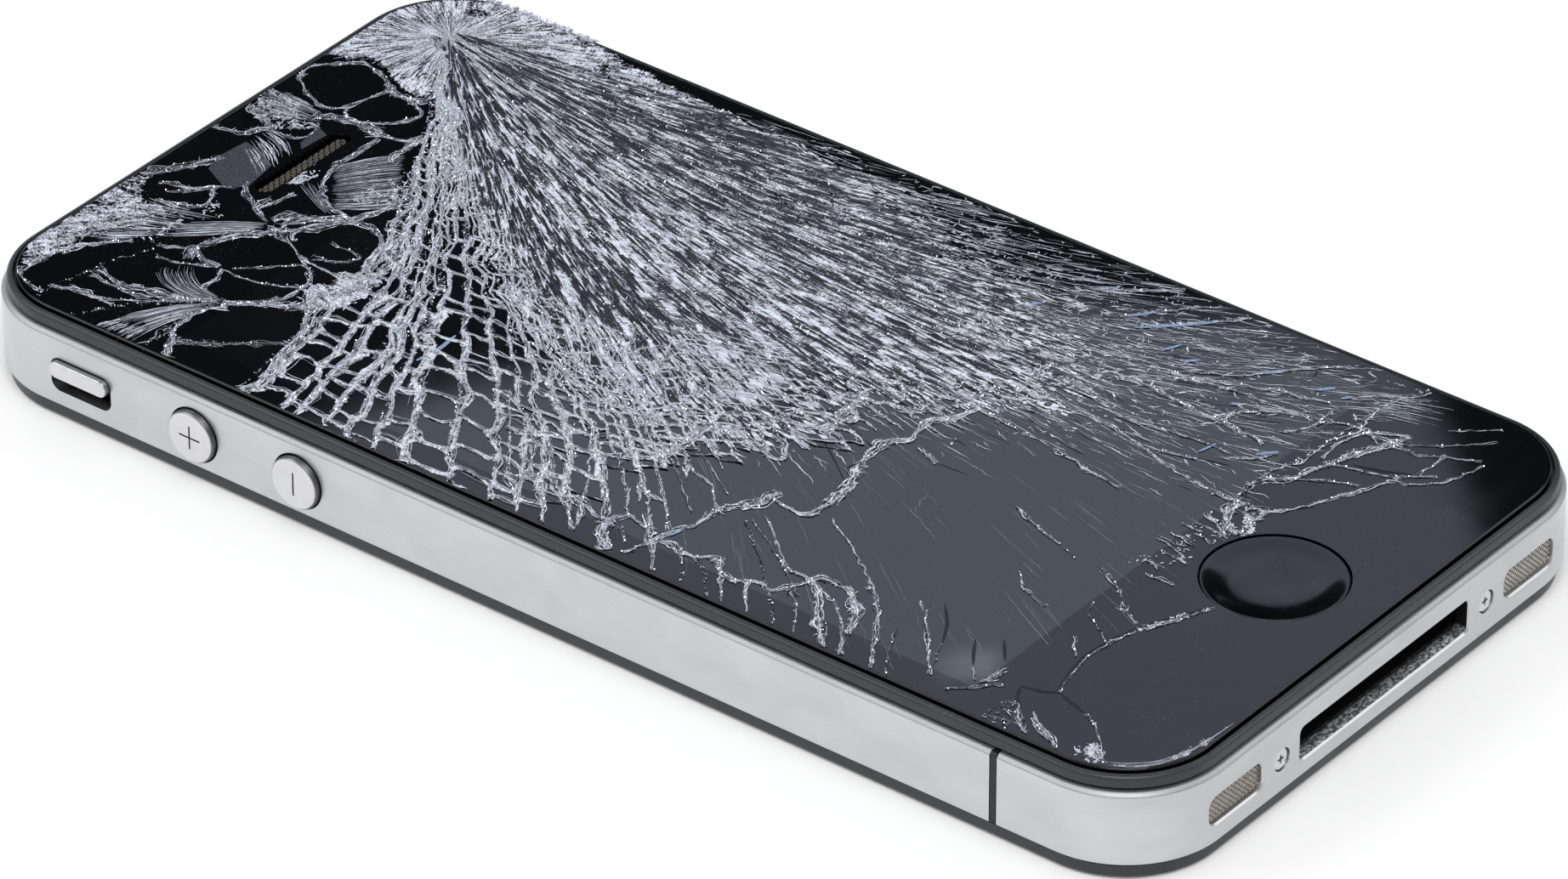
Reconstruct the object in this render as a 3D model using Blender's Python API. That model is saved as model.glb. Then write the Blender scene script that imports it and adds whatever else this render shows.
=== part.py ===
"""A slim bar phone with a steel band round its edge, lying on its back, its front glass shattered.

X runs across the phone (volume keys at -X), Y along it (dock opening at -Y) and Z up through the
screen. The origin is the middle of the back face, on which the phone rests. Lengths are in metres.
"""

import math

import bmesh
import bpy
import numpy as np
from mathutils import Vector
from mathutils.geometry import delaunay_2d_cdt, tessellate_polygon

for old in list(bpy.data.objects):
    bpy.data.objects.remove(old)

MM = 0.001

# Whole phone
BODY_WIDTH = 58.6 * MM
BODY_LENGTH = 115.2 * MM
BODY_THICKNESS = 9.3 * MM
CORNER_RADIUS = 8.65 * MM
CORNER_STEPS = 6
GAP = 0.28 * MM  # between pieces that touch or face each other

# Steel band and its insulating inserts
BAND_WALL = 1.2 * MM
BAND_CHAMFER = 0.18 * MM
BACK_STEP = 1.53 * MM  # from the back face up to the band
FRONT_STEP = 1.44 * MM  # from the band up to the glass face
INSERT_WIDTH = 0.56 * MM
INSERT_FIT = 0.06 * MM  # the inserts are moulded in, so they fit close
INSERT_TOE_WIDTH = 2.4 * MM
INSERT_TOE_DEPTH = 0.5 * MM
LOWER_INSERT_FROM_BOTTOM = 14.2 * MM
TOP_INSERT_FROM_SIDE = 15.9 * MM
SHALLOW_INSERT_DEPTH = 0.6 * MM

# Front: the glass in its bezel
GLASS_THICKNESS = 0.66 * MM
GLASS_INSET = 1.2 * MM
BEZEL_INSET = 0.45 * MM
BEZEL_ROUND = 0.3 * MM
BEZEL_BELOW_GLASS = 0.22 * MM
BEZEL_SKIRT = 0.7 * MM
LEDGE_INSET = 3.0 * MM  # how far in the ledges of both bezels reach

# Back: the panel in its bezel
BACK_PANEL_THICKNESS = 0.72 * MM
BACK_PANEL_INSET = 1.05 * MM
BACK_PANEL_CHAMFER = 0.25 * MM
BACK_BEZEL_INSET = 0.42 * MM
BACK_BEZEL_ROUND = 0.3 * MM
BACK_BEZEL_LIFT = 0.1 * MM

# Cracks in the glass
CRACK_DEPTH = 0.2 * MM
CRACK_HALF_WIDTH = 0.17 * MM
SLIVER_BREADTH = 0.7 * MM  # slivers narrower than this are crushed down to the crack floor
SHARD_TILT = 0.014 * MM  # how far a shard's edge stands above or below level

# Home button and earpiece
HOME_FROM_BOTTOM = 10.2 * MM
HOME_DIAMETER = 11.3 * MM
HOME_FLANGE = 0.85 * MM
HOME_FLANGE_THICKNESS = 0.35 * MM
HOME_BELOW_GLASS = 0.08 * MM
HOME_DISH = 0.3 * MM
HOME_TRAVEL = 0.3 * MM
HOME_BRACKET_WIDTH = 17.0 * MM
HOME_BRACKET_LENGTH = 7.0 * MM
HOME_BRACKET_THICKNESS = 0.4 * MM
EARPIECE_FROM_TOP = 10.5 * MM
EARPIECE_LENGTH = 10.2 * MM
EARPIECE_HEIGHT = 1.15 * MM
EARPIECE_RECESS = 0.3 * MM
RECEIVER_WIDTH = 12.4 * MM
RECEIVER_LENGTH = 4.8 * MM
RECEIVER_HEIGHT = 2.4 * MM

# Display stack
SCREEN_FROM_SIDE = 3.8 * MM
SCREEN_FROM_BOTTOM = 19.0 * MM
SCREEN_FROM_TOP = 19.4 * MM
LCD_THICKNESS = 1.0 * MM
BACKLIGHT_THICKNESS = 1.15 * MM
MID_PLATE_THICKNESS = 0.5 * MM

# Keys on the sides
KEY_DIAMETER = 4.5 * MM
KEY_PROUD = 0.55 * MM
KEY_TRAVEL = 0.3 * MM
KEY_FIT = 0.14 * MM
KEY_CHAMFER = 0.22 * MM
KEY_FLANGE = 0.45 * MM
KEY_FLANGE_THICKNESS = 0.35 * MM
KEY_BELOW_MIDDLE = 0.3 * MM
VOLUME_UP_FROM_TOP = 24.3 * MM
VOLUME_SPACING = 10.4 * MM
BRACKET_THICKNESS = 0.8 * MM
BRACKET_MARGIN = 3.2 * MM
BRACKET_HEIGHT = 4.4 * MM
SWITCH_FROM_TOP = 12.8 * MM
SWITCH_SLOT_LENGTH = 6.1 * MM
SWITCH_SLOT_HEIGHT = 3.0 * MM
SWITCH_SLOT_CORNER = 0.9 * MM
SWITCH_LEVER_HEIGHT = 1.45 * MM
SWITCH_TRAVEL = 1.2 * MM
SWITCH_PROUD = 0.5 * MM
SLEEP_FROM_SIDE = 13.7 * MM
SLEEP_LENGTH = 9.4 * MM
SLEEP_HEIGHT = 2.4 * MM

# Bottom end
DOCK_WIDTH = 21.6 * MM
DOCK_HEIGHT = 3.0 * MM
DOCK_CORNER = 0.35 * MM
DOCK_BELOW_MIDDLE = 0.3 * MM
DOCK_DEPTH = 7.6 * MM
DOCK_SHELL_WALL = 0.5 * MM
TONGUE_WIDTH = 19.0 * MM
TONGUE_THICKNESS = 0.9 * MM
TONGUE_RECESS = 1.0 * MM
TONGUE_BASE = 0.9 * MM
GRILLE_BESIDE_SCREW = 1.4 * MM
GRILLE_FROM_SIDE = 7.3 * MM
GRILLE_HEIGHT = 2.6 * MM
MESH_THICKNESS = 0.2 * MM
MESH_LAP = 0.45 * MM
SCREW_FROM_DOCK = 2.2 * MM
SCREW_HEAD_DIAMETER = 1.8 * MM
SCREW_HEAD_THICKNESS = 0.7 * MM
SCREW_SHANK_DIAMETER = 1.0 * MM
SCREW_LENGTH = 4.6 * MM
SCREW_RECESS = 0.12 * MM
SCREW_CROSS_LENGTH = 1.0 * MM
SCREW_CROSS_WIDTH = 0.26 * MM
SCREW_CROSS_DEPTH = 0.35 * MM
SPEAKER_LENGTH = 14.0 * MM
MICROPHONE_WIDTH = 4.4 * MM
MICROPHONE_DEPTH = 2.4 * MM

# Right side: the card tray
TRAY_FROM_MIDDLE = 3.0 * MM
TRAY_DOOR_LENGTH = 16.6 * MM
TRAY_DOOR_HEIGHT = 2.0 * MM
TRAY_WIDTH = 13.2 * MM
TRAY_REACH = 17.0 * MM
TRAY_THICKNESS = 0.95 * MM
TRAY_FLOOR = 0.3 * MM
CARD_WIDTH = 11.6 * MM
CARD_LENGTH = 14.0 * MM
CARD_SETBACK = 1.4 * MM
READER_WALL = 0.2 * MM
PIN_HOLE_DIAMETER = 0.8 * MM

# Top end
JACK_FROM_SIDE = 9.8 * MM
JACK_BORE = 3.5 * MM
JACK_COLLAR = 4.9 * MM
JACK_BODY = 5.2 * MM
JACK_LENGTH = 12.4 * MM
JACK_END_WALL = 1.0 * MM
NOISE_HOLE_DIAMETER = 0.9 * MM

# Cameras and flash
CAMERA_FROM_SIDE = 9.7 * MM
CAMERA_FROM_TOP = 10.6 * MM
CAMERA_HOUSING = 8.4 * MM
CAMERA_HEIGHT = 5.4 * MM
CAMERA_WINDOW_DIAMETER = 7.4 * MM
CAMERA_BARREL_DIAMETER = 5.2 * MM
CAMERA_BARREL_LENGTH = 2.6 * MM
CAMERA_FOCUS_TRAVEL = 0.2 * MM
WINDOW_RECESS = 0.06 * MM
FLASH_FROM_CAMERA = 7.2 * MM
FLASH_DIAMETER = 3.2 * MM
FRONT_CAMERA_FROM_EARPIECE = 4.7 * MM
FRONT_CAMERA_DIAMETER = 5.0 * MM
FRONT_CAMERA_HEIGHT = 2.6 * MM

# Insides
BOARD_BEYOND_READER = 6.1 * MM
BATTERY_EDGE = 0.6 * MM
BOARD_THICKNESS = 0.8 * MM
SHIELD_FROM_END = 4.0 * MM
SHIELD_MARGIN = 1.5 * MM
SHIELD_WALL = 0.3 * MM
MOTOR_FROM_INSERT = 1.9 * MM
MOTOR_FROM_TOP = 5.3 * MM
MOTOR_DIAMETER = 3.6 * MM
MOTOR_LENGTH = 7.6 * MM
MOTOR_SHAFT_DIAMETER = 0.8 * MM
MOTOR_SHAFT_GRIP = 3.0 * MM
WEIGHT_RADIUS = 2.0 * MM
WEIGHT_LENGTH = 3.2 * MM

# Levels, from the back up to the glass
half_width = BODY_WIDTH / 2
half_length = BODY_LENGTH / 2
bay_low = BACK_PANEL_THICKNESS + GAP
band_low = BACK_STEP
band_high = BODY_THICKNESS - FRONT_STEP
band_middle = (band_low + band_high) / 2
glass_low = BODY_THICKNESS - GLASS_THICKNESS
under_glass = glass_low - GAP
skirt_low = under_glass - BEZEL_SKIRT
toe_low = band_low + GAP
toe_high = skirt_low - GAP
lcd_low = under_glass - LCD_THICKNESS
backlight_high = lcd_low - GAP
backlight_low = backlight_high - BACKLIGHT_THICKNESS
plate_high = backlight_low - GAP
plate_low = plate_high - MID_PLATE_THICKNESS
bay_high = plate_low - GAP
home_flange_low = under_glass - HOME_FLANGE_THICKNESS
key_z = band_middle - KEY_BELOW_MIDDLE
dock_z = band_middle - DOCK_BELOW_MIDDLE
switch_z = dock_z + (SWITCH_SLOT_HEIGHT - SWITCH_LEVER_HEIGHT) / 2 - KEY_FIT
tray_high = bay_high - READER_WALL - GAP
tray_low = tray_high - TRAY_THICKNESS
tray_z = (tray_low + tray_high) / 2
reader_low = tray_low - GAP - READER_WALL
board_high = reader_low - GAP

# Places in plan
inside_x = half_width - BAND_WALL - GAP
inside_y = half_length - BAND_WALL - GAP
lower_insert_y = LOWER_INSERT_FROM_BOTTOM - half_length
top_insert_x = TOP_INSERT_FROM_SIDE - half_width
home_y = HOME_FROM_BOTTOM - half_length
earpiece_y = half_length - EARPIECE_FROM_TOP
front_camera_x = -EARPIECE_LENGTH / 2 - FRONT_CAMERA_FROM_EARPIECE
volume_up_y = half_length - VOLUME_UP_FROM_TOP
volume_down_y = volume_up_y - VOLUME_SPACING
switch_y = half_length - SWITCH_FROM_TOP
sleep_x = half_width - SLEEP_FROM_SIDE
screw_x = DOCK_WIDTH / 2 + SCREW_FROM_DOCK
grille_start = screw_x + SCREW_HEAD_DIAMETER / 2 + GRILLE_BESIDE_SCREW
grille_end = half_width - GRILLE_FROM_SIDE
grille_x = (grille_start + grille_end) / 2
grille_length = grille_end - grille_start
speaker_x = screw_x + SCREW_HEAD_DIAMETER / 2 + GAP
jack_x = JACK_FROM_SIDE - half_width
noise_hole_x = (jack_x + JACK_BODY / 2 + top_insert_x) / 2
camera_x = half_width - CAMERA_FROM_SIDE
camera_y = half_length - CAMERA_FROM_TOP
flash_x = camera_x - FLASH_FROM_CAMERA
motor_x = top_insert_x + MOTOR_FROM_INSERT
motor_y = half_length - MOTOR_FROM_TOP
key_bracket_x = inside_x - KEY_FLANGE_THICKNESS - KEY_TRAVEL - GAP
battery_x = key_bracket_x - BRACKET_THICKNESS - GAP
door_x = half_width - BAND_WALL
reader_x = door_x - TRAY_REACH - GAP - READER_WALL
board_x = reader_x - BOARD_BEYOND_READER
plate_start = max(SPEAKER_LENGTH - inside_y, lower_insert_y + INSERT_TOE_WIDTH / 2) + GAP
plate_end = min(inside_y - JACK_LENGTH, camera_y - CAMERA_HOUSING / 2) - GAP


# Materials, with their colours as the photo shows them
def principled(name, colour, roughness, metallic=0.0):
    material = bpy.data.materials.new(name)
    material.use_nodes = True
    shader = material.node_tree.nodes["Principled BSDF"]
    shader.inputs["Base Color"].default_value = (*colour, 1.0)
    shader.inputs["Roughness"].default_value = roughness
    shader.inputs["Metallic"].default_value = metallic
    return material


STEEL = principled("brushed_steel", (0.60, 0.60, 0.61), 0.3, 1.0)
BRIGHT_STEEL = principled("polished_steel", (0.68, 0.68, 0.69), 0.15, 1.0)
BLACK_PLASTIC = principled("black_plastic", (0.02, 0.021, 0.024), 0.5)
BEZEL_PLASTIC = principled("bezel_plastic", (0.045, 0.048, 0.052), 0.42)
BLACK_GLASS = principled("black_glass", (0.012, 0.013, 0.016), 0.06)
FRACTURE = principled("fractured_glass", (0.72, 0.74, 0.78), 0.35)
CLEAR_GLASS = principled("lens_glass", (0.015, 0.016, 0.03), 0.05)
SCREEN = principled("dark_screen", (0.02, 0.022, 0.028), 0.25)
BUTTON = principled("button_plastic", (0.03, 0.032, 0.037), 0.3)
BOARD = principled("circuit_board", (0.01, 0.035, 0.018), 0.5)
FOIL = principled("battery_foil", (0.03, 0.03, 0.033), 0.45)


# Outlines: lists of flat points
def rounded(half_a, half_b, radius, steps=CORNER_STEPS):
    """A rectangle with round corners, counter-clockwise from its right side."""
    radius = min(radius, half_a, half_b)
    points = []
    for turn, (side_a, side_b) in enumerate([(1, 1), (-1, 1), (-1, -1), (1, -1)]):
        centre_a = side_a * (half_a - radius)
        centre_b = side_b * (half_b - radius)
        for step in range(steps + 1):
            angle = (turn + step / steps) * math.pi / 2
            points.append((centre_a + radius * math.cos(angle), centre_b + radius * math.sin(angle)))
    return [p for i, p in enumerate(points) if math.dist(p, points[i - 1]) > 0.001 * MM]


def slot(length, height, steps=5):
    return rounded(length / 2, height / 2, height / 2, steps)


def circle(radius, steps=20):
    turns = [2 * math.pi * i / steps for i in range(steps)]
    return [(radius * math.cos(a), radius * math.sin(a)) for a in turns]


def rectangle(a0, a1, b0, b1):
    return [(a0, b0), (a1, b0), (a1, b1), (a0, b1)]


def moved(points, da, db):
    return [(a + da, b + db) for a, b in points]


def within(inset):
    """The phone's own outline, moved inwards."""
    return rounded(half_width - inset, half_length - inset, CORNER_RADIUS - inset)


# Shapes: each is a closed bmesh in the phone's coordinates
def stood(a, b, height, along):
    """A flat point, and a height along an axis, as a point in space."""
    if along == "Z":
        return (a, b, height)
    if along == "Y":
        return (a, height, b)
    return (height, a, b)


def loft(loops, closed=False):
    """A skin through loops of equal count: a ring when closed, or else capped at both ends."""
    bm = bmesh.new()
    rows = [[bm.verts.new(point) for point in loop] for loop in loops]
    following = rows[1:] + rows[:1] if closed else rows[1:]
    for low, high in zip(rows, following):
        for i in range(len(low)):
            j = (i + 1) % len(low)
            bm.faces.new((low[i], low[j], high[j], high[i]))
    if not closed:
        bm.faces.new(rows[0])
        bm.faces.new(rows[-1])
    bmesh.ops.recalc_face_normals(bm, faces=bm.faces)
    return bm


def prism(points, low, high, along="Z"):
    return loft([[stood(a, b, level, along) for a, b in points] for level in (low, high)])


def box(x0, x1, y0, y1, z0, z1):
    return prism(rectangle(x0, x1, y0, y1), z0, z1)


def turned(profile, centre, along="Z", steps=20):
    """A profile of (radius, height) pairs turned round the axis through the centre pair."""
    loops = []
    for radius, height in profile:
        loops.append([stood(a, b, height, along) for a, b in moved(circle(radius, steps), *centre)])
    return loft(loops)


def around(profile):
    """A closed profile of (inset, height) pairs carried round the phone's outline."""
    return loft([[(x, y, height) for x, y in within(inset)] for inset, height in profile], closed=True)


# Objects, and what is cut from them or joined to them
def put(name, bm, material, origin=(0, 0, 0)):
    """A named piece. A moving one has its origin on its joint's axis."""
    bmesh.ops.translate(bm, verts=bm.verts, vec=-Vector(origin))
    mesh = bpy.data.meshes.new(name)
    bm.to_mesh(mesh)
    bm.free()
    mesh.materials.append(material)
    mesh.shade_smooth()
    mesh.set_sharp_from_angle(angle=math.radians(30))
    piece = bpy.data.objects.new(name, mesh)
    piece.location = origin
    bpy.context.scene.collection.objects.link(piece)
    return piece


def shape(piece, bm, operation="DIFFERENCE"):
    mesh = bpy.data.meshes.new("cutter")
    bm.to_mesh(mesh)
    bm.free()
    cutter = bpy.data.objects.new("cutter", mesh)
    cutter.hide_render = True
    cutter.display_type = "WIRE"
    bpy.context.scene.collection.objects.link(cutter)
    modifier = piece.modifiers.new("Shape", "BOOLEAN")
    modifier.operation = operation
    modifier.object = cutter


def pierce(piece, outline, side, depth=BAND_WALL + GAP / 2):
    """Cuts an outline into the phone's wall from one side: -X, +X, -Y or +Y."""
    reach = half_width if side[1] == "X" else half_length
    sign = -1 if side[0] == "-" else 1
    low, high = sorted([sign * (reach + GAP), sign * (reach - depth)])
    shape(piece, prism(outline, low, high, side[1]))


# Steel band
def band_section():
    return [
        (0.0, band_low + BAND_CHAMFER),
        (BAND_CHAMFER, band_low),
        (BAND_WALL, band_low),
        (BAND_WALL, band_high),
        (BAND_CHAMFER, band_high),
        (0.0, band_high - BAND_CHAMFER),
    ]


def left_side(step):
    """Plan of the left length: from the lower insert up the side, round to the top insert."""
    beyond = BODY_LENGTH
    inner = -half_width / 2
    side_y = lower_insert_y + step
    top_x = top_insert_x - step
    plan = [(-beyond, side_y), (inner, side_y), (inner, 0), (top_x, 0), (top_x, beyond), (-beyond, beyond)]
    return prism(plan, -GAP, BODY_THICKNESS + GAP)


def make_band_left():
    band = put("antenna_band_left", around(band_section()), STEEL)
    shape(band, left_side(INSERT_WIDTH / 2 + INSERT_FIT), "INTERSECT")
    opening = rounded(SWITCH_SLOT_LENGTH / 2, SWITCH_SLOT_HEIGHT / 2, SWITCH_SLOT_CORNER, 4)
    pierce(band, moved(opening, switch_y, dock_z), "-X")
    for key_y in (volume_up_y, volume_down_y):
        pierce(band, moved(circle(KEY_DIAMETER / 2 + KEY_FIT), key_y, key_z), "-X")
    pierce(band, moved(circle(JACK_COLLAR / 2 + KEY_FIT), jack_x, band_middle), "+Y")
    pierce(band, moved(circle(NOISE_HOLE_DIAMETER / 2, 10), noise_hole_x, band_middle), "+Y")


def make_band_main():
    band = put("antenna_band_main", around(band_section()), STEEL)
    shape(band, left_side(-INSERT_WIDTH / 2 - INSERT_FIT))
    reach = INSERT_WIDTH / 2 + INSERT_FIT
    groove = rectangle(lower_insert_y - reach, lower_insert_y + reach, 0, BODY_THICKNESS)
    pierce(band, groove, "+X", SHALLOW_INSERT_DEPTH + INSERT_FIT)
    dock = rounded(DOCK_WIDTH / 2, DOCK_HEIGHT / 2, DOCK_CORNER, 2)
    pierce(band, moved(dock, 0, dock_z), "-Y")
    for side in (-1, 1):
        pierce(band, moved(slot(grille_length, GRILLE_HEIGHT), side * grille_x, dock_z), "-Y")
        head = circle(SCREW_HEAD_DIAMETER / 2 + KEY_FIT, 12)
        seat = SCREW_RECESS + SCREW_HEAD_THICKNESS + KEY_FIT
        pierce(band, moved(head, side * screw_x, dock_z), "-Y", seat)
        shank = circle(SCREW_SHANK_DIAMETER / 2 + KEY_FIT, 12)
        pierce(band, moved(shank, side * screw_x, dock_z), "-Y")
    door = slot(TRAY_DOOR_LENGTH + 2 * KEY_FIT, TRAY_DOOR_HEIGHT + 2 * KEY_FIT)
    pierce(band, moved(door, TRAY_FROM_MIDDLE, tray_z), "+X")
    sleep = slot(SLEEP_LENGTH + 2 * KEY_FIT, SLEEP_HEIGHT + 2 * KEY_FIT)
    pierce(band, moved(sleep, sleep_x, band_middle), "+Y")


def insert_section(face, depth):
    """The band's own section between its outer face and a depth, so that an insert sits flush."""
    shoulder = face - math.copysign(BAND_CHAMFER, face)
    inner = face - math.copysign(depth, face)
    return [
        (face, band_high - BAND_CHAMFER),
        (face, band_low + BAND_CHAMFER),
        (shoulder, band_low),
        (inner, band_low),
        (inner, band_high),
        (shoulder, band_high),
    ]


def hooked_section(face):
    """The same through the whole wall, with a tongue that joins it to the toe behind."""
    section = insert_section(face, BAND_WALL)
    inner = section[3][0]
    tongue = inner - math.copysign(GAP + INSERT_TOE_DEPTH / 2, face)
    section[4:4] = [(inner, toe_low), (tongue, toe_low), (tongue, toe_high), (inner, toe_high)]
    return section


def make_inserts():
    """Three strips of insulating plastic. Two part the band and hook behind it with a toe."""
    half = INSERT_WIDTH / 2
    toe = INSERT_TOE_WIDTH / 2
    y0, y1 = lower_insert_y - half, lower_insert_y + half
    left = put("gap_insert_lower_left", prism(hooked_section(-half_width), y0, y1, "Y"), BLACK_PLASTIC)
    y0, y1 = lower_insert_y - toe, lower_insert_y + toe
    shape(left, box(-inside_x, INSERT_TOE_DEPTH - inside_x, y0, y1, toe_low, toe_high), "UNION")
    x0, x1 = top_insert_x - half, top_insert_x + half
    top = put("gap_insert_top", prism(hooked_section(half_length), x0, x1, "X"), BLACK_PLASTIC)
    x0, x1 = top_insert_x - toe, top_insert_x + toe
    shape(top, box(x0, x1, inside_y - INSERT_TOE_DEPTH, inside_y, toe_low, toe_high), "UNION")
    section = insert_section(half_width, SHALLOW_INSERT_DEPTH)
    y0, y1 = lower_insert_y - half, lower_insert_y + half
    put("gap_insert_lower_right", prism(section, y0, y1, "Y"), BLACK_PLASTIC)


# Front and back frames
def make_front_bezel():
    base = band_high + GAP
    rim = BODY_THICKNESS - BEZEL_BELOW_GLASS
    lip = GLASS_INSET - GAP
    profile = [
        (BEZEL_INSET, base),
        (BEZEL_INSET, rim - BEZEL_ROUND),
        (BEZEL_INSET + BEZEL_ROUND * 0.3, rim - BEZEL_ROUND * 0.3),
        (BEZEL_INSET + BEZEL_ROUND, rim),
        (lip, rim),
        (lip, under_glass),
        (LEDGE_INSET, under_glass),
        (LEDGE_INSET, skirt_low),
        (BAND_WALL + GAP, skirt_low),
        (BAND_WALL + GAP, base),
    ]
    bezel = put("front_bezel", around(profile), BEZEL_PLASTIC)
    clear = circle(HOME_DIAMETER / 2 + HOME_FLANGE + GAP)
    shape(bezel, prism(moved(clear, 0, home_y), skirt_low - GAP, under_glass + GAP / 2))


def make_back_bezel():
    lip = BACK_PANEL_INSET - GAP
    top = band_low - GAP
    profile = [
        (BACK_BEZEL_INSET, BACK_BEZEL_LIFT + BACK_BEZEL_ROUND),
        (BACK_BEZEL_INSET + BACK_BEZEL_ROUND * 0.3, BACK_BEZEL_LIFT + BACK_BEZEL_ROUND * 0.3),
        (lip, BACK_BEZEL_LIFT),
        (lip, bay_low),
        (LEDGE_INSET, bay_low),
        (LEDGE_INSET, top),
        (BACK_BEZEL_INSET, top),
    ]
    put("back_bezel", around(profile), BEZEL_PLASTIC)


def make_back_panel():
    levels = [
        (BACK_PANEL_INSET + BACK_PANEL_CHAMFER, 0),
        (BACK_PANEL_INSET, BACK_PANEL_CHAMFER),
        (BACK_PANEL_INSET, BACK_PANEL_THICKNESS),
    ]
    loops = [[(x, y, height) for x, y in within(inset)] for inset, height in levels]
    panel = put("back_panel", loft(loops), BLACK_GLASS)
    for hole_x, diameter in ((camera_x, CAMERA_WINDOW_DIAMETER), (flash_x, FLASH_DIAMETER)):
        hole = moved(circle(diameter / 2 + GAP), hole_x, camera_y)
        shape(panel, prism(hole, -GAP, bay_low))


# Shattered glass. Its crack map is in millimetres on a pane of this half width and half length.
MAP_HALF_WIDTH = 28.1
MAP_HALF_LENGTH = 56.4
MAP_REACH = 28.6  # cracks that meet a side run on to here, just past the pane
MAP_WELD = 0.08

# Guide cracks that run from the struck corner, each through seven points, in order from the top
# left edge round to the right edge. All other cracks of the fan lie between two of these.
FAN_GUIDES = [
    [(21.5, 50.5), (15.5, 46), (8, 41), (-0.5, 36.3), (-10, 32.8), (-19, 31.2), (-28.6, 29.2)],
    [(21.5, 50.0), (15, 44.8), (7.5, 39), (-1, 33.2), (-9.5, 28.3), (-18.5, 24.5), (-28.6, 22.3)],
    [(21.5, 50.0), (15, 44.3), (7, 37), (-1.7, 31), (-10, 25.6), (-18.5, 20.8), (-28.6, 14.7)],
    [(21.5, 50.0), (14.5, 43.3), (7.3, 36), (-1, 27.8), (-9.3, 19.8), (-17.5, 11.6), (-28.6, 3.2)],
    [(21.5, 50.0), (14.5, 42.7), (7.7, 34.2), (-0.5, 24.8), (-9.5, 13.5), (-18, 3.5), (-28.6, -5.5)],
    [(21.5, 50.0), (15, 42), (8.5, 33), (0.5, 22), (-8, 8.5), (-16, -3), (-28.6, -14.5)],
    [(21.5, 50.0), (15.5, 41.5), (9.5, 31.5), (3, 20), (-4, 6), (-13, -12.5), (-28.6, -31.2)],
    [(21.5, 50.0), (15.5, 38), (9.5, 24), (4.5, 9), (0.3, -7.5), (-4, -25), (-11, -44)],
    [(21.5, 50.0), (16, 37.5), (11, 23.5), (7.3, 8.5), (4.5, -8), (2.7, -25.5), (0, -41.8)],
    [(21.5, 50.0), (16.5, 37), (12.3, 22.5), (10, 7), (8.3, -9), (7, -26), (6.3, -41)],
    [(21.5, 50.0), (17.5, 37), (14.3, 22), (12.8, 7), (12.3, -8.5), (13.2, -24.5), (16.5, -40.5)],
    [(21.5, 50.0), (18.5, 37), (16.2, 22.5), (15.3, 8), (15.6, -7), (19, -25), (28.6, -42)],
    [(21.8, 50.0), (19.8, 38), (18.3, 25), (17.8, 12), (19, -1.5), (22, -15), (28.6, -28)],
    [(22.0, 50.0), (21, 39.5), (20.3, 28.5), (20.5, 17), (22, 5), (24.5, -6.5), (28.6, -17)],
    [(22.3, 50.0), (22.3, 41.5), (22.5, 32.5), (23.2, 23.5), (24.5, 14.5), (26.2, 6), (28.6, -2)],
    [(22.7, 50.0), (23.7, 43.5), (24.7, 37.5), (25.6, 32), (26.5, 27), (27.4, 22), (28.6, 17)],
]
RAYS_PER_GUIDE = 2
RAY_STARTS = (0.14, 0.3, 0.2, 0.34)  # crowded rays begin one after another
DENSE_ENDS = {6: 0.86, 7: 0.66, 8: 0.68, 9: 0.8}  # where rays between long ones stop, by guide
LINK_STEP = 0.16  # share of a ray's length between the short cracks that tie it to the next

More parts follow.
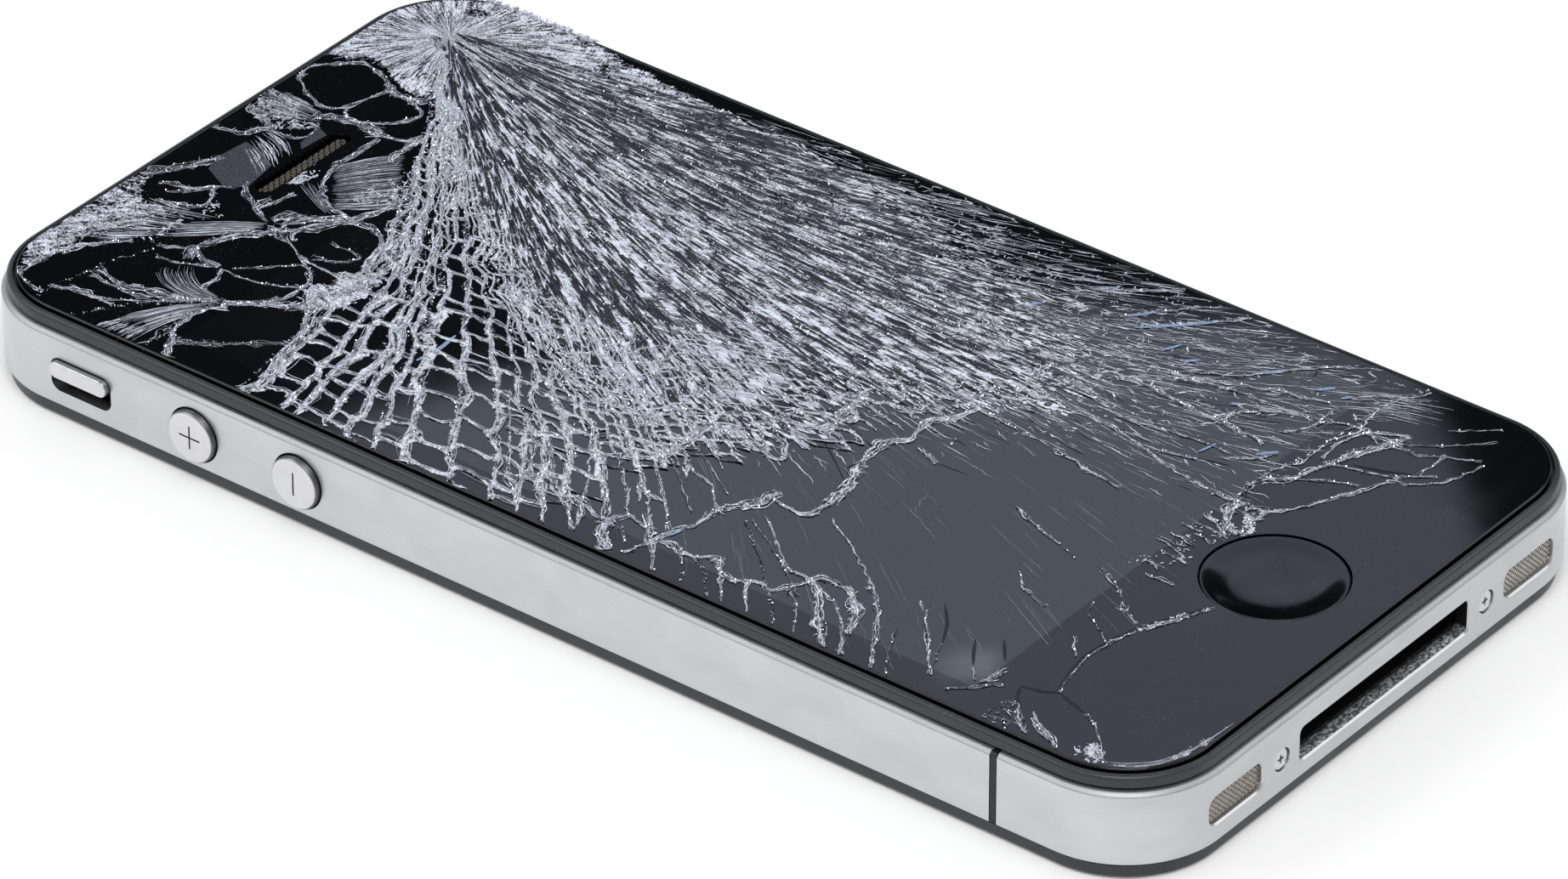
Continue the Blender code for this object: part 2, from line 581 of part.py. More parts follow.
# Cracks that part the large shards of the upper left, and the focus on the left edge
UPPER_LEFT_CRACKS = [
    [(-28.6, 50.3), (-26.4, 50.7), (-22.5, 50.1), (-20, 49.1), (-17.6, 48.2), (-16, 47)],
    [(-26.5, 50.7), (-26.4, 52.6), (-25.5, 54)],
    [(-28, 53), (-25.5, 54), (-23, 54), (-20.3, 52.8), (-18, 51.2), (-16.3, 49.3), (-15, 48.6)],
    [(-25.6, 50.6), (-24.9, 48.5), (-24.9, 46.6), (-20.5, 40.2), (-18, 36.9), (-16.3, 33.3)],
    [(-22.4, 50.1), (-22.9, 46.5), (-21.4, 44), (-21, 41)],
    [(-21.8, 50), (-21.6, 45), (-21, 41)],
    [(-28.6, 47.2), (-25, 45), (-22.3, 43.1)],
    [(-17.7, 48.2), (-17.4, 45.4), (-15.9, 42), (-15.8, 39), (-13.8, 35.3)],
    [(-15, 48.6), (-9, 43.4), (-5, 38.6), (-4.3, 37)],
    [(-16.5, 52), (-12.6, 48.6), (-8.6, 44.4)],
    [(-13.5, 51.5), (-10, 46.3), (-8.8, 43.6)],
    [(-17, 45), (-15.2, 45.5), (-12, 44.4), (-9.6, 42.2), (-10.2, 39.8), (-11.2, 37.6), (-11, 34)],
    [(-18.9, 40.4), (-16, 41), (-15.8, 39)],
    [(-18.9, 40.4), (-18.6, 38.2), (-16.4, 36), (-14.5, 35.2), (-12.4, 35.6), (-11.2, 37.6)],
    [(-19.4, 38.7), (-18.9, 40.4), (-19.2, 43), (-17.6, 45.8)],
    [(-18.9, 40.4), (-18.2, 43), (-16.6, 43.6)],
    [(-20.5, 40.2), (-20.4, 43.5), (-18.2, 46.6)],
    [(-10.2, 39.8), (-8.5, 40.1), (-6.3, 39.2), (-4.6, 37.6)],
    [(-11, 34), (-8.3, 32.9), (-6, 33.7), (-4.6, 35), (-4.3, 37)],
    [(-15.8, 34.5), (-14.5, 35.2)],
    [(-25.9, 37.2), (-24, 34.6), (-20.9, 31.4)],
    [(-10, 46.3), (-8.4, 45.2), (-5.8, 47.6), (-5.5, 49.5)],
    [(-8.6, 44.4), (-7, 43), (-6.4, 41), (-4.9, 39)],
    [(-11.4, 52.6), (-10.6, 50.2), (-8.6, 49.2), (-7, 50.2), (-9.6, 53.8), (-11.4, 52.6)],
    [(-9.6, 53.8), (-4.6, 52.6), (-7, 50.2)],
    [(-9.6, 53.8), (-8, 55.6), (-9, 57)],
    [(-4.6, 52.6), (-2.6, 53), (-2.3, 57)],
    [(-4.6, 52.6), (1, 52.4), (3, 50)],
    [(-5.5, 49.5), (-7, 50.2)],
    [(1, 52.4), (0.8, 57)],
    [(3, 49.6), (2.6, 52.6), (5, 53), (5.4, 50)],
    [(5, 53), (4.2, 57)],
    [(7, 50.2), (7.6, 53.4), (10.4, 56), (12.2, 55.6), (14.3, 53), (13.8, 51), (12.6, 48.6)],
    [(12.6, 48.6), (9.4, 49.4), (7, 50.2)],
    [(10.4, 56), (10.2, 57)],
    [(7.2, 49.9), (7.5, 47), (9, 45), (11.6, 43.8), (12.6, 46), (12.6, 48.6)],
    [(5.4, 50), (7, 50.2)],
    [(5.4, 50), (6.8, 47.6), (6, 45), (7.5, 47)],
    [(-3, 46.3), (0.6, 44.7), (3.2, 44.8), (6, 45)],
    [(-3, 46.3), (-3.6, 43), (-5, 39)],
    [(-0.6, 44.9), (-2.6, 42.6), (-3.4, 38.4), (-4.3, 37)],
    [(-4.3, 37), (-2, 37.8), (1.4, 38.6), (4, 40)],
    [(-1.5, 43.7), (1.2, 39.5)],
    [(0.6, 44.7), (1.8, 39.4)],
    [(2.8, 44.8), (2.9, 39.6)],
    [(4.6, 44.9), (4.2, 39.9)],
    [(6, 45), (6.6, 42), (4.6, 40.6)],
    [(9, 45), (7.6, 42.2), (6.6, 42)],
]

# Fine cracks that meet the left edge near its focus: a bundle between two edge heights
FOCUS = (-19.6, 38.8)
FOCUS_EDGE_HEIGHTS = (44.6, 43.3, 41.9, 40.6, 39.2, 37.2)
FOCUS_BEND_X = -24.2
FOCUS_BEND_LIFT = 0.9

# Seams that cross the fan, and the cracks round the home button and in the lower corners
SEAMS = [
    [(-17, 0.6), (-15.4, -1.5), (-10, -2), (-9.4, -3.1), (-4, -3), (0, -2.2)],
    [(-10.5, -6), (-8, -5), (-3, -4.9), (0.5, -5.4)],
    [(-27.6, -7.2), (-22.4, -8.7), (-17, -9.9), (-15.8, -11.2), (-13.4, -11.2)],
    [(-4.8, -10), (-3, -8.6), (0, -8.8), (3, -8)],
    [(-17, -10), (-15, -14.8), (-12.5, -15.1), (-8, -14.2), (-3.4, -13.2), (-1.4, -15), (2, -14.2)],
    [(2, -14.2), (4, -16), (7, -17.6), (10.4, -17.4), (12.6, -23.6), (17.4, -24.2), (18, -29)],
    [(-28.6, -26.6), (-25, -23.6), (-22.7, -22.3), (-22.4, -20.2)],
    [(-24.6, -19.3), (-20.7, -20.8), (-20.4, -22), (-22, -24.4), (-24.8, -26), (-28.6, -28.2)],
    [(11, -33.4), (13.8, -31.4), (18.5, -33), (21, -33), (23, -35.4), (26, -36.6), (28.6, -35.6)],
    [(10.8, -36.4), (13.4, -37), (15, -35.2), (19, -38), (21.8, -37.4), (24.6, -40.2), (28.6, -42)],
]
LOWER_CRACKS = [
    [(-24.6, -41.6), (-23.2, -41), (-22.4, -43.6), (-17, -42.5), (-13, -43), (-9, -45), (-5, -46.4)],
    [(-22.4, -43.6), (-22.5, -46.8), (-24.4, -49.8), (-27, -51.2), (-28.6, -50.6)],
    [(-28.6, -41), (-24.6, -41.6), (-26, -44), (-28.6, -45)],
    [(-27, -51.2), (-26.4, -54.6), (-25, -57)],
    [(0.4, -41.8), (3, -39.4), (8.6, -38.8), (10, -39.2), (12.4, -40.6), (14.6, -41.6), (15.6, -41)],
    [(3, -42.8), (6.5, -41), (6.3, -39.4)],
    [(14.6, -41.6), (15, -44.4), (15.6, -46.6), (17.4, -48.9), (19.4, -50.2), (22, -51)],
    [(15.6, -41), (16, -44), (17.6, -47.8), (21, -47.8)],
    [(15.6, -41), (17, -42.6), (20, -44), (20.4, -41.2), (17.4, -40.2), (15.6, -41)],
    [(20, -44), (19.8, -46.4), (20.6, -49.6), (22, -51), (23.6, -57)],
    [(20.4, -41.2), (22, -41), (25, -40.4), (28.6, -43)],
    [(20.2, -44.6), (25, -50.2), (28.6, -53)],
    [(22, -41), (24.6, -45.4), (28.6, -49)],
    [(9, -45), (12.4, -42), (13.8, -45.2), (15.6, -46.6)],
]

# A chain of small cells along the left edge
CHAIN_X = -25.1
CHAIN_WAVER = 0.9
CHAIN_SKEW = 1.6
CHAIN_TOP = 29.0
CHAIN_BOTTOM = -17.5
CHAIN_CELLS = 17

# Crushed patches: their x and y limits, and the size of their fragments
CRUSHED = [((-24.5, -10.5), (52.8, 57.0)), ((13.8, 28.6), (43.0, 57.0))]
CRUSHED_PITCH = 3.1
CRUSHED_JITTER = 0.34  # share of the pitch
SLIGHT_BEND = math.radians(12)  # a crack's bend below this is left out
CRACK_SEED = 5


def between(points, t):
    """The point at share t of a smooth curve through evenly spaced points."""
    place = t * (len(points) - 1)
    i = min(int(place), len(points) - 2)
    f = place - i
    near = [points[min(max(k, 0), len(points) - 1)] for k in range(i - 1, i + 3)]
    before, start, end, after = np.array(near)
    slope_in = (end - before) / 2
    slope_out = (after - start) / 2
    rise = f * f * (3 - 2 * f)
    return start + (end - start) * rise + slope_in * f * (1 - f) ** 2 - slope_out * f * f * (1 - f)


def fan_point(guide, t):
    """A point of the fan, at share t of the crack that lies at this place among the guides."""
    i = min(int(guide), len(FAN_GUIDES) - 2)
    return between(FAN_GUIDES[i], t) * (i + 1 - guide) + between(FAN_GUIDES[i + 1], t) * (guide - i)


def fan_cracks(random):
    """Rays, and the short cracks that tie each to the next at staggered places."""
    cracks = []
    count = (len(FAN_GUIDES) - 1) * RAYS_PER_GUIDE + 1
    spans = []
    for ray in range(count):
        guide = ray / RAYS_PER_GUIDE
        start = RAY_STARTS[ray % len(RAY_STARTS)]
        end = 1.0 if ray % RAYS_PER_GUIDE == 0 else DENSE_ENDS.get(int(guide), 1.0)
        shares = np.linspace(start, end, 9)
        cracks.append([tuple(fan_point(guide, t)) for t in shares])
        spans.append((guide, start, end))
    for (guide, start, end), (following, next_start, next_end) in zip(spans, spans[1:]):
        t = max(start, next_start)
        limit = min(end, next_end, DENSE_ENDS.get(int(guide), 1.0)) - 0.02
        while t < limit:
            skew = random.uniform(-0.02, 0.02)
            cracks.append([tuple(fan_point(guide, t)), tuple(fan_point(following, t + skew))])
            t += LINK_STEP * random.uniform(0.75, 1.3)
    return cracks


def focus_cracks():
    """A bundle of bowed cracks from the focus to the left edge."""
    cracks = []
    for height in FOCUS_EDGE_HEIGHTS:
        middle = (FOCUS_BEND_X, (height + FOCUS[1]) / 2 + FOCUS_BEND_LIFT)
        cracks.append([FOCUS, middle, (-MAP_REACH, height)])
    return cracks


def chain_cracks(random):
    """A wavering crack beside the left edge, tied to it by short cracks."""
    heights = np.linspace(CHAIN_TOP, CHAIN_BOTTOM, CHAIN_CELLS + 1)
    chain = [(CHAIN_X + random.uniform(-CHAIN_WAVER, CHAIN_WAVER), y) for y in heights]
    ties = [[(x, y), (-MAP_REACH, y + random.uniform(-CHAIN_SKEW, CHAIN_SKEW))] for x, y in chain]
    return [chain] + ties


def crushed_cracks(random):
    """A jittered net over each crushed patch."""
    cracks = []
    for (x0, x1), (y0, y1) in CRUSHED:
        columns = math.ceil((x1 - x0) / CRUSHED_PITCH)
        rows = math.ceil((y1 - y0) / CRUSHED_PITCH)
        xs, ys = np.meshgrid(np.linspace(x0, x1, columns + 1), np.linspace(y0, y1, rows + 1))
        xs += (x1 - x0) / columns * random.uniform(-CRUSHED_JITTER, CRUSHED_JITTER, xs.shape)
        ys += (y1 - y0) / rows * random.uniform(-CRUSHED_JITTER, CRUSHED_JITTER, ys.shape)
        cracks += [list(zip(*row)) for row in zip(xs, ys)]
        cracks += [list(zip(*column)) for column in zip(xs.T, ys.T)]
    return cracks


def crack_map():
    random = np.random.default_rng(CRACK_SEED)
    worked_out = fan_cracks(random) + focus_cracks() + chain_cracks(random) + crushed_cracks(random)
    return worked_out + UPPER_LEFT_CRACKS + SEAMS + LOWER_CRACKS


def shards(outline, holes):
    """The pane's plan parted along the crack map: a flat bmesh with one face for each shard."""
    to_map = (MAP_HALF_WIDTH / (half_width - GLASS_INSET), MAP_HALF_LENGTH / (half_length - GLASS_INSET))
    points, edges = [], []

    def add(line, closed):
        first = len(points)
        points.extend(Vector(p) for p in line)
        edges.extend((i, i + 1) for i in range(first, len(points) - 1))
        if closed:
            edges.append((len(points) - 1, first))

    rims = [[(x * to_map[0], y * to_map[1]) for x, y in rim] for rim in [outline] + holes]
    for rim in rims:
        add(rim, True)
    for crack in crack_map():
        add(crack, False)
    face = list(range(len(outline)))
    corners, _, cells, _, _, sources = delaunay_2d_cdt(points, edges, [face], 4, MAP_WELD)
    bm = bmesh.new()
    corners = [bm.verts.new((x / to_map[0], y / to_map[1], 0)) for x, y in corners]
    for cell, source in zip(cells, sources):
        flat = [corners[i].co for i in cell]
        triangle = [flat[i] for i in tessellate_polygon([flat])[0]]
        middle = sum(triangle, Vector()) / 3
        if source and not any(encloses(hole, middle) for hole in holes):
            bm.faces.new([corners[i] for i in cell])
    for corner in [c for c in bm.verts if not c.link_faces]:
        bm.verts.remove(corner)
    kinks = [c for c in bm.verts if len(c.link_edges) == 2 and c.calc_edge_angle(0) < SLIGHT_BEND]
    bmesh.ops.dissolve_verts(bm, verts=kinks)
    return bm


def encloses(outline, point):
    """Whether a point is inside an outline: an upward line from it crosses an odd number of sides."""
    crossings = 0
    for (x0, y0), (x1, y1) in zip(outline, outline[1:] + outline[:1]):
        if (x0 > point.x) != (x1 > point.x):
            crossings += y0 + (point.x - x0) * (y1 - y0) / (x1 - x0) > point.y
    return crossings % 2 == 1


def make_cover_glass():
    """One pane. Every shard keeps its own facet, a little out of level, above the open cracks."""
    home = moved(circle(HOME_DIAMETER / 2 + GAP, 28), 0, home_y)
    ear = moved(slot(EARPIECE_LENGTH + 2 * GAP, EARPIECE_HEIGHT + 2 * GAP, 4), 0, earpiece_y)
    bm = shards(within(GLASS_INSET), [home, ear])
    rim = [edge for edge in bm.edges if edge.is_boundary]
    skirt = bmesh.ops.extrude_edge_only(bm, edges=rim)["geom"]
    skirt_edges = [item for item in skirt if isinstance(item, bmesh.types.BMEdge)]
    low_edges = [edge for edge in skirt_edges if edge.is_boundary]
    low_corners = {corner for edge in low_edges for corner in edge.verts}
    tops = [f for f in bm.faces if not low_corners & set(f.verts)]
    crack_floor = BODY_THICKNESS - CRACK_DEPTH
    for corner in bm.verts:
        corner.co.z = glass_low if corner in low_corners else crack_floor
    bmesh.ops.triangle_fill(bm, use_beauty=True, edges=low_edges)
    random = np.random.default_rng(CRACK_SEED)
    for face in tops:
        breadth = 2 * face.calc_area() / face.calc_perimeter()
        if breadth < SLIVER_BREADTH:
            face.material_index = 1
            continue
        walls = bmesh.ops.inset_individual(bm, faces=[face], thickness=min(CRACK_HALF_WIDTH, 0.3 * breadth))
        for wall in walls["faces"]:
            wall.material_index = 1
        middle = face.calc_center_median()
        size = max((corner.co - middle).length for corner in face.verts)
        heading = random.uniform(0, 2 * math.pi)
        slope = SHARD_TILT * random.uniform(0.3, 1.0) / size
        lean = Vector((math.cos(heading), math.sin(heading), 0)) * slope
        for corner in face.verts:
            corner.co.z = BODY_THICKNESS - SHARD_TILT + lean.dot(corner.co - middle)
    bmesh.ops.recalc_face_normals(bm, faces=bm.faces)
    glass = put("cover_glass", bm, BLACK_GLASS)
    glass.data.materials.append(FRACTURE)


# Home button and earpiece
def make_home_button():
    radius = HOME_DIAMETER / 2
    top = BODY_THICKNESS - HOME_BELOW_GLASS
    profile = [
        (radius + HOME_FLANGE, home_flange_low),
        (radius + HOME_FLANGE, under_glass),
        (radius, under_glass),
        (radius, top - KEY_CHAMFER / 2),
        (radius - KEY_CHAMFER / 2, top),
    ]
    for share in (0.85, 0.6, 0.3):
        profile.append((radius * share, top - HOME_DISH * (1 - share * share)))
    put("home_button", turned(profile, (0, home_y), "Z", 28), BUTTON, (0, home_y, under_glass))
    high = home_flange_low - HOME_TRAVEL - GAP
    outline = rounded(HOME_BRACKET_WIDTH / 2, HOME_BRACKET_LENGTH / 2, HOME_BRACKET_LENGTH / 5, 3)
    bracket = prism(moved(outline, 0, home_y), high - HOME_BRACKET_THICKNESS, high)
    put("home_button_bracket", bracket, BRIGHT_STEEL)


def make_earpiece():
    base = slot(EARPIECE_LENGTH + 2 * MESH_LAP, EARPIECE_HEIGHT + 2 * MESH_LAP, 4)
    low = under_glass - MESH_THICKNESS
    mesh = put("earpiece_mesh", prism(moved(base, 0, earpiece_y), low, under_glass), BRIGHT_STEEL)
    raised = moved(slot(EARPIECE_LENGTH, EARPIECE_HEIGHT, 4), 0, earpiece_y)
    shape(mesh, prism(raised, low + MESH_THICKNESS / 2, BODY_THICKNESS - EARPIECE_RECESS), "UNION")
    outline = rounded(RECEIVER_WIDTH / 2, RECEIVER_LENGTH / 2, RECEIVER_LENGTH / 6, 3)
    high = low - GAP
    receiver = prism(moved(outline, 0, earpiece_y), high - RECEIVER_HEIGHT, high)
    put("earpiece_speaker", receiver, BLACK_PLASTIC)


# Display stack and mid plate
def make_display():
    half_a = half_width - SCREEN_FROM_SIDE
    half_b = half_length - (SCREEN_FROM_BOTTOM + SCREEN_FROM_TOP) / 2
    screen = moved(rounded(half_a, half_b, GAP, 2), 0, (SCREEN_FROM_BOTTOM - SCREEN_FROM_TOP) / 2)
    put("lcd_panel", prism(screen, lcd_low, under_glass), SCREEN)
    put("backlight_unit", prism(screen, backlight_low, backlight_high), BRIGHT_STEEL)


def make_mid_plate():
    """A steel sheet across the band, cut away on the left for the key bracket and switch seat."""
    corner = 2 * BAND_WALL
    middle = (plate_start + plate_end) / 2
    outline = moved(rounded(inside_x, (plate_end - plate_start) / 2, corner, 3), 0, middle)
    plate = put("mid_plate", prism(outline, plate_low, plate_high), STEEL)
    notch_x = GAP - (key_bracket_x - BRACKET_THICKNESS)
    notch_y = volume_down_y - BRACKET_MARGIN - GAP
    shape(plate, box(-half_width, notch_x, notch_y, half_length, plate_low - GAP, plate_high + GAP))


# Keys on the left side
def make_volume_key(name, key_y):
    """A turned steel key. Its flange, behind the band, keeps it in."""
    radius = KEY_DIAMETER / 2
    face = -half_width - KEY_PROUD
    profile = [
        (radius - KEY_CHAMFER, face),
        (radius, face + KEY_CHAMFER),
        (radius, -inside_x),
        (radius + KEY_FLANGE, -inside_x),
        (radius + KEY_FLANGE, KEY_FLANGE_THICKNESS - inside_x),
    ]
    put(name, turned(profile, (key_y, key_z), "X", 22), BRIGHT_STEEL, (-inside_x, key_y, key_z))


def make_volume_bracket():
    start = volume_down_y - BRACKET_MARGIN
    end = volume_up_y + BRACKET_MARGIN
    outline = rounded((end - start) / 2, BRACKET_HEIGHT / 2, BRACKET_THICKNESS, 3)
    outline = moved(outline, (start + end) / 2, key_z)
    bracket = prism(outline, -key_bracket_x, BRACKET_THICKNESS - key_bracket_x, "X")
    put("volume_bracket", bracket, BRIGHT_STEEL)


def make_ring_switch():
    """A steel lever across its slot, in the upper of its two places, on a slider behind the band."""
    half = SWITCH_SLOT_LENGTH / 2 - KEY_FIT
    lever = rounded(half, SWITCH_LEVER_HEIGHT / 2, SWITCH_SLOT_CORNER - KEY_FIT, 4)
    lever = moved(lever, switch_y, switch_z)
    body = prism(lever, -half_width - SWITCH_PROUD, KEY_FLANGE_THICKNESS / 2 - inside_x, "X")
    switch = put("ring_switch", body, BRIGHT_STEEL, (-inside_x, switch_y, switch_z))
    slider = rounded(SWITCH_SLOT_LENGTH / 2, SWITCH_LEVER_HEIGHT * 0.8, KEY_FIT, 2)
    slider = moved(slider, switch_y, switch_z)
    shape(switch, prism(slider, -inside_x, KEY_FLANGE_THICKNESS - inside_x, "X"), "UNION")
    half = SWITCH_SLOT_LENGTH / 2 + BRACKET_THICKNESS
    height = SWITCH_SLOT_HEIGHT / 2 + BRACKET_THICKNESS
    outline = moved(rounded(half, height, GAP, 2), switch_y, dock_z)
    seat = prism(outline, -key_bracket_x, BRACKET_THICKNESS - key_bracket_x, "X")
    put("ring_switch_seat", seat, BLACK_PLASTIC)


def make_sleep_button():
    outline = moved(slot(SLEEP_LENGTH, SLEEP_HEIGHT), sleep_x, band_middle)
    body = prism(outline, inside_y - KEY_FLANGE_THICKNESS / 2, half_length + KEY_PROUD, "Y")
    button = put("sleep_button", body, BRIGHT_STEEL, (sleep_x, inside_y, band_middle))
    flange = rounded(SLEEP_LENGTH / 2, SLEEP_HEIGHT / 2 + KEY_FLANGE, KEY_FLANGE, 2)
    flange = moved(flange, sleep_x, band_middle)
    shape(button, prism(flange, inside_y - KEY_FLANGE_THICKNESS, inside_y, "Y"), "UNION")
    high = inside_y - KEY_FLANGE_THICKNESS - KEY_TRAVEL - GAP
    outline = rounded(SLEEP_LENGTH / 2, BRACKET_HEIGHT / 2, BRACKET_THICKNESS, 3)
    bracket = prism(moved(outline, sleep_x, band_middle), high - BRACKET_THICKNESS, high, "Y")
    put("sleep_button_bracket", bracket, BRIGHT_STEEL)


# Bottom end
def make_dock():
    """A drawn steel shell behind the opening, and the contact tongue that enters it from behind."""
    half_a = DOCK_WIDTH / 2 + KEY_FIT
    half_b = DOCK_HEIGHT / 2 + KEY_FIT
    back = DOCK_DEPTH - inside_y
    wall = DOCK_SHELL_WALL
    outer = moved(rounded(half_a + wall, half_b + wall, DOCK_CORNER + wall, 2), 0, dock_z)
    inner = moved(rounded(half_a, half_b, DOCK_CORNER, 2), 0, dock_z)
    shell = put("dock_shell", prism(outer, -inside_y, back, "Y"), STEEL)
    shape(shell, prism(inner, -half_length, back - wall, "Y"))
    half_a = TONGUE_WIDTH / 2
    half_b = TONGUE_THICKNESS / 2
    fit = GAP / 2
    way = rectangle(-half_a - fit, half_a + fit, -half_b - fit, half_b + fit)
    shape(shell, prism(moved(way, 0, dock_z), back - 2 * wall, back + wall, "Y"))
    base = back + GAP
    blade = moved(rounded(half_a, half_b, KEY_FIT, 2), 0, dock_z)
    body = prism(blade, TONGUE_RECESS - inside_y, base + TONGUE_BASE / 2, "Y")
    tongue = put("dock_tongue", body, BLACK_PLASTIC)
    shape(tongue, prism(inner, base, base + TONGUE_BASE, "Y"), "UNION")


def make_screw(name, side_x):
    face = SCREW_RECESS - half_length
    under_head = face + SCREW_HEAD_THICKNESS
    head = SCREW_HEAD_DIAMETER / 2
    shank = SCREW_SHANK_DIAMETER / 2
    profile = [
        (head - KEY_FIT, face),
        (head, face + KEY_FIT),
        (head, under_head),
        (shank, under_head),
        (shank, face + SCREW_LENGTH - shank),
        (shank / 3, face + SCREW_LENGTH),
    ]
    screw = put(name, turned(profile, (side_x, dock_z), "Y", 12), BRIGHT_STEEL)
    long, narrow = SCREW_CROSS_LENGTH / 2, SCREW_CROSS_WIDTH / 2
    for half_a, half_b in ((long, narrow), (narrow, long)):
        arm = moved(rectangle(-half_a, half_a, -half_b, half_b), side_x, dock_z)
        shape(screw, prism(arm, face - GAP, face + SCREW_CROSS_DEPTH, "Y"))


def make_sound():
    """Meshes behind the two slots, with the microphone on the left and the speaker on the right."""
    lap = slot(grille_length + 2 * MESH_LAP, GRILLE_HEIGHT + 2 * MESH_LAP)
    for name, side in (("microphone_mesh", -1), ("speaker_mesh", 1)):
        outline = moved(lap, side * grille_x, dock_z)
        put(name, prism(outline, -inside_y, MESH_THICKNESS - inside_y, "Y"), BRIGHT_STEEL)
    start = MESH_THICKNESS + GAP - inside_y
    capsule = moved(rounded(MICROPHONE_WIDTH / 2, GRILLE_HEIGHT / 2, DOCK_CORNER, 3), -grille_x, dock_z)
    put("microphone", prism(capsule, start, start + MICROPHONE_DEPTH, "Y"), BLACK_PLASTIC)
    end = SPEAKER_LENGTH - inside_y
    block = box(speaker_x, half_width, start, end, toe_low, toe_high)
    speaker = put("speaker_module", block, BLACK_PLASTIC)
    shape(speaker, prism(within(BAND_WALL + GAP), 0, BODY_THICKNESS), "INTERSECT")


# Card tray
def make_tray():
    """A door that is flush with the band, and behind it a flat carrier with the card's pocket."""
    door = moved(slot(TRAY_DOOR_LENGTH, TRAY_DOOR_HEIGHT), TRAY_FROM_MIDDLE, tray_z)
    tray = put("sim_tray", prism(door, door_x, half_width, "X"), STEEL, (door_x, TRAY_FROM_MIDDLE, tray_z))
    low, high = TRAY_FROM_MIDDLE - TRAY_WIDTH / 2, TRAY_FROM_MIDDLE + TRAY_WIDTH / 2
    start = door_x - TRAY_REACH
    shape(tray, box(start, door_x + BAND_WALL / 2, low, high, tray_low, tray_high), "UNION")
    card_x = door_x - CARD_SETBACK
    low, high = TRAY_FROM_MIDDLE - CARD_WIDTH / 2, TRAY_FROM_MIDDLE + CARD_WIDTH / 2
    shape(tray, box(card_x - CARD_LENGTH, card_x, low, high, tray_low + TRAY_FLOOR, tray_high + GAP))
    pin_y = TRAY_FROM_MIDDLE - (TRAY_DOOR_LENGTH + TRAY_WIDTH) / 4
    pierce(tray, moved(circle(PIN_HOLE_DIAMETER / 2, 12), pin_y, tray_z), "+X")
    wall = READER_WALL
    low = TRAY_FROM_MIDDLE - TRAY_WIDTH / 2 - GAP
    high = TRAY_FROM_MIDDLE + TRAY_WIDTH / 2 + GAP
    case = box(reader_x, inside_x, low - wall, high + wall, reader_low, bay_high)
    reader = put("sim_reader", case, BRIGHT_STEEL)
    shape(reader, box(reader_x + wall, half_width, low, high, tray_low - GAP, tray_high + GAP))


# Top end
def make_jack():
    """A moulded body with a round collar that fills the hole in the band."""
    corner_x = abs(jack_x) + JACK_BODY / 2
    turn_x = half_width - CORNER_RADIUS
    bend = CORNER_RADIUS - BAND_WALL - GAP
    front = half_length - CORNER_RADIUS + math.sqrt(bend**2 - max(corner_x - turn_x, 0) ** 2)
    body = moved(rounded(JACK_BODY / 2, JACK_BODY / 2, DOCK_CORNER, 2), jack_x, band_middle)
    jack = put("headphone_jack", prism(body, inside_y - JACK_LENGTH, front, "Y"), BLACK_PLASTIC)
    centre = (jack_x, band_middle)
    collar = [(JACK_COLLAR / 2, front - GAP), (JACK_COLLAR / 2, half_length - WINDOW_RECESS)]
    shape(jack, turned(collar, centre, "Y"), "UNION")
    bore = [(JACK_BORE / 2, inside_y - JACK_LENGTH + JACK_END_WALL), (JACK_BORE / 2, half_length + GAP)]
    shape(jack, turned(bore, centre, "Y"))


def make_vibrator():
    """A can motor across the phone, and the half-round weight on its shaft."""
    axis = (motor_y, band_middle)
    end = motor_x + MOTOR_LENGTH
    can = [(MOTOR_DIAMETER / 2, motor_x), (MOTOR_DIAMETER / 2, end)]
    motor = put("vibration_motor", turned(can, axis, "X"), BRIGHT_STEEL)
    grip = end - MOTOR_SHAFT_GRIP
    shaft = MOTOR_SHAFT_DIAMETER / 2
    shape(motor, turned([(shaft + KEY_FIT, grip - KEY_FIT), (shaft + KEY_FIT, end + GAP)], axis, "X", 16))
    face = end + GAP
    half_disc = circle(WEIGHT_RADIUS)[10:] + [(WEIGHT_RADIUS, 0), (WEIGHT_RADIUS * 0.9, shaft)]
    half_disc.append((-WEIGHT_RADIUS * 0.9, shaft))
    body = prism(moved(half_disc, *axis), face, face + WEIGHT_LENGTH, "X")
    weight = put("vibration_weight", body, STEEL, (face, *axis))
    shape(weight, turned([(shaft, grip), (shaft, face + WEIGHT_LENGTH + GAP)], axis, "X", 16), "UNION")


# Cameras and flash
def make_rear_camera():
    """A square housing with a round bore, the barrel that focuses in it, and the window below."""
    half = CAMERA_HOUSING / 2
    centre = (camera_x, camera_y)
    housing = moved(rounded(half, half, BATTERY_EDGE, 3), *centre)
    camera = put("rear_camera", prism(housing, bay_low, bay_low + CAMERA_HEIGHT), BLACK_PLASTIC)
    radius = CAMERA_BARREL_DIAMETER / 2
    low = bay_low + CAMERA_FOCUS_TRAVEL
    high = low + CAMERA_BARREL_LENGTH
    shape(camera, turned([(radius + GAP, 0), (radius + GAP, high + GAP)], centre))
    barrel = [(radius * 0.5, low + GAP), (radius * 0.75, low), (radius, low), (radius, high)]
    put("rear_camera_barrel", turned(barrel, centre), BLACK_PLASTIC, (camera_x, camera_y, low))
    for name, lens_x, diameter in (
        ("rear_camera_window", camera_x, CAMERA_WINDOW_DIAMETER),
        ("flash_lens", flash_x, FLASH_DIAMETER),
    ):
        lens = [(diameter / 2, WINDOW_RECESS), (diameter / 2, BACK_PANEL_THICKNESS)]
        put(name, turned(lens, (lens_x, camera_y)), CLEAR_GLASS)


